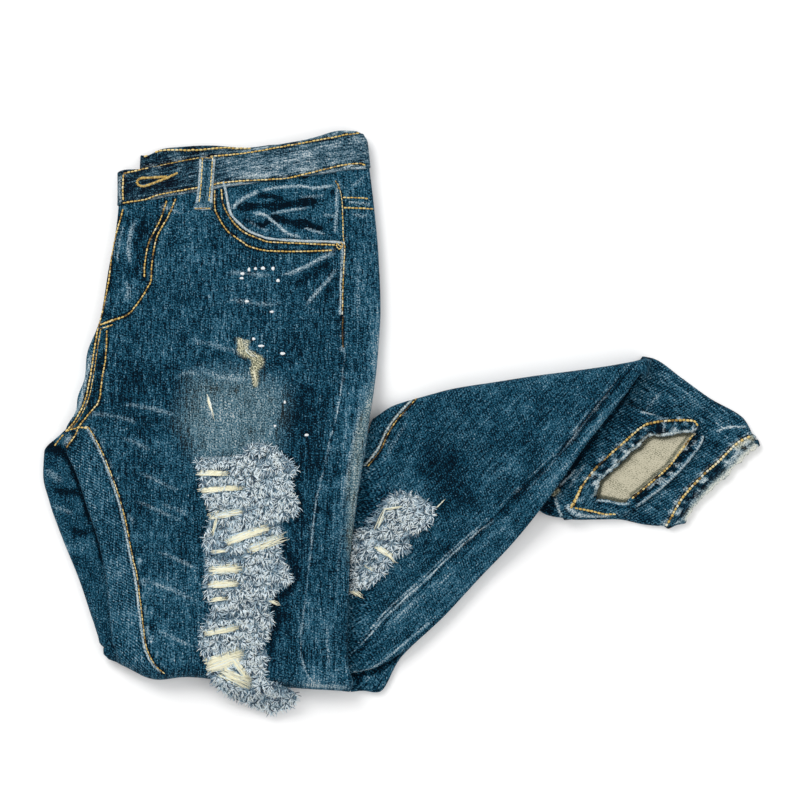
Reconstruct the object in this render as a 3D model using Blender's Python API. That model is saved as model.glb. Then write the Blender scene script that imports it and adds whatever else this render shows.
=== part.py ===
"""Ripped skinny jeans, folded and lying flat.

The jeans are folded in half lengthwise with the fronts outward and the left leg on top, the legs are
turned under at the knee, and the calves are turned under once more, so that both hems come out at
the right. Metres, +Z up, the waist towards +Y, the hems towards +X, and the floor at z = 0.

Each stack of folded legs is a run of rows. A row gives the two legs' edges in plan and the heights
of the layers there. A closed ring of points goes round the row, over the upper leg, down its right
edge, round the lower leg and back. The panels are walls between two such rings, and the hidden
layers are one solid inside them.
"""

import math
from collections import namedtuple

import bmesh
import bpy
import numpy as np
from mathutils import Vector
from mathutils.bvhtree import BVHTree

# Cloth, in metres.
WALL = 0.0016          # one ply of denim with its turnings
END_WALL = 0.0013      # one ply of a leg's open end
PACK_GAP = 0.0005      # from a panel to the hidden layers
SEAM_GAP = 0.0003      # between two pieces that are sewn together
LAP_GAP = 0.0005       # between the edges of the two legs
LEG = 0.0070           # one leg pressed flat
BAND_PROUD = 0.0010    # how far the waistband stands out of the panels
FACING_SINK = 0.0006   # how far the pocket facing lies below the front
TRIM_GAP = 0.0005      # under what is laid on a panel
FRINGE = 0.0024        # thickness of a patch of frayed threads
LOOP = 0.0018          # thickness of the belt loop
CORE = WALL + PACK_GAP
WEB = 0.0040           # how far the hidden layers draw back below an overhanging edge
WEB_DRAW = 0.0008      # how far they draw back between the two legs' edges
SIDE_ROUND = 0.0055    # how far a folded edge rounds in
CROWN = 0.0012         # how far a stack swells at its middle
STEP_WIDTH = 0.26      # share of a row over which a buried edge rises
BAND_RECESS = 0.0030   # how far the hidden layers stop short of the waist edge
ARC = 3                # straight facets in a half-round edge
ROOM_LEFT = 0.0006     # least flat between a folded edge and the seam beside it, at the left
ROOM_RIGHT = 0.0012    # the same at the right

KNEE_REACH = 0.0110    # how far the knee fold bulges out
CALF_REACH = 0.0060    # how far the corner of the calf fold bulges out

# Pocket opening: a rounded quarter, from the corner of waist seam and side seam.
POCKET_CORNER = (-0.0470, 0.2050)
POCKET_WIDTH = 0.1040
POCKET_DEPTH = 0.0560
POCKET_SQUARE = 3.1    # 2 is an ellipse, more is squarer
POCKET_STEPS = 12
POCKET_PAST = 0.0120   # how far the cutter runs past the corner
CUT_LOW = 0.0080       # the cutter's underside, in the top leg
CUT_HIGH = 0.0300

Finish = namedtuple("Finish", "colour roughness")
DENIM = Finish((0.020, 0.065, 0.110, 1.0), 0.92)
DENIM_WORN = Finish((0.090, 0.135, 0.165, 1.0), 0.92)
FRAYED = Finish((0.280, 0.360, 0.420, 1.0), 1.0)

WELD = 0.00001         # points nearer than this are one
PROBE_HEIGHT = 0.1     # above every piece

# A row of a stack. Points are (x, y): the upper leg's left and right edges, then the lower leg's.
Row = namedtuple("Row", "name upper_left upper_right lower_left lower_right bow seam_a seam_b")
# Heights: the top at both edges, where a buried edge lifts it (share of the row), the underside at
# both edges, the lower leg's own height at its left edge, whether the two legs' edges part at the
# left and at the right (1) or are one fold (0), and the angle round a closing fold.
Pile = namedtuple("Pile", "top_l top_r step base_l base_r low_l split_l split_r roll")

THIGH_ROWS = [
    Row("band_top", (-0.2376, 0.2075), (-0.0302, 0.2440), (-0.2188, 0.2276), (-0.0315, 0.2402),
        0.0012, 0.030, 0.0290),
    Row("waist", (-0.2369, 0.1806), (-0.0269, 0.2121), (-0.2205, 0.1873), (-0.0281, 0.2117),
        0.0025, 0.030, 0.0279),
    Row("yoke", (-0.2390, 0.1554), (-0.0235, 0.1840), (-0.2373, 0.1554), (-0.0248, 0.1840),
        0.0015, 0.020, 0.0257),
    Row("pocket", (-0.2457, 0.1252), (-0.0193, 0.1386), (-0.2440, 0.1252), (-0.0206, 0.1386),
        0.0, 0.012, 0.0278),
    Row("fly_end", (-0.2549, 0.0806), (-0.0176, 0.0949), (-0.2541, 0.0806), (-0.0189, 0.0949),
        0.0, 0.005, 0.0299),
    Row("rise", (-0.2650, 0.0378), (-0.0197, 0.0563), (-0.2642, 0.0378), (-0.0214, 0.0563),
        0.0, 0.006, 0.0286),
    Row("crotch", (-0.2860, -0.0059), (-0.0239, 0.0193), (-0.2885, -0.0109), (-0.0256, 0.0193),
        0.0, 0.0085, 0.0294),
    Row("fork", (-0.2818, -0.0260), (-0.0269, 0.0008), (-0.3007, -0.0260), (-0.0286, 0.0008),
        0.0, 0.0312, 0.0298),
    Row("thigh_high", (-0.2734, -0.0445), (-0.0290, -0.0160), (-0.3016, -0.0445), (-0.0307, -0.0160),
        0.0, 0.0294, 0.0311),
    Row("thigh_mid", (-0.2650, -0.0706), (-0.0365, -0.0622), (-0.2961, -0.0689), (-0.0382, -0.0622),
        0.0, 0.0298, 0.0332),
    Row("thigh_low", (-0.2558, -0.0983), (-0.0412, -0.0983), (-0.2856, -0.0983), (-0.0428, -0.0983),
        0.0, 0.0269, 0.0332),
    Row("above_knee", (-0.2482, -0.1336), (-0.0437, -0.1336), (-0.2713, -0.1336), (-0.0454, -0.1336),
        0.0, 0.0269, 0.0353),
    Row("knee", (-0.2449, -0.1672), (-0.0449, -0.1672), (-0.2600, -0.1672), (-0.0466, -0.1672),
        -0.0010, 0.0277, 0.0378),
    Row("below_knee", (-0.2423, -0.1850), (-0.0449, -0.1924), (-0.2533, -0.1850), (-0.0466, -0.1924),
        -0.0025, 0.0286, 0.0395),
    Row("fold", (-0.2395, -0.1915), (-0.0440, -0.2160), (-0.2480, -0.1900), (-0.0448, -0.2160),
        -0.0045, 0.0290, 0.0376),
]
THIGH_PILES = [
    Pile(0.0140, 0.0140, 0.5, 0.0, 0.0, 0.0070, 1.0, 1.0, 0),
    Pile(0.0140, 0.0140, 0.5, 0.0, 0.0, 0.0070, 1.0, 1.0, 0),
    Pile(0.0140, 0.0140, 0.5, 0.0, 0.0, 0.0070, 1.0, 1.0, 0),
    Pile(0.0140, 0.0140, 0.5, 0.0, 0.0, 0.0070, 1.0, 1.0, 0),
    Pile(0.0140, 0.0140, 0.5, 0.0, 0.0, 0.0070, 0.5, 1.0, 0),
    Pile(0.0140, 0.0142, 0.9, 0.0, 0.0, 0.0070, 0.0, 1.0, 0),
    Pile(0.0142, 0.0230, 0.9, 0.0, 0.0090, 0.0071, 0.6, 1.0, 0),
    Pile(0.0146, 0.0268, 0.86, 0.0, 0.0128, 0.0085, 1.0, 1.0, 0),
    Pile(0.0150, 0.0268, 0.80, 0.0, 0.0128, 0.0095, 1.0, 1.0, 0),
    Pile(0.0150, 0.0268, 0.67, 0.0, 0.0128, 0.0095, 1.0, 1.0, 0),
    Pile(0.0155, 0.0268, 0.53, 0.0, 0.0128, 0.0095, 1.0, 1.0, 0),
    Pile(0.0160, 0.0268, 0.38, 0.0, 0.0128, 0.0098, 1.0, 1.0, 0),
    Pile(0.0175, 0.0268, 0.24, 0.0, 0.0128, 0.0110, 1.0, 1.0, 0),
    Pile(0.0200, 0.0262, 0.16, 0.0, 0.0120, 0.0130, 1.0, 1.0, 0),
    Pile(0.0205, 0.0255, 0.16, 0.0, 0.0, 0.0130, 0.35, 0.35, 0),
]
KNEE_ROLL = (32, 56, 76)

SHIN_ROWS = [
    Row("knee_edge", (-0.0405, -0.2130), (-0.0244, 0.0012), (-0.0372, -0.2235), (-0.0248, 0.0005),
        0.0133, 0.0190, 0.0390),
    Row("below_knee", (-0.0214, -0.2075), (-0.0080, 0.0122), (-0.0181, -0.2225), (-0.0086, 0.0115),
        0.0, 0.0330, 0.0300),
    Row("calf_turn", (0.0004, -0.1949), (0.0147, 0.0198), (0.0002, -0.1985), (0.0140, 0.0190),
        0.0, 0.0380, 0.0110),
    Row("calf_high", (0.0307, -0.1693), (0.0424, 0.0277), (0.0313, -0.1686), (0.0424, 0.0270),
        0.0, 0.0400, 0.0200),
    Row("calf", (0.0659, -0.1319), (0.0802, 0.0336), (0.0665, -0.1312), (0.0802, 0.0330),
        0.0, 0.0330, 0.0200),
    Row("calf_low", (0.0945, -0.1016), (0.1121, 0.0386), (0.0951, -0.1009), (0.1121, 0.0380),
        0.0, 0.0270, 0.0200),
    Row("shin_mid", (0.1231, -0.0655), (0.1449, 0.0428), (0.1237, -0.0648), (0.1449, 0.0422),
        0.0, 0.0240, 0.0180),
    Row("shin_low", (0.1567, -0.0176), (0.1718, 0.0466), (0.1573, -0.0169), (0.1718, 0.0460),
        0.0, 0.0190, 0.0140),
    Row("corner", (0.1861, 0.0197), (0.1953, 0.0508), (0.1867, 0.0204), (0.1953, 0.0502),
        0.0, 0.0100, 0.0090),
    Row("apex", (0.2000, 0.0385), (0.2050, 0.0530), (0.2005, 0.0390), (0.2050, 0.0526),
        0.0, 0.0060, 0.0068),
]
SHIN_PILES = [
    Pile(0.0120, 0.0120, 0.5, 0.0, 0.0, 0.0060, 1.0, 1.0, 0),
    Pile(0.0125, 0.0120, 0.5, 0.0, 0.0, 0.0060, 1.0, 1.0, 0),
    Pile(0.0130, 0.0130, 0.5, 0.0, 0.0, 0.0062, 1.0, 0.8, 0),
    Pile(0.0130, 0.0220, 0.84, 0.0, 0.0, 0.0062, 1.0, 0.3, 0),
    Pile(0.0132, 0.0236, 0.58, 0.0, 0.0, 0.0064, 1.0, 0.2, 0),
    Pile(0.0180, 0.0240, 0.30, 0.0050, 0.0, 0.0115, 1.0, 0.2, 0),
    Pile(0.0250, 0.0245, 0.5, 0.0122, 0.0, 0.0180, 1.0, 0.2, 0),
    Pile(0.0252, 0.0245, 0.5, 0.0122, 0.0, 0.0182, 1.0, 0.2, 0),
    Pile(0.0248, 0.0240, 0.5, 0.0120, 0.0, 0.0180, 1.0, 0.2, 0),
    Pile(0.0236, 0.0230, 0.5, 0.0100, 0.0, 0.0160, 0.5, 0.0, 0),
]
CALF_ROLL = (40, 68)

# A row of one leg's open end: its edges in plan, and the heights of its top and its underside.
EndRow = namedtuple("EndRow", "name left right top base")

RIGHT_END_ROWS = [
    EndRow("under_calf", (0.1205, -0.0760), (0.2095, 0.0468), 0.0056, 0.0),
    EndRow("ankle_high", (0.1483, -0.0835), (0.2356, 0.0353), 0.0056, 0.0),
    EndRow("ankle", (0.1802, -0.0830), (0.2591, 0.0185), 0.0056, 0.0),
    EndRow("ankle_low", (0.2071, -0.0878), (0.2877, 0.0025), 0.0058, 0.0),
    EndRow("hem_seam", (0.2247, -0.0865), (0.2978, -0.0126), 0.0062, 0.0),
    EndRow("hem_edge", (0.2385, -0.0852), (0.3007, -0.0208), 0.0066, 0.0),
]
LEFT_END_ROWS = [
    EndRow("under_calf", (0.1230, -0.0720), (0.1840, 0.0200), 0.0116, 0.0064),
    EndRow("ankle", (0.1400, -0.0735), (0.2096, 0.0059), 0.0118, 0.0064),
    EndRow("hem_seam", (0.1475, -0.0730), (0.2440, 0.0010), 0.0128, 0.0066),
    EndRow("hem_edge", (0.1640, -0.0740), (0.2510, -0.0060), 0.0138, 0.0066),
    EndRow("mouth", (0.1790, -0.0730), (0.2536, -0.0130), 0.0120, 0.0068),
    EndRow("lower_edge", (0.1900, -0.0712), (0.2530, -0.0190), 0.0100, 0.0070),
]
END_ROUND = 0.0030     # how far the side of a leg's end rounds in
END_COLUMNS = 4        # facets across a leg's end
LEFT_HEM_ROWS = (2, 3)
RIGHT_HEM_ROWS = (4, 5)

# Frayed patches: the left and right ends of each row, from the top down.
FringeRow = namedtuple("FringeRow", "y left right")
LEFT_FRINGE = [
    FringeRow(-0.0230, -0.1340, -0.1060),
    FringeRow(-0.0340, -0.1720, -0.0970),
    FringeRow(-0.0500, -0.1700, -0.0870),
    FringeRow(-0.0760, -0.1610, -0.0870),
    FringeRow(-0.0950, -0.1650, -0.0990),
    FringeRow(-0.1080, -0.1670, -0.1010),
    FringeRow(-0.1310, -0.1650, -0.0920),
    FringeRow(-0.1500, -0.1610, -0.1080),
    FringeRow(-0.1750, -0.1680, -0.1090),
    FringeRow(-0.1940, -0.1680, -0.1120),
    FringeRow(-0.2060, -0.1640, -0.1110),
]
# The frayed threads that hang past the knee fold: how far past it each row lies, its ends and height.
HangRow = namedtuple("HangRow", "past left right z")
LEFT_HANG = [
    HangRow(-0.0052, -0.1630, -0.1060, 0.0264),
    HangRow(-0.0008, -0.1620, -0.1010, 0.0226),
    HangRow(0.0016, -0.1600, -0.0960, 0.0180),
    HangRow(0.0080, -0.1530, -0.0880, 0.0095),
    HangRow(0.0160, -0.1380, -0.0860, 0.0050),
    HangRow(0.0242, -0.1180, -0.0950, 0.0025),
]
RIGHT_FRINGE = [
    FringeRow(-0.0605, -0.0100, 0.0100),
    FringeRow(-0.0730, -0.0210, 0.0280),
    FringeRow(-0.0865, -0.0340, 0.0245),
    FringeRow(-0.0950, -0.0385, 0.0145),
    FringeRow(-0.1080, -0.0392, 0.0060),
    FringeRow(-0.1260, -0.0405, -0.0125),
    FringeRow(-0.1370, -0.0410, -0.0240),
    FringeRow(-0.1500, -0.0416, -0.0350),
]
FRINGE_COLUMNS = 7
FRINGE_SPLITS = 2      # rows of facets between two rows of a table

# Belt loop: the middle of each row and its half width, from the top down.
LoopRow = namedtuple("LoopRow", "x y half raise_by")
LOOP_ROWS = [
    LoopRow(-0.1626, 0.2215, 0.0070, 0.0000),
    LoopRow(-0.1630, 0.2140, 0.0068, 0.0006),
    LoopRow(-0.1640, 0.2020, 0.0068, 0.0010),
    LoopRow(-0.1652, 0.1900, 0.0070, 0.0006),
    LoopRow(-0.1662, 0.1830, 0.0078, 0.0002),
    LoopRow(-0.1667, 0.1790, 0.0082, 0.0000),
]


def cloth_material(name, finish):
    """A matt cloth material."""
    material = bpy.data.materials.new(name)
    material.use_nodes = True
    shader = material.node_tree.nodes["Principled BSDF"]
    shader.inputs["Base Color"].default_value = finish.colour
    shader.inputs["Roughness"].default_value = finish.roughness
    shader.inputs["Metallic"].default_value = 0.0
    return material


def add_solid(name, points, faces, finish, collection):
    """An object from points and faces, turned so that its faces point outwards."""
    mesh = bpy.data.meshes.new(name)
    mesh.from_pydata([tuple(map(float, point)) for point in points], [], faces)
    shaped = bmesh.new()
    shaped.from_mesh(mesh)
    bmesh.ops.triangulate(shaped, faces=shaped.faces)
    if shaped.calc_volume(signed=True) < 0:
        bmesh.ops.reverse_faces(shaped, faces=shaped.faces)
    shaped.to_mesh(mesh)
    shaped.free()
    mesh.materials.append(cloth_material(name, finish))
    solid = bpy.data.objects.new(name, mesh)
    collection.objects.link(solid)
    return solid


def smooth_step(share):
    """0 to 1 with level ends."""
    share = min(max(share, 0.0), 1.0)
    return share * share * (3 - 2 * share)


class Stack:
    """Two legs, one on the other, as a lattice of rings round the rows."""

    def __init__(self, rows, piles, columns, rolls, reach):
        self.columns = columns
        self.reach = reach
        last_row, last_pile = rows[-1], piles[-1]
        self.rows = list(rows) + [last_row] * len(rolls)
        self.piles = list(piles)
        for roll in rolls:
            self.piles.append(last_pile._replace(split_l=0.0, split_r=0.0, roll=roll))
        # Places of the named columns in a ring.
        self.seam_a = ARC + 1
        self.seam_b = self.seam_a + columns + 1
        self.upper_end = self.seam_b + 1 + ARC + 1
        self.lower_start = self.upper_end + 3
        self.lower_end = self.lower_start + ARC
        self.under_b = self.lower_end + 2
        self.under_a = self.under_b + columns + 1
        self.left_arc = self.under_a + 1
        self.size = self.left_arc + ARC + 1 + 2

    def ring(self, index, inset):
        """The points round one row, drawn in from the outer face by inset."""
        row, pile = self.rows[index], self.piles[index]
        upper = Line(row.upper_left, row.upper_right, row.bow)
        lower = Line(row.lower_left, row.lower_right, row.bow)
        turn = math.radians(pile.roll)
        shift = (self.reach - inset) * math.sin(turn)
        flat = math.cos(turn)

        def top_at(share):
            """The height of the stack's top at a share of the row."""
            rise = smooth_step((share - pile.step) / STEP_WIDTH + 0.5)
            return pile.top_l + (pile.top_r - pile.top_l) * rise + CROWN * math.sin(math.pi * share)

        def squeeze(height, whole):
            """A height on a closing fold, drawn in to the fold's middle."""
            middle = whole / 2
            return middle + (height - middle) * flat

        def lobe(span_low, span_high, angle, line, from_left):
            """A point on the half-round edge of one leg."""
            radius = (span_high - span_low) / 2
            out = max(radius - inset, 0.0)
            along = radius - out * math.cos(angle)
            height = span_low + radius + out * math.sin(angle)
            distance = along if from_left else line.length - along
            return line.at(distance, shift), height

        def one_fold(base, top, angle, line, from_left):
            """A point on the edge of both legs, folded as one."""
            half = (top - base) / 2
            along = SIDE_ROUND - (SIDE_ROUND - inset) * math.cos(angle)
            height = base + half + (half - inset) * math.sin(angle) * flat
            distance = along if from_left else line.length - along
            return line.at(distance, shift), height

        def side(from_left):
            """From the top, down and round both legs' edges, to the underside."""
            split = pile.split_l if from_left else pile.split_r
            top = pile.top_l if from_left else pile.top_r
            base = pile.base_l if from_left else pile.base_r
            low = pile.low_l if from_left else top - LEG
            middle = top - LEG
            angles = [math.pi / 2 - math.pi * k / ARC for k in range(ARC + 1)]
            parted = [lobe(middle + LAP_GAP, top, angle, upper, from_left) for angle in angles]
            groove, ceiling = parted[-1]
            crown, _ = lobe(base, low, angles[0], lower, from_left)
            inwards = upper.along if from_left else -upper.along
            depth = max(0.0, float(np.dot(crown - groove, inwards))) + WEB_DRAW
            parted.append((groove + inwards * depth, ceiling))
            parted.append((groove + inwards * depth, middle - inset))
            parted += [lobe(base, low, angle, lower, from_left) for angle in angles]
            count = len(parted)
            folded = []
            for k in range(count):
                angle = math.pi / 2 - math.pi * k / (count - 1)
                line = upper if k < count / 2 else lower
                folded.append(one_fold(base, top, angle, line, from_left))
            points = []
            for (plan, height), (plan_one, height_one) in zip(parted, folded):
                mixed = plan * split + plan_one * (1 - split)
                points.append((mixed[0], mixed[1], height * split + height_one * (1 - split)))
            return points

        left, right = side(True), side(False)
        radius_l = (LEG - LAP_GAP) / 2 * pile.split_l + SIDE_ROUND * (1 - pile.split_l)
        radius_r = (LEG - LAP_GAP) / 2 * pile.split_r + SIDE_ROUND * (1 - pile.split_r)
        start = max(row.seam_a, radius_l + ROOM_LEFT)
        stop = upper.length - max(row.seam_b, radius_r + ROOM_RIGHT)
        spread = [start + (stop - start) * k / (self.columns + 1) for k in range(self.columns + 2)]
        spread.append((stop + upper.length - radius_r) / 2)
        over = []
        for distance in spread:
            whole = top_at(distance / upper.length)
            plan = upper.at(distance, shift)
            over.append((plan[0], plan[1], squeeze(whole - inset, whole) if pile.roll else whole - inset))
        under = []
        for number, distance in enumerate(spread):
            whole = top_at(distance / upper.length)
            share = distance / upper.length
            if number == len(spread) - 1 and pile.base_r > 0:
                share = min(share, (upper.length - radius_r - WEB) / upper.length)
            if number == 0 and pile.base_l > 0:
                room = (spread[0] + spread[1]) / 2
                share = max(share, min(radius_l + WEB, room) / upper.length)
            plan = lower.at(share * lower.length, shift)
            height = max(inset, 0.0)
            under.append((plan[0], plan[1], squeeze(height, whole) if pile.roll else height))
        points = np.array(left[ARC::-1] + over + right + under[::-1] + left[:ARC:-1])
        points[:, 2] = np.maximum(points[:, 2], 0.0)
        return points

    def lattice(self, inset):
        """All the rings, as an array of rows by columns by coordinates."""
        return np.array([self.ring(index, inset) for index in range(len(self.rows))])


class Line:
    """A row in plan: a straight run with a shallow bow."""

    def __init__(self, start, end, bow):
        self.start, self.end, self.bow = np.array(start), np.array(end), bow
        self.length = float(np.hypot(*(self.end - self.start)))
        self.along = (self.end - self.start) / self.length
        self.across = np.array((-self.along[1], self.along[0]))

    def at(self, distance, shift=0.0):
        """The point at a distance from the start, pushed out past the last row by shift."""
        share = distance / self.length
        bulge = 4 * self.bow * share * (1 - share)
        return self.start + self.along * distance + self.across * (bulge - shift)


def drawn_in(points, cells):
    """The points with those on the rim of the chosen cells moved in by half a seam gap."""
    moved = points.copy()
    rows, columns = points.shape[:2]
    for i in range(rows):
        for j in range(columns):
            near = [(di, dj) for di in (-1, 0) for dj in (-1, 0) if cells.get((i + di, j + dj))]
            if not near:
                continue
            push_i = sum(2 * di + 1 for di, _ in near)
            push_j = sum(2 * dj + 1 for _, dj in near)
            beside_i = (i + int(np.sign(push_i)), j)
            beside_j = (i, j + int(np.sign(push_j)))
            for push, neighbour in ((push_i, beside_i), (push_j, beside_j)):
                if push:
                    step = points[neighbour] - points[i, j]
                    moved[i, j] += step / np.linalg.norm(step) * SEAM_GAP / 2
    return moved


def add_panel(name, outer, inner, cells, finish, collection):
    """A cloth wall over the chosen cells of two matching lattices."""
    cells = {cell: True for cell in cells}
    outer, inner = drawn_in(outer, cells), drawn_in(inner, cells)
    corners = sorted({(i + di, j + dj) for i, j in cells for di in (0, 1) for dj in (0, 1)})
    number = {corner: k for k, corner in enumerate(corners)}
    count = len(corners)
    points = [outer[corner] for corner in corners] + [inner[corner] for corner in corners]
    faces, rims = [], {}
    for i, j in cells:
        a, b, c, d = (number[i, j], number[i, j + 1], number[i + 1, j + 1], number[i + 1, j])
        faces += [(a, b, c), (a, c, d), (a + count, c + count, b + count), (a + count, d + count, c + count)]
        for edge in ((a, b), (b, c), (c, d), (d, a)):
            rims[edge] = True
    for a, b in rims:
        if (b, a) not in rims:
            faces.append((b, a, a + count, b + count))
    return add_solid(name, points, faces, finish, collection)


def add_hidden_layers(name, stack, collection, recess=0.0):
    """One closed solid inside the panels of a stack."""
    lattice = stack.lattice(CORE)
    rows, columns = lattice.shape[:2]
    if recess:
        step = lattice[1] - lattice[0]
        lattice[0] += step / np.linalg.norm(step, axis=1, keepdims=True) * recess
    points = lattice.reshape(-1, 3)
    faces = []
    for i in range(rows - 1):
        for j in range(columns):
            k = (j + 1) % columns
            a, b = i * columns + j, i * columns + k
            c, d = (i + 1) * columns + k, (i + 1) * columns + j
            faces += [(a, b, c), (a, c, d)]
    faces.append(tuple(reversed(range(columns))))
    faces.append(tuple(range((rows - 1) * columns, rows * columns)))
    return add_solid(name, points, faces, DENIM, collection)


def block(rows, columns):
    """The cells of a run of rows and a run of columns."""
    return [(i, j) for i in range(*rows) for j in range(*columns)]


def looped(lattice):
    """The lattice with its first columns repeated at the end, so that a panel can pass the start."""
    return np.concatenate([lattice, lattice[:, :ARC + 3]], axis=1)


def prism(name, outline, collection):
    """A closed upright prism, used as a cutter."""
    bottom = [(x, y, CUT_LOW) for x, y in outline]
    top = [(x, y, CUT_HIGH) for x, y in outline]
    count = len(outline)
    faces = [tuple(reversed(range(count))), tuple(range(count, 2 * count))]
    faces += [(k, (k + 1) % count, (k + 1) % count + count, k + count) for k in range(count)]
    cutter = add_solid(name, bottom + top, faces, DENIM, collection)
    cutter.hide_render = True
    cutter.display_type = "WIRE"
    return cutter


def pocket_outline(margin):
    """The pocket opening, made smaller by margin, closed well past the waist and the side seam."""
    corner_x, corner_y = POCKET_CORNER
    width, depth = POCKET_WIDTH - margin, POCKET_DEPTH - margin
    right, above = corner_x + POCKET_PAST, corner_y + POCKET_PAST
    outline = [(right, above), (corner_x - width, above)]
    for k in range(POCKET_STEPS + 1):
        angle = math.pi / 2 * k / POCKET_STEPS
        across = math.cos(angle) ** (2 / POCKET_SQUARE)
        down = math.sin(angle) ** (2 / POCKET_SQUARE)
        outline.append((corner_x - width * across, corner_y - depth * down))
    outline.append((right, corner_y - depth))
    return outline


def cut(target, cutter, operation):
    """Puts a Boolean modifier on the target."""
    modifier = target.modifiers.new(operation.title(), "BOOLEAN")
    modifier.operation = operation
    modifier.object = cutter


def add_thigh(collection, cutters):
    """The upper stack: waist to knee fold, the left leg on the right leg."""
    stack = Stack(THIGH_ROWS, THIGH_PILES, 6, KNEE_ROLL, KNEE_REACH)
    outer, inner = looped(stack.lattice(0.0)), looped(stack.lattice(WALL))
    proud = looped(stack.lattice(-BAND_PROUD))
    size, last = stack.size, len(stack.rows) - 1
    waist, yoke, pocket_end, fly_end, rise, crotch = 1, 2, 3, 4, 5, 6
    fold = len(THIGH_ROWS) - 1
    seam_a, seam_b = stack.seam_a, stack.seam_b
    pocket_edge = seam_a + 2
    upper_end, lower_start, lower_end = stack.upper_end, stack.lower_start, stack.lower_end
    under_a, under_b = stack.under_a, stack.under_b

    add_hidden_layers("thigh_hidden_layers", stack, collection, BAND_RECESS)

    proud[:, :upper_end + 1, 2] = np.maximum(proud[:, :upper_end + 1, 2], LEG + LAP_GAP)
    proud[:, lower_start:size - 2, 2] = np.minimum(proud[:, lower_start:size - 2, 2], LEG)
    cells = block((0, waist), (0, upper_end))
    add_panel("left_waistband", proud, inner, cells, DENIM_WORN, collection)
    cells = block((0, waist), (lower_start, size - 2))
    add_panel("right_waistband", proud, inner, cells, DENIM_WORN, collection)

    def over_and_under(lattice):
        """The lattice of a front that goes over the top and round the knee fold to the floor."""
        top = lattice[:, :seam_b + 1]
        wrapped = lattice[:fold - 1:-1, under_a:under_b - 1:-1]
        below = np.zeros((wrapped.shape[0], seam_b + 1, 3))
        below[:, seam_a:] = wrapped
        for j in range(seam_a):
            below[:, j] = wrapped[:, 0]
        return np.concatenate([top, below])

    front_outer, front_inner = over_and_under(outer), over_and_under(inner)
    cells = block((waist, fly_end), (0, seam_b))
    cells += block((fly_end, front_outer.shape[0] - 1), (seam_a, seam_b))
    front = add_panel("left_front", front_outer, front_inner, cells, DENIM, collection)
    opening = prism("pocket_opening", pocket_outline(0.0), cutters)
    cut(front, opening, "DIFFERENCE")

    facing_outer = looped(stack.lattice(FACING_SINK))
    cells = block((waist, pocket_end), (pocket_edge, seam_b))
    facing = add_panel("left_pocket_facing", facing_outer, inner, cells, DENIM, collection)
    cut(facing, prism("pocket_facing_shape", pocket_outline(SEAM_GAP), cutters), "INTERSECT")

    # The right front wraps the centre fold above the crotch, and lies on the floor.
    cells = block((waist, fly_end), (under_b, size - 3))
    cells += block((fly_end, crotch), (under_b, size + seam_a))
    cells += block((crotch, fold), (under_b, under_a))
    add_panel("right_front", outer, inner, cells, DENIM, collection)

    add_panel("left_back_inseam_side", outer, inner, block((crotch, last), (0, seam_a)), DENIM, collection)
    add_panel("right_back", outer, inner, block((crotch, last), (under_a, size - 2)), DENIM, collection)

    add_panel("left_yoke", outer, inner, block((waist, yoke), (seam_b, upper_end)), DENIM, collection)
    add_panel("left_back", outer, inner, block((yoke, fold), (seam_b, upper_end)), DENIM, collection)
    add_panel("left_back_knee", outer, inner, block((fold, last), (seam_b, under_b)), DENIM, collection)
    add_panel("right_yoke", outer, inner, block((waist, yoke), (lower_start, under_b)), DENIM, collection)
    cells = block((yoke, rise), (lower_start, under_b)) + block((rise, fold), (lower_start, lower_end))
    add_panel("right_back_side", outer, inner, cells, DENIM, collection)


def add_shin(collection):
    """The middle stack: knee fold to calf fold, the right leg on the left leg."""
    stack = Stack(SHIN_ROWS, SHIN_PILES, 5, CALF_ROLL, CALF_REACH)
    outer, inner = looped(stack.lattice(0.0)), looped(stack.lattice(WALL))
    size, last = stack.size, len(stack.rows) - 1
    turn, buried = 2, 4
    seam_a, seam_b = stack.seam_a, stack.seam_b
    upper_end, lower_start = stack.upper_end, stack.lower_start
    under_a, under_b = stack.under_a, stack.under_b

    add_hidden_layers("shin_hidden_layers", stack, collection)
    cells = block((0, last), (seam_a, seam_b)) + block((turn, last), (seam_b, under_b))
    add_panel("right_front_shin", outer, inner, cells, DENIM, collection)
    add_panel("right_back_shin", outer, inner, block((0, last), (0, seam_a)), DENIM, collection)
    add_panel("right_back_calf", outer, inner, block((0, turn), (seam_b, upper_end)), DENIM, collection)
    add_panel("left_back_calf", outer, inner, block((0, turn), (lower_start, under_b)), DENIM, collection)
    add_panel("left_front_shin", outer, inner, block((0, buried), (under_b, under_a)), DENIM, collection)
    add_panel("right_front_calf", outer, inner, block((buried, last), (under_b, under_a)), DENIM, collection)
    cells = block((0, buried), (under_a, size - 2)) + block((buried, last), (under_a + 1, size - 2))
    add_panel("left_back_shin", outer, inner, cells, DENIM, collection)


def end_ring(row, inset):
    """The points round one row of a leg's open end: left edge, top, right edge, underside."""
    line = Line(row.left, row.right, 0.0)
    half = (row.top - row.base) / 2
    points = []

    def edge(angle, from_left):
        """Adds a point on the rounded edge."""
        along = END_ROUND - (END_ROUND - inset) * math.cos(angle)
        height = row.base + half + (half - inset) * math.sin(angle)
        plan = line.at(along if from_left else line.length - along)
        points.append((plan[0], plan[1], height))

    angles = [math.pi / 2 - math.pi * k / ARC for k in range(ARC + 1)]
    for angle in reversed(angles):
        edge(angle, True)
    shares = [k / END_COLUMNS for k in range(1, END_COLUMNS)]
    reach = line.length - 2 * END_ROUND
    for share in shares:
        plan = line.at(END_ROUND + reach * share)
        points.append((plan[0], plan[1], row.top - inset))
    for angle in angles:
        edge(angle, False)
    for share in reversed(shares):
        plan = line.at(END_ROUND + reach * share)
        points.append((plan[0], plan[1], row.base + inset))
    return points


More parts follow.
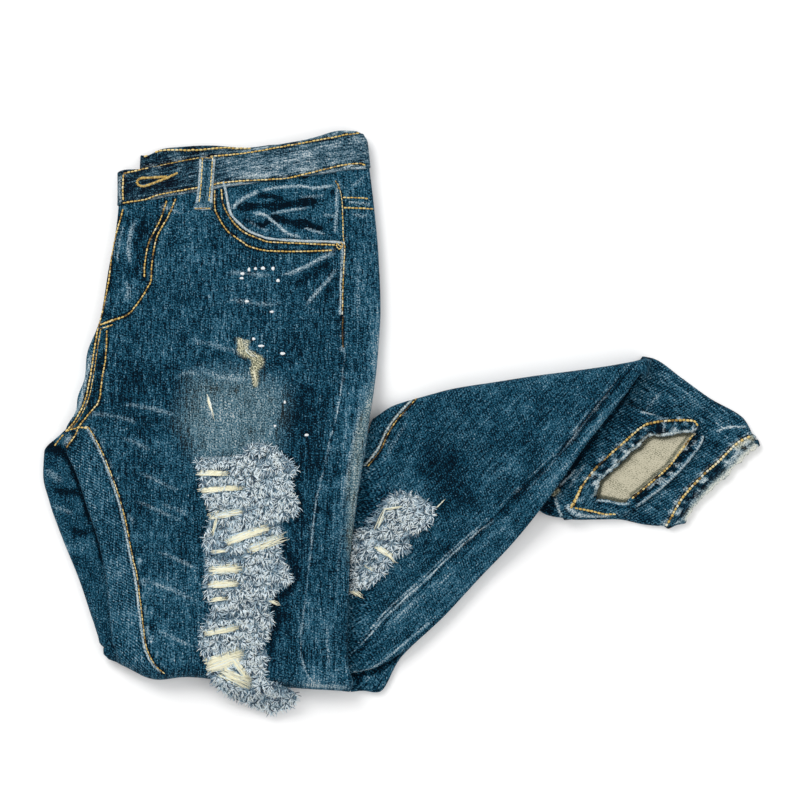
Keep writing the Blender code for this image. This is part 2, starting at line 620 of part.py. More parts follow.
def end_lattice(rows, inset):
    """The rings of a leg's end, with the first column repeated to close it."""
    rings = np.array([end_ring(row, inset) for row in rows])
    return np.concatenate([rings, rings[:, :1]], axis=1)


def add_leg_ends(collection):
    """The two hems: the right leg on the floor, the left leg on it, its mouth open."""
    round_count = 2 * (ARC + 1) + 2 * (END_COLUMNS - 1)
    top_start, top_end = ARC, ARC + END_COLUMNS
    outer, inner = end_lattice(RIGHT_END_ROWS, 0.0), end_lattice(RIGHT_END_ROWS, END_WALL)
    seam, edge = RIGHT_HEM_ROWS
    add_tube("right_leg_end", outer, inner, block((0, seam), (0, round_count)), DENIM, collection)
    add_tube("right_hem", outer, inner, block((seam, edge), (0, round_count)), DENIM_WORN, collection)

    outer, inner = end_lattice(LEFT_END_ROWS, 0.0), end_lattice(LEFT_END_ROWS, END_WALL)
    seam, edge = LEFT_HEM_ROWS
    last = len(LEFT_END_ROWS) - 1
    tray = [j for j in range(round_count) if not top_start - 1 <= j < top_end + 1]
    cells = block((0, seam), (0, round_count)) + [(i, j) for i in range(seam, last) for j in tray]
    add_tube("left_leg_end", outer, inner, cells, DENIM, collection)
    cells = block((seam, edge), (top_start - 1, top_end + 1))
    add_panel("left_hem", outer, inner, cells, DENIM_WORN, collection)


def add_tube(name, outer, inner, cells, finish, collection):
    """A cloth wall that closes on itself round a leg."""
    solid = add_panel(name, outer, inner, cells, finish, collection)
    shaped = bmesh.new()
    shaped.from_mesh(solid.data)
    bmesh.ops.remove_doubles(shaped, verts=shaped.verts, dist=WELD)
    shaped.to_mesh(solid.data)
    shaped.free()
    return solid


def surface_under(collection, names):
    """A function that gives the height of the named pieces at a place in plan."""
    bpy.context.view_layer.update()
    graph = bpy.context.evaluated_depsgraph_get()
    trees = []
    for name in names:
        trees.append(BVHTree.FromObject(collection.objects[name], graph))

    def height(x, y):
        """The height of the highest named piece below a point."""
        found = [tree.ray_cast(Vector((x, y, PROBE_HEIGHT)), Vector((0, 0, -1)))[0] for tree in trees]
        return max((hit.z for hit in found if hit is not None), default=0.0)

    return height


def add_laid_strip(name, plan, thickness, finish, collection):
    """A strip laid on the cloth. plan is rows of points of its underside."""
    lower = np.array(plan)
    upper = lower + np.array((0.0, 0.0, thickness))
    rows, columns = lower.shape[:2]
    return add_panel(name, upper, lower, block((0, rows - 1), (0, columns - 1)), finish, collection)


def add_trims(collection):
    """The belt loop and the two frayed patches, each laid on what is under it."""
    height = surface_under(collection, ("left_waistband", "left_front", "left_back"))
    plan = []
    for row in LOOP_ROWS:
        base = max(height(row.x + side * row.half, row.y) for side in (-1, 0, 1))
        z = base + TRIM_GAP + row.raise_by
        plan.append([(row.x + side * row.half, row.y, z) for side in (-1, 0, 1)])
    add_laid_strip("left_front_belt_loop", plan, LOOP, DENIM_WORN, collection)

    def patch(rows):
        """Rows of points just above the cloth, high enough for the facets between them."""
        plan = []
        around = [(i, j) for i in (-1, 0, 1) for j in (-1, 0, 1)]
        for above, below in zip(rows, rows[1:] + rows[-1:]):
            for k in range(FRINGE_SPLITS if below is not above else 1):
                share = k / FRINGE_SPLITS
                row = FringeRow(*(a + (b - a) * share for a, b in zip(above, below)))
                half_x = (row.right - row.left) / FRINGE_COLUMNS / 2
                half_y = abs(above.y - below.y) / FRINGE_SPLITS / 2
                points = []
                for x in np.linspace(row.left, row.right, FRINGE_COLUMNS + 1):
                    near = [height(x + i * half_x, row.y + j * half_y) for i, j in around]
                    points.append((x, row.y, max(near) + TRIM_GAP))
                plan.append(points)
        return plan

    plan = patch(LEFT_FRINGE)
    fold = THIGH_ROWS[-1]
    crease = Line(fold.upper_left, fold.upper_right, fold.bow)
    for row in LEFT_HANG:
        points = []
        for x in np.linspace(row.left, row.right, FRINGE_COLUMNS + 1):
            edge = crease.at((x - fold.upper_left[0]) / crease.along[0], KNEE_REACH + row.past)
            points.append((x, edge[1], row.z))
        plan.append(points)
    add_laid_strip("left_knee_fringe", plan, FRINGE, FRAYED, collection)
    height = surface_under(collection, ("right_front_shin", "right_back_shin"))
    add_laid_strip("right_knee_fringe", patch(RIGHT_FRINGE), FRINGE, FRAYED, collection)


def centre(things, collection):
    """Moves all the objects so that the origin lies on the floor under the middle of the jeans."""
    bpy.context.view_layer.update()
    graph = bpy.context.evaluated_depsgraph_get()
    corners = [corner for piece in collection.objects for corner in piece.evaluated_get(graph).bound_box]
    for axis in (0, 1):
        values = [corner[axis] for corner in corners]
        for thing in things:
            thing.location[axis] -= (min(values) + max(values)) / 2


def main():
    """Builds the jeans in an emptied scene."""
    for thing in list(bpy.data.objects):
        bpy.data.objects.remove(thing, do_unlink=True)
    jeans = bpy.data.collections.new("ripped_jeans")
    cutters = bpy.data.collections.new("cutters")
    for collection in (jeans, cutters):
        bpy.context.scene.collection.children.link(collection)
    add_thigh(jeans, cutters)
    add_shin(jeans)
    add_leg_ends(jeans)
    add_trims(jeans)
    centre(list(jeans.objects) + list(cutters.objects), jeans)


main()
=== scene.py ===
"""Ripped slim jeans, folded in half and doubled back twice, lying flat in a plain studio.

+X runs towards the hems, +Y towards the waist and +Z up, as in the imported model, and the floor is
z = 0. Plans of seams, creases and marks are in millimetres, and everything else is in metres.
"""

import logging
import math
from dataclasses import dataclass, field
from enum import Enum

import bpy
import numpy as np
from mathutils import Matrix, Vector
from mathutils.bvhtree import BVHTree

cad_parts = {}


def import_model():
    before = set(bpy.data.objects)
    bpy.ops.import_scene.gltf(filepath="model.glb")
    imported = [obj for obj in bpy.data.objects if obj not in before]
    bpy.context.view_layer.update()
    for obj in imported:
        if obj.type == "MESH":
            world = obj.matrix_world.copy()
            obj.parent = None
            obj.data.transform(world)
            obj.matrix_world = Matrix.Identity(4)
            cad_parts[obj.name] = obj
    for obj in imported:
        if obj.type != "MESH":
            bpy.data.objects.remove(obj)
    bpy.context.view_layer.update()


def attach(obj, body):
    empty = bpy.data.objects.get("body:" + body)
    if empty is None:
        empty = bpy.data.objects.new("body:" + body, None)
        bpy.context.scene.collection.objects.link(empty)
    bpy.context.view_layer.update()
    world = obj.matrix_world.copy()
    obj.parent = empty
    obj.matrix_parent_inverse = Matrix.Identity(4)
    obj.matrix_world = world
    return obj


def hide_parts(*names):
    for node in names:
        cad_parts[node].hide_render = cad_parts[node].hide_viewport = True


LOG = logging.getLogger("jeans")
MM = 0.001
Plan = tuple[float, float]
Path = tuple[Plan, ...]
ROOT = "root"

LEG = 0.0070            # one leg pressed flat
LAP_GAP = 0.0005        # between the edges of the two legs
SIDE_ROUND = 0.0055     # how far a folded edge rounds in
CROWN = 0.0012          # how far a stack swells at its middle
STEP_WIDTH = 0.26       # share of a row over which a buried edge rises
WEB = 0.0040            # how far the underside draws back below an overhanging edge
WEB_DRAW = 0.0008
ROOM_LEFT = 0.0006
ROOM_RIGHT = 0.0012
CLOSED = math.radians(32)   # by this turn of a closing fold the legs' edges have joined
STIFF_EDGE = 0.004      # how far in from a folded edge the cloth creases less
MARK_STEP = 0.003       # between the points of a mark's line
MARK_TAIL = 2.2         # how many half widths out a mark still shows
GROOVE_HALF = 0.0012    # half width of the groove along a row of stitches
GROOVE_SHADE = 8        # how dark a groove is for each millimetre of its depth
WAVES = 7               # crossing waves in a swell
SWELL_SHADE = 0.25      # how much painted light and shade a swell gets, paler on its rises and darker in its hollows
PROBE_HEIGHT = 0.1      # above everything
ARC = 8                 # facets in a half-round edge
UPPER_ARC = slice(0, ARC + 1)
LOWER_ARC = slice(ARC + 3, 2 * ARC + 4)
MODEL_SHIFT = np.array((0.0003, 0.0020))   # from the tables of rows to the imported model's origin


def eased(share: np.ndarray | float) -> np.ndarray | float:
    """0 to 1 with level ends."""
    share = np.clip(share, 0.0, 1.0)
    return share * share * (3 - 2 * share)


def follow(keys: np.ndarray, values: np.ndarray, at: np.ndarray) -> np.ndarray:
    """Follows the rows of a table with a smooth curve that never overshoots them.

    Args:
        keys: Where each row lies, rising.
        values: The rows, one for each key.
        at: Where to read the curve.

    Returns:
        One row of values for each place.
    """
    slope = np.diff(values, axis=0) / np.diff(keys)[:, None]
    both, total = slope[1:] * slope[:-1], slope[1:] + slope[:-1]
    tangent = np.zeros_like(values)
    tangent[1:-1] = np.where(both > 0, 2 * both / np.where(total == 0, 1, total), 0)
    tangent[0], tangent[-1] = slope[0], slope[-1]
    low = np.clip(np.searchsorted(keys, at, side="right") - 1, 0, len(keys) - 2)
    step = (keys[low + 1] - keys[low])[:, None]
    share = (at - keys[low])[:, None] / step
    back = 1 - share
    return ((1 + 2 * share) * back ** 2 * values[low] + share * back ** 2 * step * tangent[low]
            + share ** 2 * (3 - 2 * share) * values[low + 1] - share ** 2 * back * step * tangent[low + 1])


def flowing(path: Path | np.ndarray, spacing: float, scale: float = MM) -> np.ndarray:
    """A smooth line through the points of a path.

    Args:
        path: Points, in units of scale.
        spacing: Distance between the points of the result, in metres.
        scale: Metres in a unit of the path.

    Returns:
        Evenly spaced points, in metres.
    """
    points = np.array(path, float) * scale
    gaps = np.linalg.norm(np.diff(points, axis=0), axis=1)
    keys = np.concatenate([[0.0], np.cumsum(np.maximum(gaps, 1e-7))])
    ends = np.concatenate([[2 * points[0] - points[1]], points, [2 * points[-1] - points[-2]]])
    fine = []
    for k in range(len(points) - 1):
        share = np.linspace(0, 1, 9)[:-1, None]
        a, b, c, d = ends[k:k + 4]
        fine.append(0.5 * (2 * b + (c - a) * share + (2 * a - 5 * b + 4 * c - d) * share ** 2
                           + (3 * b - a - 3 * c + d) * share ** 3))
    fine = np.concatenate(fine + [points[-1:]])
    keys = np.concatenate([[0.0], np.cumsum(np.linalg.norm(np.diff(fine, axis=0), axis=1))])
    count = max(2, round(keys[-1] / spacing) + 1)
    return np.column_stack([np.interp(np.linspace(0, keys[-1], count), keys, fine[:, k])
                            for k in range(fine.shape[1])])


def shifted(path: Path, across: float, along: float = 0.0) -> Path:
    """A plan moved by millimetres."""
    return tuple((x + across, y + along) for x, y in path)


def beside(line: np.ndarray, distance: float | np.ndarray) -> np.ndarray:
    """The line moved to its left by a distance, in plan.

    Args:
        line: The points of the line.
        distance: How far to the left, in metres.

    Returns:
        The moved points.
    """
    ahead = np.gradient(line[:, :2], axis=0)
    ahead /= np.linalg.norm(ahead, axis=1, keepdims=True) + 1e-12
    moved = line.copy()
    distance = np.broadcast_to(np.asarray(distance, float).reshape(-1), len(line))
    moved[:, 0] -= ahead[:, 1] * distance
    moved[:, 1] += ahead[:, 0] * distance
    return moved


@dataclass(frozen=True)
class Row:
    """One row of a stack of two folded legs, one on the other, and its heights."""

    upper_left: Plan
    upper_right: Plan
    lower_left: Plan
    lower_right: Plan
    bow: float
    seam_a: float
    seam_b: float
    top_l: float
    top_r: float
    step: float
    base_l: float
    base_r: float
    low_l: float
    split_l: float
    split_r: float

    def numbers(self) -> np.ndarray:
        """The row as a vector.

        Returns:
            The vector.
        """
        plans = (*self.upper_left, *self.upper_right, *self.lower_left, *self.lower_right)
        return np.array([*plans, self.bow, self.seam_a, self.seam_b, self.top_l, self.top_r, self.step,
                         self.base_l, self.base_r, self.low_l, self.split_l, self.split_r])

    @staticmethod
    def of(numbers: np.ndarray) -> "Row":
        """The row that a vector stands for."""
        corners = [tuple(numbers[k:k + 2]) for k in (0, 2, 4, 6)]
        return Row(*corners, *numbers[8:])


@dataclass(frozen=True)
class Station:
    """A place along a stack: its distance, how far a closing fold has turned, and its depth."""

    along: float
    roll: float = 0.0
    inset: float = 0.0


@dataclass
class Patch:
    """A grid of points on the cloth, its place on the flat cloth, and how freely it creases."""

    points: np.ndarray
    cloth: np.ndarray
    free: np.ndarray


class Line:
    """A row in plan: a straight run with a shallow bow."""

    def __init__(self, start: Plan, end: Plan, bow: float) -> None:
        """Sets the run from its ends and its bow.

        Args:
            start: Its first point, in plan.
            end: Its last point, in plan.
            bow: How far its middle bows out.
        """
        self.start, self.end, self.bow = np.array(start), np.array(end), bow
        self.length = float(np.linalg.norm(self.end - self.start))
        self.along = (self.end - self.start) / self.length
        self.across = np.array((-self.along[1], self.along[0]))

    def at(self, distance: np.ndarray, shift: float = 0.0) -> np.ndarray:
        """Points in plan.

        Args:
            distance: Distances from the start.
            shift: How far the points lie past the row.

        Returns:
            A point for each distance.
        """
        distance = np.atleast_1d(distance)
        share = distance / self.length
        bulge = 4 * self.bow * share * (1 - share) - shift
        return self.start + distance[:, None] * self.along + bulge[:, None] * self.across


class Section:
    """The closed outline of two folded legs at one station."""

    def __init__(self, row: Row, roll: float, reach: float, inset: float) -> None:
        """Sets the outline, drawn in from the outer face by inset.

        Args:
            row: The stack's sizes here.
            roll: How far a closing fold has turned.
            reach: How far the fold reaches out.
            inset: How far the outline is drawn in.
        """
        self.row, self.inset = row, inset
        self.upper = Line(row.upper_left, row.upper_right, row.bow)
        self.lower = Line(row.lower_left, row.lower_right, row.bow)
        self.shift = (reach - inset) * math.sin(roll)
        self.flat = math.cos(roll)
        lap = (LEG - LAP_GAP) / 2
        self.round_l = lap * row.split_l + SIDE_ROUND * (1 - row.split_l)
        self.round_r = lap * row.split_r + SIDE_ROUND * (1 - row.split_r)
        self.seam_a = max(row.seam_a, self.round_l + ROOM_LEFT)
        self.seam_b = self.upper.length - max(row.seam_b, self.round_r + ROOM_RIGHT)

    def whole(self, distance: np.ndarray) -> np.ndarray:
        """The height of the stack's top, before a fold closes it, at distances along the row.

        Args:
            distance: Distances along the row.

        Returns:
            A height for each.
        """
        row, share = self.row, np.asarray(distance) / self.upper.length
        rise = eased((share - row.step) / STEP_WIDTH + 0.5)
        return row.top_l + (row.top_r - row.top_l) * rise + CROWN * np.sin(np.pi * np.clip(share, 0, 1))

    def over(self, distance: np.ndarray) -> np.ndarray:
        """Points of the top at distances along the row.

        Args:
            distance: Distances along the row.

        Returns:
            A point for each.
        """
        whole = self.whole(distance)
        height = whole / 2 + (whole / 2 - self.inset) * self.flat
        return np.column_stack([self.upper.at(distance, self.shift), np.maximum(height, 0)])

    def under(self, distance: np.ndarray) -> np.ndarray:
        """Points of the underside at distances along the row above them.

        Args:
            distance: Distances along the row.

        Returns:
            A point for each.
        """
        whole = self.whole(distance)
        height = whole / 2 + (max(self.inset, 0) - whole / 2) * self.flat
        plan = self.lower.at(np.asarray(distance) / self.upper.length * self.lower.length, self.shift)
        return np.column_stack([plan, np.maximum(height, 0)])

    def side(self, left: bool) -> np.ndarray:
        """The edge of both legs, from the top to the underside.

        Args:
            left: Which edge.

        Returns:
            Points of the upper leg's edge, two between the legs, and the lower leg's edge.
        """
        row = self.row
        split = row.split_l if left else row.split_r
        top, base = (row.top_l, row.base_l) if left else (row.top_r, row.base_r)
        low = row.low_l if left else top - LEG
        middle = top - LEG
        angles = np.linspace(math.pi / 2, -math.pi / 2, ARC + 1)
        over = self.lobe(middle + LAP_GAP, top, angles, self.upper, left)
        below = self.lobe(base, low, angles, self.lower, left)
        inwards = self.upper.along if left else -self.upper.along
        depth = max(0.0, float(np.dot(below[0, :2] - over[-1, :2], inwards))) + WEB_DRAW
        web = np.tile(over[-1], (2, 1))
        web[:, :2] += inwards * depth
        web[1, 2] = middle - self.inset
        parted = np.concatenate([over, web, below])
        count = len(parted)
        turn = math.pi / 2 - math.pi * np.arange(count) / (count - 1)
        half = (top - base) / 2
        along = SIDE_ROUND - (SIDE_ROUND - self.inset) * np.cos(turn)
        one = np.concatenate([self.edge(self.upper, along[:count // 2], left),
                              self.edge(self.lower, along[count // 2:], left)])
        height = base + half + (half - self.inset) * np.sin(turn) * self.flat
        folded = np.column_stack([one, height])
        mixed = parted * split + folded * (1 - split)
        mixed[:, 2] = np.maximum(mixed[:, 2], 0)
        return mixed

    def edge(self, line: Line, along: np.ndarray, left: bool) -> np.ndarray:
        """Points in plan at distances from one end of a row."""
        return line.at(along if left else line.length - along, self.shift)

    def lobe(self, low: float, top: float, angles: np.ndarray, line: Line, left: bool) -> np.ndarray:
        """The half-round edge of one leg between two heights.

        Args:
            low: The height of its foot.
            top: The height of its top.
            angles: Where on the half circle, from the top down.
            line: The row that it ends.
            left: The left end rather than the right.

        Returns:
            A point for each angle.
        """
        radius = (top - low) / 2
        out = max(radius - self.inset, 0.0)
        plan = self.edge(line, radius - out * np.cos(angles), left)
        return np.column_stack([plan, low + radius + out * np.sin(angles)])


class Zone(Enum):
    """The parts of a ring round a stack, in order."""

    LEFT_TOP = 1
    LEFT_STRIP = 2
    MIDDLE = 3
    RIGHT_STRIP = 4
    RIGHT_TOP = 5
    RIGHT_WEB = 6
    RIGHT_LOW = 7
    UNDER = 8
    LEFT_LOW = 9
    LEFT_WEB = 10


LEFT_ZONES = (Zone.LEFT_TOP, Zone.LEFT_WEB, Zone.LEFT_LOW)
SIDE_PARTS = {
    Zone.LEFT_TOP: UPPER_ARC, Zone.RIGHT_TOP: UPPER_ARC, Zone.LEFT_WEB: slice(ARC, ARC + 4),
    Zone.RIGHT_WEB: slice(ARC, ARC + 4), Zone.LEFT_LOW: LOWER_ARC, Zone.RIGHT_LOW: LOWER_ARC,
}


@dataclass
class Stack:
    """Two legs, one on the other, as a smooth run of rows."""

    rows: tuple[Row, ...]
    reach: float
    grain: Plan
    keys: np.ndarray = field(init=False)
    table: np.ndarray = field(init=False)

    def __post_init__(self) -> None:
        """Measures how far along each row lies."""
        self.table = np.array([row.numbers() for row in self.rows])
        self.table[:, 0:8:2] += MODEL_SHIFT[0]
        self.table[:, 1:8:2] += MODEL_SHIFT[1]
        middles = (self.table[:, 0:2] + self.table[:, 2:4]) / 2
        gaps = np.linalg.norm(np.diff(middles, axis=0), axis=1)
        self.keys = np.concatenate([[0.0], np.cumsum(gaps)])

    def stations(self, first: int, last: int, spacing: float, rolls: int = 0) -> list[Station]:
        """Stations between two rows, and round the closing fold.

        Args:
            first: The row to start from.
            last: The row to end on.
            spacing: Distance between stations.
            rolls: How many stations go round the fold after the last row.

        Returns:
            The stations in order.
        """
        places = []
        for start, end in zip(self.keys[first:last], self.keys[first + 1:last + 1]):
            places.append(np.linspace(start, end, max(1, math.ceil((end - start) / spacing)) + 1)[:-1])
        places.append(self.keys[last:last + 1])
        found = [Station(float(place)) for place in np.concatenate(places)]
        turns = np.linspace(0, math.pi / 2, rolls + 1)[1:]
        return found + [Station(float(self.keys[last]), float(turn)) for turn in turns]

    def section(self, station: Station) -> Section:
        """The outline of the legs at a station.

        Args:
            station: The station.

        Returns:
            The outline.
        """
        numbers = follow(self.keys, self.table, np.array([station.along]))[0]
        if station.roll:
            numbers[-2:] *= max(0.0, 1 - station.roll / CLOSED)
        return Section(Row.of(numbers), station.roll, self.reach, station.inset)

    def patch(self, zone: Zone, stations: list[Station], columns: int = 0) -> Patch:
        """A grid of cloth over one part of the ring.

        Args:
            zone: Which part.
            stations: The rows of the grid.
            columns: Columns in a strip, where the part is one.

        Returns:
            The patch.
        """
        points, cloth, free = [], [], []
        for station in stations:
            section = self.section(station)
            strip, across, creasing = self.strip(section, zone, columns)
            points.append(strip)
            cloth.append(self.on_cloth(section, across, station.roll))
            free.append(creasing * math.cos(station.roll) ** 2)
        return Patch(np.array(points), np.array(cloth), np.array(free))

    def on_cloth(self, section: Section, across: np.ndarray, roll: float) -> np.ndarray:
        """Places on the flat cloth, across and along its warp, for distances along a row.

        Args:
            section: The outline of the legs.
            across: Distances along the row.
            roll: How far a closing fold has turned.

        Returns:
            A place for each.
        """
        down = np.array(self.grain)
        right = np.array((-down[1], down[0]))
        line = section.upper
        start = np.array((np.dot(line.start, right), np.dot(line.start, down) + self.reach * roll))
        step = np.array((np.dot(line.along, right), np.dot(line.along, down)))
        return start + across[:, None] * step

    def strip(self, section: Section, zone: Zone,
              columns: int) -> tuple[np.ndarray, np.ndarray, np.ndarray]:
        """One row of a patch.

        Args:
            section: The outline at the row.
            zone: Which part of it.
            columns: Columns in a strip.

        Returns:
            The points, their distances along the row, and how freely each creases.
        """
        length = section.upper.length
        ends = {Zone.LEFT_STRIP: (section.round_l, section.seam_a),
                Zone.MIDDLE: (section.seam_a, section.seam_b),
                Zone.RIGHT_STRIP: (section.seam_b, length - section.round_r)}
        if zone in ends:
            across = np.linspace(*ends[zone], columns + 1)
            edge = np.minimum(across - section.round_l, length - section.round_r - across)
            return section.over(across), across, eased(edge / STIFF_EDGE)
        if zone is Zone.UNDER:
            return self.underside(section, columns)
        points = section.side(zone in LEFT_ZONES)[SIDE_PARTS[zone]]
        free = np.zeros(len(points))
        if zone is Zone.LEFT_WEB:
            points = np.concatenate([points[:2], np.linspace(points[-1], points[-2], columns + 1)[::-1]])
            free = np.concatenate([[0.0, 0.0], eased(np.linspace(0.9, 0.2, columns + 1))])
        along = np.concatenate([[0.0], np.cumsum(np.linalg.norm(np.diff(points, axis=0), axis=1))])
        if zone in LEFT_ZONES:
            start = section.round_l + (self.lower_edge(section) if zone is not Zone.LEFT_TOP else 0.0)
            return points[::-1], (start - along)[::-1], free[::-1]
        return points, length - section.round_r + along, free

    def lower_edge(self, section: Section) -> float:
        """How far round the edge the lower leg's own edge starts."""
        return -math.pi * section.round_l

    def underside(self, section: Section, columns: int) -> tuple[np.ndarray, np.ndarray, np.ndarray]:
        """The underside of a row, from its right edge to its left one, as strip gives it.

        Args:
            section: The outline of the legs.
            columns: How many columns it has.

        Returns:
            The points, their distances along the row, and how freely each creases.
        """
        low, high = section.round_l, section.upper.length - section.round_r
        if section.row.base_r > 0:
            high -= WEB
        if section.row.base_l > 0:
            low += min(WEB, (section.seam_b - section.seam_a) / 10)
        across = np.linspace(high, low, columns + 1)
        points = section.under(across)
        if section.row.base_r <= 0:
            points[0] = section.side(False)[-1]
        if section.row.base_l <= 0:
            points[-1] = section.side(True)[-1]
        return points, across, np.zeros(len(across))

    def loop(self, stations: list[Station], upper: bool, columns: int) -> Patch:
        """One leg's own closed outline, the last column on the first.

        Args:
            stations: The rows of the grid.
            upper: The upper leg rather than the lower.
            columns: Columns in its top and in its underside.

        Returns:
            The patch, its cloth running round the leg.
        """
        points, cloth, free = [], [], []
        for station in stations:
            section = self.section(station)
            part = UPPER_ARC if upper else LOWER_ARC
            left, right = section.side(True)[part], section.side(False)[part]
            across = np.linspace(section.round_l, section.upper.length - section.round_r, columns + 1)[1:-1]
            over, under = section.over(across), section.under(across[::-1])
            if upper:
                under = section.over(across[::-1])
                under[:, 2] = max(LEG + LAP_GAP + station.inset, LEG + LAP_GAP)
                over[:, 2] = np.maximum(over[:, 2], LEG + LAP_GAP)
            else:
                over[:, :2] = section.lower.at(across / section.upper.length * section.lower.length)
                over[:, 2] = min(LEG - station.inset, LEG)
            ring = np.concatenate([left[::-1], over, right, under, left[-1:]])
            along = np.concatenate([[0.0], np.cumsum(np.linalg.norm(np.diff(ring, axis=0), axis=1))])
            points.append(ring)
            cloth.append(np.column_stack([along, np.full(len(ring), station.along)]))
            level = np.zeros(len(ring))
            level[ARC + 1:ARC + 1 + len(over)] = 1.0
            free.append(level)
        return Patch(np.array(points), np.array(cloth), np.array(free))


class Tone(Enum):
    """What a mark does to the cloth's colour, by its channel of the attribute that holds fading, rubbing
    and stains as well as painted light and shade.
    """

    # PALE and WHITE hold fading and rubbing, and also painted light on the rises of swells and on ridges
    # and crests; DARK holds stains and darker dye, and also painted shade in creases, grooves and valleys
    # and under edges; BEIGE holds bare weft showing through.
    PALE = 0
    WHITE = 1
    DARK = 2
    BEIGE = 3


def close_by(plan: np.ndarray, line: np.ndarray, reach: float) -> np.ndarray:
    """Which points lie in the box round a line, widened by a reach."""
    return np.all((plan > line.min(axis=0) - reach) & (plan < line.max(axis=0) + reach), axis=1)


@dataclass(frozen=True)
class Mark:
    """A crease, a rubbed line, a stain, a line of painted shade or a painted highlight along a path, in
    millimetres.
    """

    path: Path
    half: float
    rise: float = 0.0
    tone: Tone = Tone.PALE
    depth: float = 0.0
    taper: float = 0.3
    broken: float = 0.0

    def press(self, plan: np.ndarray, relief: np.ndarray, wear_and_shade: np.ndarray) -> None:
        """Adds the mark to the relief and to the channels of fading, rubbing, stains and painted light and
        shade at points in plan.

        Args:
            plan: Points in plan.
            relief: Their heights, changed in place.
            wear_and_shade: Their fading, rubbing, stains and painted light and shade by channel, changed in
                place.
        """
        line = flowing(self.path, MARK_STEP)
        near = close_by(plan, line, self.half * MM * MARK_TAIL)
        if not near.any():
            return
        distance, share, _ = from_line(plan[near], line)
        level = np.exp(-(distance / (self.half * MM)) ** 2)
        if self.taper:
            level *= eased(share / self.taper) * eased((1 - share) / self.taper)
        if self.broken:
            rng = np.random.default_rng(int(abs(self.path[0][0] * 7 + self.path[0][1] * 3)))
            knots = np.linspace(0, 1, max(4, len(line) // 2))
            level *= 1 - np.interp(share, knots, rng.uniform(0, self.broken, len(knots)))
        relief[near] += level * self.rise * MM
        wear_and_shade[near, self.tone.value] += level * self.depth


@dataclass(frozen=True)
class Rucks:
    """Cloth drawn up unevenly along a seam: bumps across it, pale on their tops and darker between them,
    with painted shade in the seam's groove. Millimetres.
    """

    path: Path
    reach: float
    pitch: float
    rise: float
    depth: float
    seed: int
    groove: float = 0.0

    def press(self, plan: np.ndarray, relief: np.ndarray, wear_and_shade: np.ndarray) -> None:
        """Adds the rucks to the relief and to the channels of rubbing and painted shade at points in plan.

        Args:
            plan: Points in plan.
            relief: Their heights, changed in place.
            wear_and_shade: Their fading, rubbing, stains and painted light and shade by channel, changed in
                place.
        """
        line = flowing(self.path, MARK_STEP)
        near = close_by(plan, line, self.reach * MM * MARK_TAIL)
        if not near.any():
            return
        distance, share, side = from_line(plan[near], line)
        length = np.linalg.norm(np.diff(line, axis=0), axis=1).sum()
        count = max(3, int(length / (self.pitch * MM)))
        rng = np.random.default_rng(self.seed)
        knots = np.arange(count + 1)
        bumps = [rng.uniform(-1, 1, count + 1) for _ in (0, 1)]
        place = np.clip(share * count + side * distance / (self.pitch * MM) * 0.35, 0, count)
        low = np.minimum(place.astype(int), count - 1)
        blend = eased(place - knots[low])
        height = np.where(side > 0, bumps[0][low] * (1 - blend) + bumps[0][low + 1] * blend,
                          bumps[1][low] * (1 - blend) + bumps[1][low + 1] * blend)
        level = np.exp(-(distance / (self.reach * MM)) ** 2)
        seam = np.exp(-(distance / GROOVE_HALF) ** 2)
        relief[near] += level * height * self.rise * MM - seam * self.groove * MM
        wear_and_shade[near, Tone.WHITE.value] += level * np.maximum(height, 0) * self.depth
        # Darker between the bumps, and painted shade in the groove along the seam, deeper for a deeper
        # groove.
        dark = level * np.maximum(-height, 0) * self.depth
        wear_and_shade[near, Tone.DARK.value] += dark + seam * min(self.groove * GROOVE_SHADE, 1.0)


@dataclass(frozen=True)
class Area:
    """A faded or stained area, or an area of painted shade, inside an outline, soft by so many millimetres
    at its edge.
    """

    outline: Path
    soft: float
    tone: Tone
    depth: float
    rise: float = 0.0

    def press(self, plan: np.ndarray, relief: np.ndarray, wear_and_shade: np.ndarray) -> None:
        """Adds the area to the relief and to the channels of fading, stains and painted shade at points in
        plan.

        Args:
            plan: Points in plan.
            relief: Their heights, changed in place.
            wear_and_shade: Their fading, rubbing, stains and painted light and shade by channel, changed in
                place.
        """
        level = eased(0.5 + within(plan, np.array(self.outline) * MM) / (self.soft * MM))
        relief += level * self.rise * MM
        wear_and_shade[:, self.tone.value] += level * self.depth


@dataclass(frozen=True)
class Swell:
    """Slow unevenness of cloth that was smoothed by hand, as a few crossing waves, with painted light on
    its rises and painted shade in its hollows. Millimetres.
    """

    rise: float
    length: float
    seed: int

    def press(self, plan: np.ndarray, relief: np.ndarray, wear_and_shade: np.ndarray) -> None:
        """Adds the swell to the relief, and its painted light and shade to the channels, at points in plan.

        Args:
            plan: Points in plan.
            relief: Their heights, changed in place.
            wear_and_shade: Their fading, rubbing, stains and painted light and shade by channel, changed in
                place.
        """
        rng = np.random.default_rng(self.seed)
        total = np.zeros(len(plan))
        for _ in range(WAVES):
            turn = rng.uniform(0, math.pi)
            size = rng.uniform(0.6, 1.6)
            start = rng.uniform(0, 2 * math.pi)
            ahead = np.array((math.cos(turn), math.sin(turn))) * 2 * math.pi / (self.length * MM * size)
            total += np.sin(plan @ ahead + start) / WAVES
        relief += total * self.rise * MM
        wear_and_shade[:, Tone.PALE.value] += np.maximum(total, 0) * SWELL_SHADE
        wear_and_shade[:, Tone.DARK.value] += np.maximum(-total, 0) * SWELL_SHADE


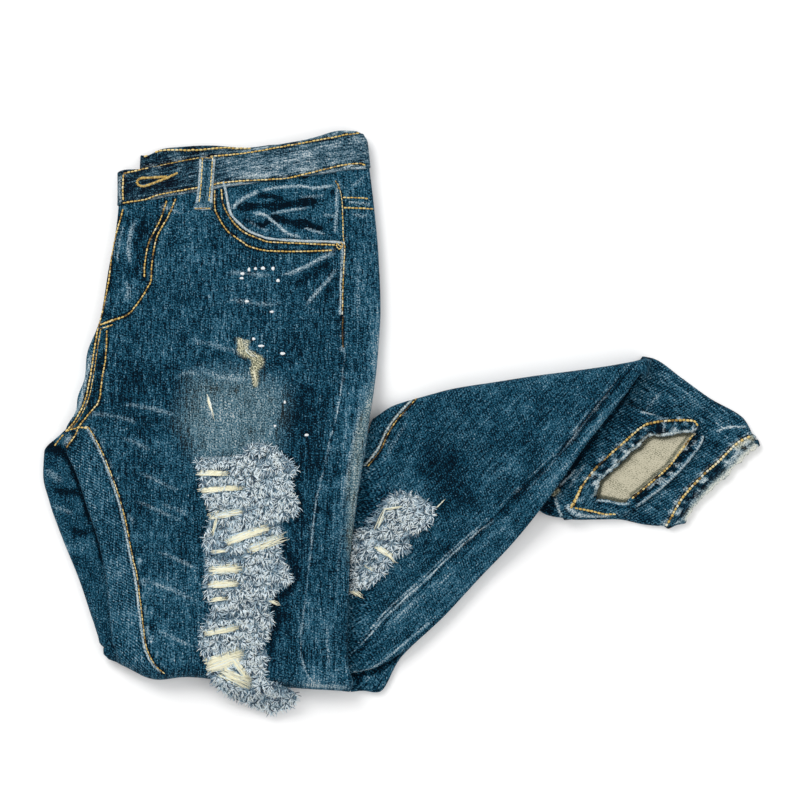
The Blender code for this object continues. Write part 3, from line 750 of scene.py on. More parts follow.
@dataclass(frozen=True)
class Pull:
    """Cloth drawn to one side about a place, less and less as far as its reach. Millimetres."""

    place: Plan
    by: Plan
    reach: Plan

    def move(self, plan: np.ndarray) -> np.ndarray:
        """Points in plan after the pull."""
        share = (plan - np.array(self.place) * MM) / (np.array(self.reach) * MM)
        return plan + np.exp(-(share ** 2).sum(axis=1))[:, None] * np.array(self.by) * MM


Touch = Mark | Rucks | Area | Swell | Pull
PULLS = (
    Pull((-258.8, 59.9), (-5.0, 0), (14, 18)), Pull((-278.5, 6), (8.0, 0), (11, 14)),
    Pull((-243, 158), (-2, 0), (14, 36)),
    Pull((-209, -209), (0, -8.2), (22, 24)), Pull((-250, -189.5), (-4.5, 0), (9, 6)),
    Pull((-247.5, -201), (4.0, 1.0), (7, 5)),
    Pull((-29.5, 246), (-2.5, -3.0), (6, 6)),
    Pull((-232.8, 211.9), (0, 2.5), (10, 8)), Pull((-56, 245.5), (0, 3.8), (16, 9)),
)


def from_line(plan: np.ndarray, line: np.ndarray) -> tuple[np.ndarray, np.ndarray, np.ndarray]:
    """Measures points against a line.

    Args:
        plan: Points in plan.
        line: The line's points in plan.

    Returns:
        Each point's distance, its share of the way along, and 1 or -1 for left or right of the line.
    """
    best = np.full(len(plan), np.inf)
    share, side = np.zeros(len(plan)), np.ones(len(plan))
    steps = np.diff(line, axis=0)
    lengths = np.linalg.norm(steps, axis=1) + 1e-12
    starts = np.concatenate([[0.0], np.cumsum(lengths)])
    for start, step, length, before in zip(line[:-1], steps, lengths, starts):
        offset = plan - start
        ahead = np.clip(offset @ step / length ** 2, 0, 1)
        gap = offset - ahead[:, None] * step
        distance = np.hypot(gap[:, 0], gap[:, 1])
        nearer = distance < best
        best[nearer] = distance[nearer]
        share[nearer] = (before + ahead[nearer] * length) / starts[-1]
        side[nearer] = np.sign(step[0] * gap[nearer, 1] - step[1] * gap[nearer, 0])
    return best, share, side


def within(plan: np.ndarray, outline: np.ndarray) -> np.ndarray:
    """How far inside a closed outline points lie, in metres, below zero outside it.

    Args:
        plan: Points in plan.
        outline: The outline's points in plan.

    Returns:
        A distance for each point.
    """
    closed = np.concatenate([outline, outline[:1]])
    distance, _, _ = from_line(plan, closed)
    crossings = np.zeros(len(plan), int)
    for (ax, ay), (bx, by) in zip(closed[:-1], closed[1:]):
        spans = (ay > plan[:, 1]) != (by > plan[:, 1])
        across = ax + (plan[:, 1] - ay) / ((by - ay) or 1e-12) * (bx - ax)
        crossings += spans & (plan[:, 0] < across)
    return np.where(crossings % 2 == 1, distance, -distance)


class Cloth:
    """One cut piece of cloth, put together from grids that share their borders."""

    def __init__(self, name: str, touches: tuple[Touch, ...] = ()) -> None:
        """Names the piece and sets its creases and marks.

        Args:
            name: Its name.
            touches: Its creases and marks.
        """
        self.name, self.touches = name, touches
        self.points, self.cloth, self.wear_and_shade = [], [], []
        self.faces: list[np.ndarray] = []
        self.count = 0

    def lay(self, patch: Patch, wear_and_shade: tuple[float, float, float, float] = (0, 0, 0, 0),
            keep: np.ndarray | None = None) -> None:
        """Adds a grid to the piece.

        Args:
            patch: The grid.
            wear_and_shade: Fading, rubbing and painted shade that it has all over, by channel.
            keep: Which of its cells to keep.
        """
        rows, columns = patch.points.shape[:2]
        points = patch.points.reshape(-1, 3).copy()
        for pull in PULLS + tuple(touch for touch in self.touches if isinstance(touch, Pull)):
            points[:, :2] = pull.move(points[:, :2])
        relief, worn_and_shaded = np.zeros(len(points)), np.tile(np.array(wear_and_shade, float), (len(points), 1))
        for touch in self.touches:
            if not isinstance(touch, Pull):
                touch.press(points[:, :2], relief, worn_and_shaded)
        points[:, 2] += relief * patch.free.reshape(-1)
        index = self.count + np.arange(rows * columns).reshape(rows, columns)
        quads = np.stack([index[:-1, :-1], index[1:, :-1], index[1:, 1:], index[:-1, 1:]], axis=-1)
        self.faces.append(quads[keep] if keep is not None else quads.reshape(-1, 4))
        self.points.append(points)
        self.cloth.append(patch.cloth.reshape(-1, 2))
        self.wear_and_shade.append(worn_and_shaded)
        self.count += len(points)

    def make(self, material: bpy.types.Material) -> bpy.types.Object:
        """The finished piece as an object.

        Args:
            material: Its finish.

        Returns:
            The piece.
        """
        points, cloth = np.concatenate(self.points), np.concatenate(self.cloth)
        faces = np.concatenate(self.faces)
        _, first, same = np.unique(np.round(points, 5), axis=0, return_index=True, return_inverse=True)
        same = same.reshape(-1)
        joined = same[faces]
        corners, places = [], []
        for face, source in zip(joined.tolist(), faces.tolist()):
            kept = [k for k in range(4) if face[k] != face[k - 1]]
            if len(kept) > 2 and len({face[k] for k in kept}) == len(kept):
                corners.append([face[k] for k in kept])
                places += [source[k] for k in kept]
        mesh = bpy.data.meshes.new(self.name)
        mesh.from_pydata(points[first].tolist(), [], corners)
        layer = mesh.uv_layers.new(name="cloth")
        layer.data.foreach_set("uv", cloth[places].astype(np.float32).ravel())
        # Fading, rubbing, stains and painted light and shade, by channel, kept as a colour attribute.
        worn_and_shaded = np.clip(np.concatenate(self.wear_and_shade)[first], 0, 1).astype(np.float32)
        mesh.attributes.new("wear_and_shade", "FLOAT_COLOR", "POINT").data.foreach_set("color", worn_and_shaded.ravel())
        return finished(mesh, material)

    def flat_size(self) -> tuple[tuple[float, float], float]:
        """The cut's width and length, and its area, from its places on the flat cloth.

        Returns:
            The width and length, and the area.
        """
        cloth = np.concatenate(self.cloth)
        corners = cloth[np.concatenate(self.faces)]
        across, along = corners[:, 2] - corners[:, 0], corners[:, 3] - corners[:, 1]
        area = float(np.abs(across[:, 0] * along[:, 1] - across[:, 1] * along[:, 0]).sum() / 2)
        used = corners.reshape(-1, 2)
        _, axes = np.linalg.eigh(np.cov(used.T))
        width, length = np.ptp(used @ axes, axis=0)
        return (float(min(width, 2 * area / length)), float(length)), area


def finished(mesh: bpy.types.Mesh, material: bpy.types.Material) -> bpy.types.Object:
    """An object in the scene from a mesh, smooth and in its finish.

    Args:
        mesh: The mesh.
        material: Its finish.

    Returns:
        The piece.
    """
    mesh.validate()
    mesh.shade_smooth()
    mesh.materials.append(material)
    thing = bpy.data.objects.new(mesh.name, mesh)
    bpy.context.scene.collection.objects.link(thing)
    return thing


def stand_for(piece: bpy.types.Object, slot: str, *nodes: str) -> bpy.types.Object:
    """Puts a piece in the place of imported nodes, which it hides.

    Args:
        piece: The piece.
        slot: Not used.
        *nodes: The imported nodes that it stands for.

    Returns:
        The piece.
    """
    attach(piece, ROOT)
    if nodes:
        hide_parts(*nodes)
    LOG.info("%s: %d faces", piece.name, len(piece.data.polygons))
    return piece


def declare(cloth: Cloth) -> None:
    """Measures the width, length and area of a piece's cut; the result is not used."""
    flat, area = cloth.flat_size()


class Ground:
    """The upper surface of some pieces, for laying stitches and threads on."""

    def __init__(self, things: list[bpy.types.Object]) -> None:
        """Gathers the surfaces of the pieces.

        Args:
            things: The pieces.
        """
        self.trees = []
        for thing in things:
            corners = [vertex.co for vertex in thing.data.vertices]
            faces = [tuple(polygon.vertices) for polygon in thing.data.polygons]
            self.trees.append(BVHTree.FromPolygons(corners, faces))

    def height(self, x: float, y: float) -> float:
        """The height of the highest surface under a place."""
        hits = [tree.ray_cast(Vector((x, y, PROBE_HEIGHT)), Vector((0, 0, -1)))[0] for tree in self.trees]
        return max((hit.z for hit in hits if hit is not None), default=0.0)

    def heights(self, plan: np.ndarray) -> np.ndarray:
        """The heights under points in plan."""
        return np.array([self.height(x, y) for x, y in plan])


Colour = tuple[float, float, float, float]
STUDIO_GAIN = 1.25      # how much brighter than their own colours the studio shows things


def dyed(red: float, green: float, blue: float) -> Colour:
    """A shader colour that looks like an everyday 0 to 255 colour under the studio's light.

    Args:
        red: Its red, 0 to 255.
        green: Its green, 0 to 255.
        blue: Its blue, 0 to 255.

    Returns:
        The colour.
    """
    parts = [value / 255 for value in (red, green, blue)]
    linear = [part / 12.92 if part <= 0.04045 else ((part + 0.055) / 1.055) ** 2.4 for part in parts]
    return (linear[0] / STUDIO_GAIN, linear[1] / STUDIO_GAIN, linear[2] / STUDIO_GAIN, 1.0)


class Nodes:
    """A material's node tree, with short ways to add the nodes that cloth needs."""

    def __init__(self, name: str, roughness: float, sheen: float = 0.0) -> None:
        """Starts a material with one shader.

        Args:
            name: Its name.
            roughness: How rough its surface is.
            sheen: How much sheen it has.
        """
        self.material = bpy.data.materials.new(name)
        self.material.use_nodes = True
        self.tree = self.material.node_tree
        self.shader = self.tree.nodes["Principled BSDF"]
        self.shader.inputs["Roughness"].default_value = roughness
        self.shader.inputs["Specular IOR Level"].default_value = 0.05
        self.shader.inputs["Sheen Weight"].default_value = sheen
        self.shader.inputs["Sheen Roughness"].default_value = 0.5

    def join(self, source: object, socket: bpy.types.NodeSocket) -> None:
        """Links an output to an input, or sets the input to a number.

        Args:
            source: An output or a number.
            socket: The input.
        """
        if isinstance(source, bpy.types.NodeSocket):
            self.tree.links.new(source, socket)
        else:
            socket.default_value = source

    def math(self, kind: str, first: object, second: object = 0.0) -> bpy.types.NodeSocket:
        """A sum, product or other sum of two values.

        Args:
            kind: The kind of sum.
            first: The first value.
            second: The second value.

        Returns:
            The result.
        """
        node = self.tree.nodes.new("ShaderNodeMath")
        node.operation = kind
        self.join(first, node.inputs[0])
        self.join(second, node.inputs[1])
        return node.outputs[0]

    def cloth(self) -> bpy.types.NodeSocket:
        """The place on the flat cloth, in metres.

        Returns:
            The coordinates.
        """
        node = self.tree.nodes.new("ShaderNodeUVMap")
        node.uv_map = "cloth"
        return node.outputs["UV"]

    def place(self) -> bpy.types.NodeSocket:
        """The place in the object, in metres."""
        return self.tree.nodes.new("ShaderNodeTexCoord").outputs["Object"]

    def noise(self, where: bpy.types.NodeSocket, size: tuple[float, float, float], detail: float = 2.0,
              turn: float = 0.0) -> bpy.types.NodeSocket:
        """Soft noise.

        Args:
            where: The coordinates that it reads.
            size: How large its grains are along each axis, in metres.
            detail: How many finer layers it has.
            turn: How far it is turned, in degrees.

        Returns:
            Its value, about 0.5.
        """
        mapping = self.tree.nodes.new("ShaderNodeMapping")
        mapping.inputs["Rotation"].default_value = (0, 0, math.radians(turn))
        mapping.inputs["Scale"].default_value = tuple(1 / part for part in size)
        mapping.vector_type = "POINT"
        self.join(where, mapping.inputs["Vector"])
        node = self.tree.nodes.new("ShaderNodeTexNoise")
        node.inputs["Scale"].default_value = 1.0
        node.inputs["Detail"].default_value = detail
        node.inputs["Roughness"].default_value = 0.6
        self.join(mapping.outputs["Vector"], node.inputs["Vector"])
        return node.outputs["Fac"]

    def spread(self, value: bpy.types.NodeSocket, gain: float) -> bpy.types.NodeSocket:
        """A noise value about 0, so many times as strong."""
        return self.math("MULTIPLY", self.math("SUBTRACT", value, 0.5), gain)

    def held(self, value: bpy.types.NodeSocket, low: float = 0.0,
             high: float = 1.0) -> bpy.types.NodeSocket:
        """A value kept between two limits."""
        return self.math("MINIMUM", self.math("MAXIMUM", value, low), high)

    def twill(self, where: bpy.types.NodeSocket, pitch: float) -> bpy.types.NodeSocket:
        """The diagonal lines of a twill weave, so far apart.

        Args:
            where: The coordinates that it reads.
            pitch: From line to line, in metres.

        Returns:
            The weave's value.
        """
        mapping = self.tree.nodes.new("ShaderNodeMapping")
        mapping.inputs["Rotation"].default_value = (0, 0, math.radians(62))
        self.join(where, mapping.inputs["Vector"])
        node = self.tree.nodes.new("ShaderNodeTexWave")
        node.inputs["Scale"].default_value = 2 * math.pi / 20 / pitch
        node.inputs["Distortion"].default_value = 1.2
        node.inputs["Detail"].default_value = 1.0
        node.inputs["Detail Scale"].default_value = 1.5
        self.join(mapping.outputs["Vector"], node.inputs["Vector"])
        return node.outputs["Fac"]

    def wear_and_shade(self, name: str) -> dict[str, bpy.types.NodeSocket]:
        """The channels of a colour attribute, by name.

        Args:
            name: The attribute's name.

        Returns:
            An output for each channel.
        """
        node = self.tree.nodes.new("ShaderNodeAttribute")
        node.attribute_name = name
        parts = self.tree.nodes.new("ShaderNodeSeparateColor")
        self.join(node.outputs["Color"], parts.inputs[0])
        return {"PALE": parts.outputs[0], "WHITE": parts.outputs[1], "DARK": parts.outputs[2],
                "BEIGE": node.outputs["Alpha"]}

    def ramp(self, value: bpy.types.NodeSocket,
             stops: tuple[tuple[float, Colour], ...]) -> bpy.types.NodeSocket:
        """A colour for a value, from a row of colours.

        Args:
            value: The value.
            stops: Places from 0 to 1, each with its colour.

        Returns:
            The colour.
        """
        node = self.tree.nodes.new("ShaderNodeValToRGB")
        band = node.color_ramp
        while len(band.elements) < len(stops):
            band.elements.new(0.5)
        for element, (place, colour) in zip(band.elements, stops):
            element.position, element.color = place, colour
        self.join(value, node.inputs[0])
        return node.outputs[0]

    def mix(self, share: object, first: object, second: object) -> bpy.types.NodeSocket:
        """A mix of two colours.

        Args:
            share: The second's share.
            first: The first colour.
            second: The second colour.

        Returns:
            The colour.
        """
        node = self.tree.nodes.new("ShaderNodeMix")
        node.data_type = "RGBA"
        self.join(share, node.inputs[0])
        self.join(first, node.inputs[6])
        self.join(second, node.inputs[7])
        return node.outputs[2]

    def bump(self, height: bpy.types.NodeSocket, depth: float) -> None:
        """Raises the surface by a height map, so many metres deep.

        Args:
            height: The height map.
            depth: How deep it is, in metres.
        """
        node = self.tree.nodes.new("ShaderNodeBump")
        node.inputs["Strength"].default_value = 1.0
        node.inputs["Distance"].default_value = depth
        self.join(height, node.inputs["Height"])
        self.join(node.outputs[0], self.shader.inputs["Normal"])


@dataclass(frozen=True)
class Denim:
    """Indigo twill, streaked along its warp, faded and rubbed, and given painted light and shade, by its
    colour attribute.
    """

    name: str
    tone: float = 0.25
    streaks: float = 1.0
    blotches: float = 1.0
    weave: float = 0.10
    pitch: float = 0.0021
    across: bool = False
    grey: float = 0.0

    def colours(self) -> tuple[tuple[float, Colour], ...]:
        """From unfaded indigo to threads worn white.

        Returns:
            Places from 0 to 1, each with its colour.
        """
        red, blue = 22 * self.grey, -8 * self.grey
        return ((0.00, dyed(0.3 * red, 14, 26)), (0.12, dyed(0.7 * red, 35, 53)),
                (0.25, dyed(12 + red, 65, 87 + blue)), (0.42, dyed(46 + red, 97, 120 + blue)),
                (0.60, dyed(90 + red, 130, 150 + blue)), (0.80, dyed(148, 168, 178)),
                (1.00, dyed(206, 213, 214)))

    def material(self) -> bpy.types.Material:
        """The finish as a material.

        Returns:
            The material.
        """
        nodes = Nodes(self.name, 0.9, sheen=0.02)
        cloth, place = nodes.cloth(), nodes.place()
        long, thin = (0.011, 0.0012), (0.0012, 0.011)
        warp = long if self.across else thin
        streak = nodes.noise(cloth, (*warp, 1.0), 2.0)
        slub = nodes.noise(cloth, (warp[0] * 2.2, warp[1] * 4, 1.0), 1.0)
        weft = nodes.noise(cloth, (warp[1] * 0.9, warp[0] * 0.9, 1.0), 1.0)
        speck = nodes.noise(cloth, (0.0011, 0.0013, 1.0), 1.0)
        spark = nodes.noise(cloth, (0.0008, 0.0009, 1.0), 0.0)
        blotch = nodes.noise(place, (0.020, 0.024, 0.020), 3.0)
        weave = nodes.twill(cloth, self.pitch)
        wear_and_shade = nodes.wear_and_shade("wear_and_shade")
        total: object = self.tone
        mottle = nodes.noise(cloth, (0.0034, 0.0044, 1.0), 1.0)
        gains = ((streak, 1.10 * self.streaks), (slub, 0.40 * self.streaks), (weft, 0.34 * self.streaks),
                 (speck, 1.45), (mottle, 0.40 * self.streaks), (blotch, 0.42 * self.blotches),
                 (weave, self.weave))
        for part, gain in gains:
            total = nodes.math("ADD", total, nodes.spread(part, gain))
        # The pale and white channels add fading, rubbing and painted light; the dark channel takes off for
        # stains and painted shade.
        total = nodes.math("ADD", total, nodes.math("MULTIPLY", wear_and_shade["PALE"], 0.40))
        total = nodes.math("ADD", total, nodes.math("MULTIPLY", wear_and_shade["WHITE"], 0.50))
        glint = nodes.held(nodes.math("MULTIPLY", nodes.math("SUBTRACT", spark, 0.56), 4.0))
        total = nodes.math("ADD", total, nodes.math("MULTIPLY", glint, 0.26))
        total = nodes.math("SUBTRACT", total, nodes.math("MULTIPLY", wear_and_shade["DARK"], 0.36))
        colour = nodes.ramp(total, self.colours())
        grain = nodes.math("ADD", nodes.spread(speck, 3.6), nodes.spread(streak, 1.6))
        # Rubbed white, which also takes in the painted highlights on crests and ridges.
        rubbed = nodes.math("MULTIPLY", wear_and_shade["WHITE"],
                            nodes.held(nodes.math("ADD", grain, 0.62), 0.05, 1.3))
        rubbed = nodes.held(nodes.math("SUBTRACT", rubbed, 0.10), 0.0, 0.92)
        colour = nodes.mix(rubbed, colour, dyed(206, 218, 220))
        beige = nodes.ramp(speck, (
            (0.32, dyed(74, 84, 72)), (0.50, dyed(154, 153, 122)), (0.68, dyed(238, 234, 202))))
        beige = nodes.mix(nodes.held(wear_and_shade["WHITE"]), beige, dyed(232, 230, 214))
        gate = nodes.math("ADD", nodes.math("MULTIPLY", grain, 0.55), 0.85)
        frayed = nodes.math("MULTIPLY", wear_and_shade["BEIGE"], nodes.held(gate, 0.0, 1.3))
        colour = nodes.mix(nodes.held(frayed), colour, beige)
        nodes.join(colour, nodes.shader.inputs["Base Color"])
        height = nodes.math("ADD", nodes.math("MULTIPLY", streak, 0.4), nodes.math("MULTIPLY", speck, 0.9))
        height = nodes.math("ADD", height, nodes.math("MULTIPLY", weave, 0.3))
        nodes.bump(height, 0.00045)
        return nodes.material


@dataclass(frozen=True)
class Threads:
    """Yarn coloured by its tone attribute, from the first colour to the last."""

    name: str
    colours: tuple[tuple[float, Colour], ...]
    roughness: float = 0.8

    def material(self) -> bpy.types.Material:
        """The finish as a material.

        Returns:
            The material.
        """
        nodes = Nodes(self.name, self.roughness, sheen=0.1)
        tone = nodes.wear_and_shade("tone")["PALE"]
        fuzz = nodes.noise(nodes.place(), (0.0006, 0.0006, 0.0006), 2.0)
        value = nodes.math("ADD", tone, nodes.math("MULTIPLY", nodes.math("SUBTRACT", fuzz, 0.5), 0.16))
        nodes.join(nodes.ramp(value, self.colours), nodes.shader.inputs["Base Color"])
        nodes.bump(fuzz, 0.0001)
        return nodes.material


@dataclass(frozen=True)
class Lining:
    """The undyed wrong side of the twill, beige with darker weft showing."""

    name: str

    def material(self) -> bpy.types.Material:
        """The finish as a material.

        Returns:
            The material.
        """
        nodes = Nodes(self.name, 0.9, sheen=0.08)
        cloth = nodes.cloth()
        speck, weave = nodes.noise(cloth, (0.0010, 0.0012, 1.0), 3.0), nodes.twill(cloth, 0.0014)
        cloudy = nodes.noise(nodes.place(), (0.014, 0.010, 0.010), 2.0)
        # The dark channel is painted shade from the edges that overhang the lining.
        dark = nodes.wear_and_shade("wear_and_shade")["DARK"]
        value = nodes.math("ADD", nodes.math("MULTIPLY", speck, 1.5), nodes.math("MULTIPLY", weave, 0.20))
        value = nodes.math("ADD", value, nodes.math("MULTIPLY", cloudy, 0.35))
        value = nodes.math("SUBTRACT", value, nodes.math("MULTIPLY", dark, 0.6))
        colour = nodes.ramp(value, (
            (0.20, dyed(44, 50, 46)), (0.62, dyed(112, 114, 98)), (0.92, dyed(164, 160, 136)),
            (1.20 / 1.3, dyed(206, 200, 176))))
        nodes.join(colour, nodes.shader.inputs["Base Color"])
        nodes.bump(value, 0.0003)
        return nodes.material


@dataclass(frozen=True)
class Paint:
    """Dried white paint."""

    name: str

    def material(self) -> bpy.types.Material:
        """The finish as a material.

        Returns:
            The material.
        """
        nodes = Nodes(self.name, 0.5)
        cloudy = nodes.noise(nodes.place(), (0.0008, 0.0008, 0.0008), 2.0)
        colour = nodes.ramp(cloudy, ((0.3, dyed(214, 222, 224)), (0.6, dyed(248, 250, 250))))
        nodes.join(colour, nodes.shader.inputs["Base Color"])
        nodes.bump(cloudy, 0.0001)
        return nodes.material


@dataclass(frozen=True)
class Course:
    """A row of topstitching along a path. Lengths in metres, tones from 0, dark, to 1, pale."""

    path: Path | np.ndarray
    tone: float = 0.5
    spread: float = 0.16
    pitch: float = 0.0031
    thick: float = 0.00064
    start: float = 0.0
    end: float = 1.0
    lift: float = 0.0


class Topstitching:
    """Stitches laid on the cloth, each a plump bead of thread that dips in at both ends."""

    def __init__(self, name: str, seed: int) -> None:
        """Names the stitching and seeds its unevenness.

        Args:
            name: Its name.
            seed: Seeds the unevenness.
        """
        self.name = name
        self.rng = np.random.default_rng(seed)
        self.points, self.faces, self.tones = [], [], []
        self.count = 0

    def bead(self) -> tuple[np.ndarray, np.ndarray]:
        """One stitch: unit length along x, unit radius, and its faces.

        Returns:
            Its points and its faces.
        """
        rings = ((-0.47, 0.66), (-0.30, 1.0), (0.30, 1.0), (0.47, 0.66))
        turns = np.arange(5) * 2 * math.pi / 5 + math.pi / 2
        points = [(-0.52, 0.0, -0.5)]
        for along, radius in rings:
            points += [(along, radius * math.cos(turn), radius * math.sin(turn)) for turn in turns]
        points.append((0.52, 0.0, -0.5))
        faces = [(0, 1 + (k + 1) % 5, 1 + k) for k in range(5)]
        for ring in range(3):
            for k in range(5):
                a, b = 1 + ring * 5 + k, 1 + ring * 5 + (k + 1) % 5
                faces += [(a, b, b + 5), (a, b + 5, a + 5)]
        faces += [(16 + k, 16 + (k + 1) % 5, 21) for k in range(5)]
        return np.array(points), np.array(faces)

    def sew(self, course: Course, ground: Ground) -> None:
        """Lays a course of stitches on the ground.

        Args:
            course: The course.
            ground: What it is laid on.
        """
        scale = 1.0 if isinstance(course.path, np.ndarray) else MM
        line = flowing(course.path, course.pitch / 4, scale)[:, :2]
        low, high = int(course.start * (len(line) - 1)), int(course.end * (len(line) - 1))
        line = line[low:high + 1]
        if len(line) < 5:
            return
        heights = ground.heights(line)
        form, faces = self.bead()
        for k in range(0, len(line) - 4, 4):
            start = np.array((*line[k], heights[k]))
            end = np.array((*line[k + 4], heights[k + 4]))
            ahead = end - start
            length = float(np.linalg.norm(ahead))
            if length < 1e-5 or abs(ahead[2]) > 0.8 * length:
                continue
            ahead /= length
            side = np.array((-ahead[1], ahead[0], 0.0))
            side /= np.linalg.norm(side)
            up = np.cross(ahead, side)
            thick = course.thick * self.rng.uniform(0.85, 1.15)
            middle = np.array((*line[k + 2], max(heights[k + 2], (heights[k] + heights[k + 4]) / 2)))
            middle = middle + up * (thick * 0.35 + course.lift) + side * self.rng.normal(0, 0.00008)
            size = (length * 0.86, thick, thick)
            self.add(middle + form[:, :1] * size[0] * ahead + form[:, 1:2] * size[1] * side
                     + form[:, 2:] * size[2] * up, faces, course.tone + self.rng.normal(0, course.spread))

    def add(self, points: np.ndarray, faces: np.ndarray, tone: float) -> None:
        """Adds one stitch.

        Args:
            points: Points, in metres.
            faces: Faces, as point numbers.
            tone: Its tone.
        """
        self.points.append(points)
        self.faces.append(faces + self.count)
        self.tones.append(np.full(len(points), tone))
        self.count += len(points)

    def make(self, finish: Threads) -> bpy.types.Object:
        """All the stitches as one object."""
        return toned_mesh(self.name, np.concatenate(self.points), np.concatenate(self.faces),
                          np.concatenate(self.tones), finish.material())


def toned_mesh(name: str, points: np.ndarray, faces: np.ndarray, tones: np.ndarray,
               material: bpy.types.Material) -> bpy.types.Object:
    """An object from points and faces, its tone attribute one value for each point.

    Args:
        name: Its name.
        points: Points, in metres.
        faces: Faces, as point numbers.
        tones: Each point's tone.
        material: Its finish.

    Returns:
        The piece.
    """
    mesh = bpy.data.meshes.new(name)
    mesh.from_pydata(points.tolist(), [], faces.tolist())
    colour = np.zeros((len(points), 4), np.float32)
    colour[:, 0] = np.clip(tones, 0, 1)
    mesh.attributes.new("tone", "FLOAT_COLOR", "POINT").data.foreach_set("color", colour.ravel())
    return finished(mesh, material)


@dataclass
class Strands:
    """Loose threads, each a thin three-sided strand along a curved line."""

    name: str
    points: list[np.ndarray] = field(default_factory=list)
    faces: list[np.ndarray] = field(default_factory=list)
    tones: list[np.ndarray] = field(default_factory=list)
    count: int = 0

    def add(self, lines: np.ndarray, thick: np.ndarray, tones: np.ndarray, root: float = 1.0) -> None:
        """Adds strands.

        Args:
            lines: The points of each strand, as strands by points by coordinates.
            thick: Each strand's radius.
            tones: Each strand's tone at its tip.
            root: The share of its tone that a strand has at its root, a painted shade that darkens it
                towards the root.
        """
        number, length = lines.shape[:2]
        ahead = np.gradient(lines, axis=1)
        ahead /= np.linalg.norm(ahead, axis=2, keepdims=True) + 1e-12
        side = np.cross(ahead, np.array((0.12, 0.05, 1.0)))
        side /= np.linalg.norm(side, axis=2, keepdims=True) + 1e-12
        up = np.cross(side, ahead)
        thin = 1 - 0.65 * np.linspace(0, 1, length) ** 2
        radius = thick[:, None, None] * thin[None, :, None]
        rings = [lines + radius * (math.cos(turn) * side + math.sin(turn) * up)
                 for turn in (math.pi / 2, math.pi * 7 / 6, math.pi * 11 / 6)]
        points = np.stack(rings, axis=2).reshape(-1, 3)
        base = self.count + np.arange(number)[:, None] * length * 3
        faces = []
        for k in range(length - 1):
            for c in range(3):
                a, b = k * 3 + c, k * 3 + (c + 1) % 3
                faces += [(a, a + 3, b + 3), (a, b + 3, b)]
        faces += [(0, 1, 2), (3 * length - 3, 3 * length - 1, 3 * length - 2)]
        self.faces.append((base[:, None] + np.array(faces)[None]).reshape(-1, 3))
        self.points.append(points)
        shade = root + (1 - root) * np.linspace(0, 1, length)
        self.tones.append(np.repeat((tones[:, None] * shade).ravel(), 3))
        self.count += len(points)

    def make(self, material: bpy.types.Material) -> bpy.types.Object:
        """All the strands as one object."""
        return toned_mesh(self.name, np.concatenate(self.points), np.concatenate(self.faces),
                          np.concatenate(self.tones), material)


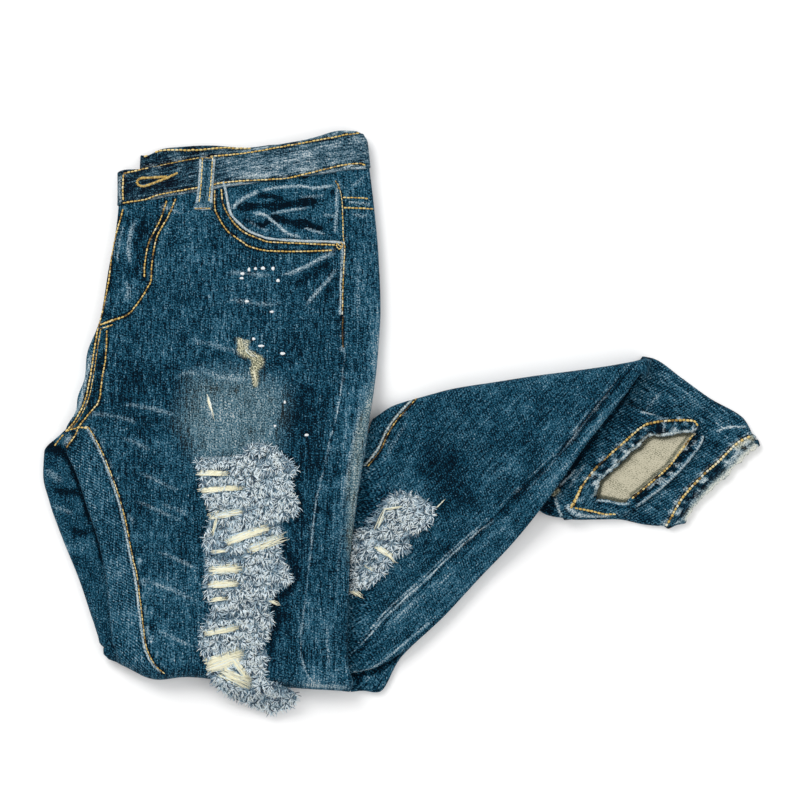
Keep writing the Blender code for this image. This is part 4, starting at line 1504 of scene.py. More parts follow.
# Rows of the two stacks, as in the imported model: plans, bow, seams, then heights.
THIGH_ROWS = (
    Row((-0.2376, 0.2075), (-0.0302, 0.244), (-0.2188, 0.2276), (-0.0315, 0.2402),
        0.0012, 0.03, 0.029, 0.014, 0.014, 0.5, 0.0, 0.0, 0.007, 1.0, 1.0),
    Row((-0.2369, 0.1806), (-0.0269, 0.2121), (-0.2205, 0.1873), (-0.0281, 0.2117),
        0.0025, 0.03, 0.0279, 0.014, 0.014, 0.5, 0.0, 0.0, 0.007, 1.0, 1.0),
    Row((-0.239, 0.1554), (-0.0235, 0.184), (-0.2373, 0.1554), (-0.0248, 0.184),
        0.0015, 0.02, 0.0257, 0.014, 0.014, 0.5, 0.0, 0.0, 0.007, 1.0, 1.0),
    Row((-0.2457, 0.1252), (-0.0193, 0.1386), (-0.244, 0.1252), (-0.0206, 0.1386),
        0.0, 0.012, 0.0278, 0.014, 0.014, 0.5, 0.0, 0.0, 0.007, 1.0, 1.0),
    Row((-0.2549, 0.0806), (-0.0176, 0.0949), (-0.2541, 0.0806), (-0.0189, 0.0949),
        0.0, 0.005, 0.0299, 0.014, 0.014, 0.5, 0.0, 0.0, 0.007, 0.5, 1.0),
    Row((-0.265, 0.0378), (-0.0197, 0.0563), (-0.2642, 0.0378), (-0.0214, 0.0563),
        0.0, 0.006, 0.0286, 0.014, 0.0142, 0.9, 0.0, 0.0, 0.007, 0.0, 1.0),
    Row((-0.286, -0.0059), (-0.0239, 0.0193), (-0.2885, -0.0109), (-0.0256, 0.0193),
        0.0, 0.0085, 0.0294, 0.0142, 0.023, 0.9, 0.0, 0.009, 0.0071, 0.6, 1.0),
    Row((-0.2818, -0.026), (-0.0269, 0.0008), (-0.3007, -0.026), (-0.0286, 0.0008),
        0.0, 0.0312, 0.0298, 0.0146, 0.0268, 0.86, 0.0, 0.0128, 0.0085, 1.0, 1.0),
    Row((-0.2734, -0.0445), (-0.029, -0.016), (-0.3016, -0.0445), (-0.0307, -0.016),
        0.0, 0.0294, 0.0311, 0.015, 0.0268, 0.8, 0.0, 0.0128, 0.0095, 1.0, 1.0),
    Row((-0.265, -0.0706), (-0.0365, -0.0622), (-0.2961, -0.0689), (-0.0382, -0.0622),
        0.0, 0.0298, 0.0332, 0.015, 0.0268, 0.67, 0.0, 0.0128, 0.0095, 1.0, 1.0),
    Row((-0.2558, -0.0983), (-0.0412, -0.0983), (-0.2856, -0.0983), (-0.0428, -0.0983),
        0.0, 0.0269, 0.0332, 0.0155, 0.0268, 0.53, 0.0, 0.0128, 0.0095, 1.0, 1.0),
    Row((-0.2482, -0.1336), (-0.0437, -0.1336), (-0.2713, -0.1336), (-0.0454, -0.1336),
        0.0, 0.0269, 0.0353, 0.016, 0.0268, 0.38, 0.0, 0.0128, 0.0098, 1.0, 1.0),
    Row((-0.2449, -0.1672), (-0.0449, -0.1672), (-0.26, -0.1672), (-0.0466, -0.1672),
        -0.001, 0.0277, 0.0378, 0.0175, 0.0268, 0.24, 0.0, 0.0128, 0.011, 1.0, 1.0),
    Row((-0.2423, -0.185), (-0.0449, -0.1924), (-0.2533, -0.185), (-0.0466, -0.1924),
        -0.0025, 0.0286, 0.0395, 0.02, 0.0262, 0.16, 0.0, 0.012, 0.013, 1.0, 1.0),
    Row((-0.2395, -0.1915), (-0.044, -0.216), (-0.248, -0.19), (-0.0448, -0.216),
        -0.0045, 0.029, 0.0376, 0.0205, 0.0255, 0.16, 0.0, 0.0, 0.013, 0.35, 0.35),
)
SHIN_ROWS = (
    Row((-0.0405, -0.213), (-0.0244, 0.0012), (-0.0372, -0.2235), (-0.0248, 0.0005),
        0.0133, 0.019, 0.039, 0.012, 0.012, 0.5, 0.0, 0.0, 0.006, 1.0, 1.0),
    Row((-0.0214, -0.2075), (-0.008, 0.0122), (-0.0181, -0.2225), (-0.0086, 0.0115),
        0.0, 0.033, 0.03, 0.0125, 0.012, 0.5, 0.0, 0.0, 0.006, 1.0, 1.0),
    Row((0.0004, -0.1949), (0.0147, 0.0198), (0.0002, -0.1985), (0.014, 0.019),
        0.0, 0.038, 0.011, 0.013, 0.013, 0.5, 0.0, 0.0, 0.0062, 1.0, 0.8),
    Row((0.0307, -0.1693), (0.0424, 0.0277), (0.0313, -0.1686), (0.0424, 0.027),
        0.0, 0.04, 0.02, 0.013, 0.022, 0.84, 0.0, 0.0, 0.0062, 1.0, 0.3),
    Row((0.0659, -0.1319), (0.0802, 0.0336), (0.0665, -0.1312), (0.0802, 0.033),
        0.0, 0.033, 0.02, 0.0132, 0.0236, 0.58, 0.0, 0.0, 0.0064, 1.0, 0.2),
    Row((0.0945, -0.1016), (0.1121, 0.0386), (0.0951, -0.1009), (0.1121, 0.038),
        0.0, 0.027, 0.02, 0.018, 0.024, 0.3, 0.005, 0.0, 0.0115, 1.0, 0.2),
    Row((0.1231, -0.0655), (0.1449, 0.0428), (0.1237, -0.0648), (0.1449, 0.0422),
        0.0, 0.024, 0.018, 0.025, 0.0245, 0.5, 0.0122, 0.0, 0.018, 1.0, 0.2),
    Row((0.1567, -0.0176), (0.1718, 0.0466), (0.1573, -0.0169), (0.1718, 0.046),
        0.0, 0.019, 0.014, 0.0252, 0.0245, 0.5, 0.0122, 0.0, 0.0182, 1.0, 0.2),
    Row((0.1861, 0.0197), (0.1953, 0.0508), (0.1867, 0.0204), (0.1953, 0.0502),
        0.0, 0.01, 0.009, 0.0248, 0.024, 0.5, 0.012, 0.0, 0.018, 1.0, 0.2),
    Row((0.2, 0.0385), (0.205, 0.053), (0.2005, 0.039), (0.205, 0.0526),
        0.0, 0.006, 0.0068, 0.0236, 0.023, 0.5, 0.01, 0.0, 0.016, 0.5, 0.0),
)
KNEE_REACH = 0.0110
CALF_REACH = 0.0060
WAIST, YOKE, POCKET_END, FLY_END, CROTCH, FOLD = 1, 2, 3, 4, 6, 14
TURN, BURIED, APEX = 2, 4, 9

# Seams and edges of the thigh's upper face, from the waist down, in millimetres.
FLY_INNER = ((-196.8, 187), (-202.4, 170.7), (-211.8, 151.9), (-215.2, 134.6), (-215.7, 120.3))
FLY_OUTER = ((-189.1, 188.7), (-196.4, 172.4), (-205.1, 156.5), (-209.3, 134.6), (-210.1, 120.3),
             (-213.9, 112), (-219.4, 103.5), (-229.4, 91.5), (-242.9, 86.5), (-253, 82.5))
FLY_FOLD = ((-233.6, 180.1), (-235.8, 171.6), (-240.1, 156.5), (-243.1, 140.8), (-244.8, 126.2),
            (-246.2, 117), (-250.4, 96), (-254.6, 80))
RISE_OUTER = ((-254.6, 80), (-256.7, 68.3), (-261.6, 36.3), (-265.6, 19), (-273.1, 3.6), (-280.9, -6.1),
              (-286.6, -12.4), (-292, -19.9))
RISE_INNER = ((-247.1, 78.3), (-248.3, 54.8), (-251.5, 36.3), (-253.9, 19), (-261.6, 8.6), (-270.3, -2.3),
              (-273.1, -9), (-279, -17.4), (-282.9, -24.1))
INSEAM = ((-266, -3.6), (-261.4, -5.2), (-250, -26.7), (-238.7, -56.1), (-232, -79.6), (-225.2, -114),
          (-221.9, -127.5), (-217.7, -160.2), (-213.9, -186.3), (-207.2, -201.4), (-197.5, -210.6))
OUTSEAM_HIGH = ((-53, 201.8), (-49.7, 187.5), (-48.6, 156.5), (-47.4, 147.2), (-48.8, 118.7), (-49.3, 89.7),
                (-49.3, 74.1), (-48.8, 63.2))
OUTSEAM_LOW = ((-48.8, 63.2), (-47.2, 57.3), (-49.3, 41.4), (-51.4, 20.4), (-54.7, 3.9), (-60.6, -17.4),
               (-67.3, -50.2), (-71.5, -66.1), (-75.7, -109), (-80.8, -151.8), (-84.1, -186.3),
               (-79.9, -207.3), (-71.5, -220.7))
POCKET_EDGE = ((-149.5, 203), (-147.5, 195.1), (-144.9, 181.7), (-142.6, 174.9), (-136.4, 168.1),
               (-129.2, 162), (-118.6, 157.4), (-109.3, 154.8), (-84.1, 153.0), (-61.4, 152.4),
               (-49.5, 151.5))
POCKET_INNER = ((-151, 196.8), (-149.2, 183.3), (-142.4, 170.7), (-132.8, 161.1), (-118.6, 154.6),
                (-109.3, 152.2), (-84.1, 151.0), (-53.9, 149.6))
POCKET_OUTER = ((-156.5, 195.9), (-156.5, 181.9), (-153.5, 173.3), (-145.8, 161.5), (-132.8, 151.9),
                (-127, 148.5), (-112.7, 144.9), (-84.1, 144.3), (-55.6, 145.3))
RIP_LEFT = ((-137, -28.6), (-150, -28.2), (-164, -28.8), (-173.2, -32.7), (-169.8, -40.1), (-167.3, -61.1),
            (-159.7, -75.4),
            (-163.9, -84.6), (-167.3, -101.4), (-163.9, -114.9), (-164.8, -124.9), (-163.9, -143.4),
            (-159.7, -153.5), (-167.3, -170.3), (-169.8, -187.9), (-163.9, -198), (-162.2, -210.6))
RIP_RIGHT = ((-132.8, -22.5), (-121.9, -14.9), (-108.5, -18.3), (-99.2, -25.8), (-90.8, -33.4),
             (-86.6, -39.3),
             (-91.7, -46), (-91.7, -54.4), (-87.5, -64.5), (-85.8, -74.5), (-99, -84), (-98.4, -93),
             (-100.9, -105.6), (-90.8, -129.1), (-95, -135), (-108.5, -146.8), (-109.3, -153.5),
             (-106.8, -162.7), (-108.5, -172.8), (-113.9, -186.3), (-111.3, -192.1), (-113.9, -204.7),
             (-111.3, -214))

CORNER = Pull((-42, -216), (5.0, -2.5), (8, 9))

WHISKERS = (
    Mark(((-152, 124), (-138, 126.5), (-118, 124.5), (-101, 125)), 2.3, 0.45, Tone.WHITE, 0.41, 0.3, 0.45),
    Mark(((-103, 124), (-92.5, 126.5), (-80, 131.5), (-66, 139), (-52, 143)), 1.7, 0.9, Tone.WHITE, 0.78,
         0.2, 0.3),
    Mark(((-83, 95), (-72.9, 107.7), (-61, 120.8), (-51.5, 133.5)), 1.5, 0.8, Tone.WHITE, 0.80, 0.25, 0.3),
    Mark(((-96, 117), (-80, 121), (-66, 131), (-54, 139)), 3.2, -0.9, Tone.DARK, 0.6),
    Mark(((-70, 98), (-60, 112), (-50, 126)), 3.0, -0.6, Tone.DARK, 0.5),
    Mark(((-156, 101), (-138, 103), (-115, 100), (-90, 102)), 2.6, 0.35, Tone.WHITE, 0.34, 0.3, 0.45),
    Mark(((-150, 93), (-130, 92), (-100, 93)), 2.4, -0.3, Tone.DARK, 0.25),
    Mark(((-184, 64), (-172, 68.5), (-152, 64), (-128, 57.5)), 2.6, 0.45, Tone.WHITE, 0.36, 0.3, 0.45),
    Mark(((-180, 55), (-160, 56), (-138, 50)), 2.6, -0.4, Tone.DARK, 0.25),
    Mark(((-200, 33), (-184, 41), (-165, 43), (-146, 38), (-118, 37)), 2.6, 0.4, Tone.WHITE, 0.35, 0.3,
         0.45),
    Mark(((-176, 30), (-150, 29), (-122, 25)), 2.4, -0.35, Tone.DARK, 0.22),
    Mark(((-242, 17), (-224, 15), (-200, 10), (-178, 3)), 2.3, 0.5, Tone.WHITE, 0.42, 0.3, 0.45),
    Mark(((-266, 7), (-250, 7.5), (-233, 4), (-215, -2)), 2.4, 0.5, Tone.WHITE, 0.39, 0.3, 0.45),
    Mark(((-240, 8), (-222, 5), (-200, -2)), 2.2, -0.4, Tone.DARK, 0.3),
    Mark(((-240, -10), (-222, -17), (-206, -25)), 2.3, 0.4, Tone.WHITE, 0.32, 0.3, 0.45),
    Mark(((-228, -38), (-205, -48), (-180, -60)), 2.2, 0.35, Tone.WHITE, 0.34, 0.3, 0.45),
    Mark(((-207, -65), (-190, -72), (-174, -80)), 2.3, 0.35, Tone.WHITE, 0.38, 0.3, 0.45),
    Mark(((-213, -106), (-196, -111), (-180, -118), (-163, -125)), 2.0, 0.4, Tone.WHITE, 0.46, 0.3, 0.45),
    Mark(((-219, -131), (-200, -137), (-180, -145), (-163, -153)), 2.1, 0.45, Tone.WHITE, 0.48, 0.3, 0.45),
    Mark(((-208, -172), (-190, -180), (-170, -189)), 1.9, 0.35, Tone.WHITE, 0.42, 0.3, 0.45),
    Mark(((-234, -62), (-216, -68), (-196, -77), (-176, -86)), 2.0, 0.35, Tone.WHITE, 0.40, 0.3, 0.45),
)
# Creases round the fly, with painted shade inside the curve of its stitching.
FLY_CREASES = (
    Mark(((-222, 176), (-227, 160), (-229, 145), (-226, 128)), 2.0, 0.7, Tone.WHITE, 0.5),
    Mark(((-232, 172), (-237, 150), (-239, 128)), 1.4, 0.4, Tone.WHITE, 0.3),
    Mark(((-212, 180), (-219, 158), (-221, 138), (-220, 122)), 2.6, -0.8, Tone.DARK, 0.7),
    Mark(((-233, 122), (-229, 112), (-233, 100)), 2.4, 0.5, Tone.WHITE, 0.35),
    Mark(((-240, 112), (-236, 102), (-228, 98)), 1.8, -0.4, Tone.DARK, 0.4),
    Mark(((-206, 183), (-194, 180), (-180, 174.5)), 1.5, 0.4, Tone.WHITE, 0.36),
    Mark(((-192, 176), (-198, 160), (-203, 138), (-204, 118)), 1.8, 0.3, Tone.PALE, 0.3),
    Mark(((-226, 97), (-214, 103), (-207, 114)), 2.6, -0.4, Tone.DARK, 0.45),
    Mark(((-251, 70), (-254.5, 45), (-258, 24), (-266, 6)), 2.6, -0.5, Tone.DARK, 0.55),
    Mark(((-260, 62), (-265, 36), (-270, 16), (-280, 0)), 1.6, 0.3, Tone.WHITE, 0.6, 0.1),
)
THIGH_WORN = ((-176, 38), (-128, 42), (-101, 28), (-99, 16), (-106, -18), (-110, -32), (-168, -32),
              (-186, 0))
# A painted highlight on a crest just below the crotch.
BUNDLE_CREST_HIGHLIGHT = Mark(((-275, -9), (-280, -14), (-285, -20)), 2.4, 0.5, Tone.WHITE, 0.55)
# Fading, darker areas and the scuffed, fraying patch on the thigh, with the painted highlight on the crest
# below the crotch.
FADES_AND_SHADE = (
    BUNDLE_CREST_HIGHLIGHT,
    Mark(((-137, 72.5), (-136.2, 66), (-136, 59.5)), 1.5, 0.1, Tone.BEIGE, 1.0, 0.1, 0.6),
    Area(((-136.5, 71), (-127, 69.5), (-128.5, 62), (-124, 59), (-118.5, 57.5), (-116.8, 52.5),
          (-119.5, 47),
          (-121.2, 44), (-120.8, 31.5), (-124.5, 32.5), (-125.5, 40), (-127, 46), (-124.5, 50),
          (-127.5, 54.5),
          (-133, 57.5), (-137, 60)), 1.5, Tone.BEIGE, 0.80, 0.1),
    Mark(((-133, 71), (-130.5, 66), (-130, 59)), 1.6, 0.1, Tone.WHITE, 0.5, 0.1, 0.7),
    Mark(((-138, 60), (-131, 57), (-124, 56), (-118.5, 53)), 1.7, 0.1, Tone.BEIGE, 1.0, 0.08, 0.5),
    Mark(((-134, 64), (-128, 61), (-122, 58.5)), 1.2, 0.1, Tone.BEIGE, 0.8, 0.1, 0.7),
    Mark(((-119, 57), (-116.5, 52), (-118.5, 47), (-124, 44.5)), 1.4, 0.1, Tone.BEIGE, 1.0, 0.1, 0.5),
    Mark(((-125.5, 52), (-123, 48.5), (-119.5, 50)), 1.2, 0.1, Tone.BEIGE, 0.9, 0.1, 0.5),
    Mark(((-125.5, 45), (-123.6, 40), (-122.4, 35), (-122.8, 29.5)), 1.4, 0.1, Tone.BEIGE, 1.1, 0.1, 0.4),
    Mark(((-121, 45), (-120.5, 39), (-121, 34)), 0.9, 0.0, Tone.BEIGE, 0.7, 0.1, 0.5),
    Mark(((-139, 65), (-138, 57), (-130, 53.5), (-127, 46)), 1.2, 0.0, Tone.DARK, 0.7, 0.1, 0.5),
    Mark(((-118, 45), (-117.4, 39), (-118.6, 32)), 1.2, 0.0, Tone.DARK, 0.6, 0.1, 0.5),
    Area(((-250, 50), (-190, 52), (-172, 20), (-176, -16), (-244, -14)), 24, Tone.DARK, 0.20),
    Mark(((-162.6, 22.6), (-160.6, 13), (-158, 4.6)), 1.5, 0.0, Tone.WHITE, 0.5, 0.1),
    Mark(((-160.6, 20), (-158.2, 10), (-156, 3)), 0.9, 0.0, Tone.DARK, 0.5, 0.1),
    Area(THIGH_WORN, 30, Tone.PALE, 0.60),
    Area(THIGH_WORN, 30, Tone.BEIGE, 0.13),
    # Painted shade in the fold at the worn area's right edge.
    Mark(((-98, 30), (-100.5, 8), (-106, -20)), 1.3, -0.4, Tone.DARK, 0.6),
    Area(((-97, 34), (-74, 30), (-66, -40), (-86, -40), (-103, -20)), 9, Tone.DARK, 0.20),
    Area(((-96, 120), (-52, 110), (-52, 30), (-62, -40), (-88, -200), (-112, -205), (-84, -80), (-92, 30)),
         26, Tone.DARK, 0.13),
    Area(((-248, -112), (-168, -100), (-166, -218), (-246, -206)), 50, Tone.PALE, 0.16),
    Area(((-196, 170), (-160, 160), (-100, 135), (-100, 60), (-190, 60)), 60, Tone.PALE, 0.05),
    Area(((-120, -214), (-80, -206), (-40, -214), (-40, -240), (-160, -240)), 22, Tone.PALE, 0.25),
)
TEAR_SHADE = (
    Mark(((-98, -25), (-90, -34), (-86, -42), (-89, -52), (-85, -62), (-84, -72), (-86, -79), (-96, -88)),
         2.6, 0.0, Tone.DARK, 0.6, 0.1),
    Mark(((-96, -92), (-97, -106), (-88, -122), (-88.4, -131), (-93, -139), (-105, -150), (-105, -166),
          (-108, -180),
          (-109, -192), (-111, -204)), 3.4, 0.0, Tone.DARK, 0.8, 0.1),
    Mark(((-82, -219.5), (-62, -220.6), (-44, -221.6)), 1.8, 0.2, Tone.WHITE, 0.45, 0.1),
    Mark(((-174, -32), (-171, -40), (-169, -60), (-162, -75), (-169, -100), (-166, -140)), 1.6, 0.0,
         Tone.DARK, 0.4, 0.1),
)
# Painted shade in the groove along each row of stitching.
STITCH_GROOVE_SHADE = (
    Mark(FLY_INNER, 1.7, -0.15, Tone.DARK, 0.75, 0.02), Mark(FLY_OUTER, 1.7, -0.15, Tone.DARK, 0.70, 0.02),
    Mark(FLY_FOLD, 1.5, -0.15, Tone.DARK, 0.6, 0.02), Mark(POCKET_INNER, 1.6, -0.15, Tone.DARK, 0.7, 0.02),
    Mark(POCKET_OUTER, 1.7, -0.15, Tone.DARK, 0.75, 0.02),
    Mark(RISE_INNER, 1.6, -0.15, Tone.DARK, 0.7, 0.02),
    Mark(RISE_OUTER, 1.5, -0.15, Tone.DARK, 0.6, 0.02), Mark(INSEAM, 1.6, -0.15, Tone.DARK, 0.55, 0.02),
)
# Pale rubbed ridges beside the seams, painted shade in the grooves along them, and rucks.
SEAM_MARKS = (
    Mark(shifted(INSEAM, -1.9, 0.4), 0.9, 0.55, Tone.WHITE, 1.3, 0.03, 0.3),
    Mark(shifted(INSEAM[1:], -3.6, 0.4), 0.9, -0.3, Tone.DARK, 0.45, 0.03),
    Mark(shifted(INSEAM[1:], 0.4), 1.2, -0.35, Tone.DARK, 0.80, 0.03),
    Rucks(shifted(INSEAM[1:], 4.5), 4.0, 5.5, 0.45, 0.40, 3),
    Mark(shifted(OUTSEAM_HIGH[:6], -1.8), 0.9, 0.45, Tone.WHITE, 1.2, 0.03, 0.5),
    Mark(shifted(OUTSEAM_HIGH, 0.3), 1.2, -0.3, Tone.DARK, 0.80, 0.03),
    Mark(((-48.9, 90), (-49.3, 77), (-48.8, 62)), 1.0, -0.3, Tone.DARK, 0.9, 0.05),
    Mark(OUTSEAM_LOW, 0.65, 0.35, Tone.WHITE, 0.62, 0.02, 0.8),
    Mark(shifted(OUTSEAM_LOW, 1.4), 0.8, -0.25, Tone.DARK, 0.55, 0.02, 0.4),
    Rucks(OUTSEAM_HIGH, 3.2, 5.0, 0.35, 0.38, 5),
    Rucks(OUTSEAM_LOW, 3.6, 6.5, 0.3, 0.30, 6),
    Rucks(FLY_INNER, 3.0, 5.0, 0.4, 0.36, 7, 0.12),
    Rucks(FLY_OUTER, 2.6, 5.0, 0.35, 0.34, 8, 0.12),
    Rucks(FLY_FOLD, 2.8, 5.5, 0.4, 0.36, 9, 0.1),
    Rucks(RISE_OUTER, 2.4, 4.5, 0.4, 0.38, 10, 0.12),
    Rucks(RISE_INNER, 2.6, 4.5, 0.45, 0.36, 11, 0.12),
    Rucks(POCKET_OUTER, 2.6, 6.0, 0.3, 0.36, 12, 0.12),
    Rucks(POCKET_INNER, 1.4, 6.0, 0.2, 0.34, 13, 0.1),
    Mark(shifted(FLY_OUTER[:8], 3.0, -0.6), 1.4, 0.35, Tone.PALE, 0.35, 0.1),
)
SIDE_MARKS = (
    Mark(((-23, 118), (-20.5, 90), (-19.5, 55), (-24, 24), (-29, 0), (-35, -30), (-39, -62), (-43, -110)),
         5.6, 0.0, Tone.PALE, 0.72, 0.2),
    Mark(((-21.5, 46), (-23.8, 30), (-28.4, 8), (-34.4, -15), (-37.6, -40), (-40.4, -65), (-42, -92),
          (-43.6, -128)),
         4.0, 0.0, Tone.BEIGE, 0.28, 0.22, 0.1),
    Mark(((-31, 20), (-38, -14), (-44, -44), (-47, -74)), 1.6, 0.3, Tone.BEIGE, 0.20, 0.25, 0.6),
    Mark(((-29, -2), (-34.6, -28), (-39, -56), (-41.6, -84)), 0.9, -0.3, Tone.DARK, 0.6, 0.1),
    Mark(((-38, 150), (-36, 110), (-37, 70)), 2.6, 0.3, Tone.WHITE, 0.22),
    Mark(((-41, 60), (-41, 30), (-47, -10), (-55, -50)), 2.4, 0.5, Tone.PALE, 0.45),
    Mark(((-33, 52), (-34, 20), (-42, -24), (-49, -62), (-53, -100)), 1.8, 0.4, Tone.WHITE, 0.30),
    Mark(((-46, 14), (-52, -24), (-59, -64), (-63, -104)), 2.2, -0.5, Tone.DARK, 0.30),
    Mark(((-57, -40), (-62, -80), (-66, -124), (-70, -170)), 2.6, -0.3, Tone.DARK, 0.25),
    Mark(((-48, -70), (-52, -110), (-55, -150)), 1.6, 0.3, Tone.WHITE, 0.22),
    Mark(((-60, -160), (-62, -185), (-58, -214)), 1.6, 0.3, Tone.WHITE, 0.3),
    Mark(((-44, 178), (-34, 174), (-24, 176)), 1.8, 0.3, Tone.WHITE, 0.35),
    Mark(((-45, 197), (-36, 203), (-30, 209)), 1.8, 0.3, Tone.WHITE, 0.3),
    Mark(((-45, 186), (-25, 184)), 1.5, 0.35, Tone.WHITE, 0.45, 0.1),
)
# Painted shade in the valley between the legs below the crotch and in the creases across the bulge, painted
# light on the ridges between them, the crest's highlight, and a swell.
BUNDLE_SHADE_AND_LIGHT = (
    Mark(((-300, -17), (-288, -22), (-280, -30), (-275, -38), (-272, -48)), 3.4, -1.8, Tone.DARK, 1.1, 0.1),
    Mark(((-277, -34), (-271.5, -50), (-266.5, -66), (-261, -86)), 2.4, -0.7, Tone.DARK, 1.0, 0.15),
    Mark(((-300, -21), (-294, -24), (-287, -28)), 2.2, -0.8, Tone.DARK, 0.6, 0.2),
    Mark(((-296, -17.5), (-288, -21.5), (-281, -28.5), (-275.5, -38), (-271, -50), (-266, -66),
          (-260.5, -82),
          (-256, -98), (-251, -120)), 1.2, -0.5, Tone.DARK, 1.2, 0.06),
    BUNDLE_CREST_HIGHLIGHT,
    Mark(((-301, -36), (-291, -45), (-281, -50)), 3.4, 1.2, Tone.WHITE, 0.30),
    Mark(((-293, -57), (-282, -58), (-268, -58), (-260, -62)), 3.0, -1.2, Tone.DARK, 0.95, 0.2),
    Mark(((-296, -68), (-284, -73), (-272, -78)), 2.8, 1.0, Tone.WHITE, 0.28),
    Mark(((-280, -88), (-270, -92), (-258, -92)), 3.0, -0.9, Tone.DARK, 0.75),
    Mark(((-288, -100), (-277, -106), (-264, -112)), 3.0, 0.7, Tone.PALE, 0.25),
    Mark(((-281, -124), (-272, -138), (-262, -152)), 3.0, -0.6, Tone.DARK, 0.3),
    Mark(((-274, -146), (-264, -168), (-256, -190)), 3.0, 0.5, Tone.PALE, 0.25),
    Swell(0.6, 26, 31),
)
FACING_CREASES = (
    Swell(0.9, 17, 41),
    Mark(((-143, 178), (-139, 184), (-130.3, 190.1), (-118.1, 195.6)), 1.5, 1.1, Tone.WHITE, 0.9, 0.15),
    Mark(((-120, 195.2), (-104, 198), (-84.1, 199.3), (-72.4, 197.6), (-53.9, 200.1)), 1.3, 0.9, Tone.WHITE,
         0.75, 0.1),
    Mark(((-127, 177.5), (-114.6, 174.9), (-108, 170), (-102.6, 165.7), (-95.9, 159.8), (-82, 155.6)),
         1.3, 1.0, Tone.WHITE, 0.85, 0.15),
    Mark(((-114.6, 175), (-104, 177), (-92.5, 179.1), (-72.4, 181.7)), 1.2, 0.7, Tone.WHITE, 0.6),
    Mark(((-66.5, 174.6), (-53, 174.6)), 1.4, 0.5, Tone.WHITE, 0.5),
    Mark(((-86, 166), (-69.8, 160.7), (-61.4, 158.1)), 1.3, 0.8, Tone.WHITE, 0.65),
    Mark(((-54.5, 200), (-54, 187.5), (-54.5, 172), (-56, 158)), 1.3, 0.6, Tone.WHITE, 0.6, 0.1),
    Mark(((-90, 190), (-74, 190.5), (-60, 192)), 1.6, 0.6, Tone.WHITE, 0.35),
    Mark(((-141.2, 180), (-124, 182), (-106, 182.5), (-66.5, 187.5)), 3.0, -1.5, Tone.DARK, 0.95, 0.15),
    Mark(((-111, 174.9), (-98, 170), (-85, 167.4), (-63.1, 162.5)), 2.8, -1.3, Tone.DARK, 0.9, 0.15),
    Mark(((-134, 172), (-124, 168), (-112, 162)), 2.4, -0.8, Tone.DARK, 0.6),
    Mark(((-126, 190), (-110, 191), (-94, 187)), 2.4, -0.8, Tone.DARK, 0.55),
    Mark(((-136, 176), (-128, 170), (-118, 164), (-104, 159.5)), 1.6, 0.3, Tone.WHITE, 0.3),
)


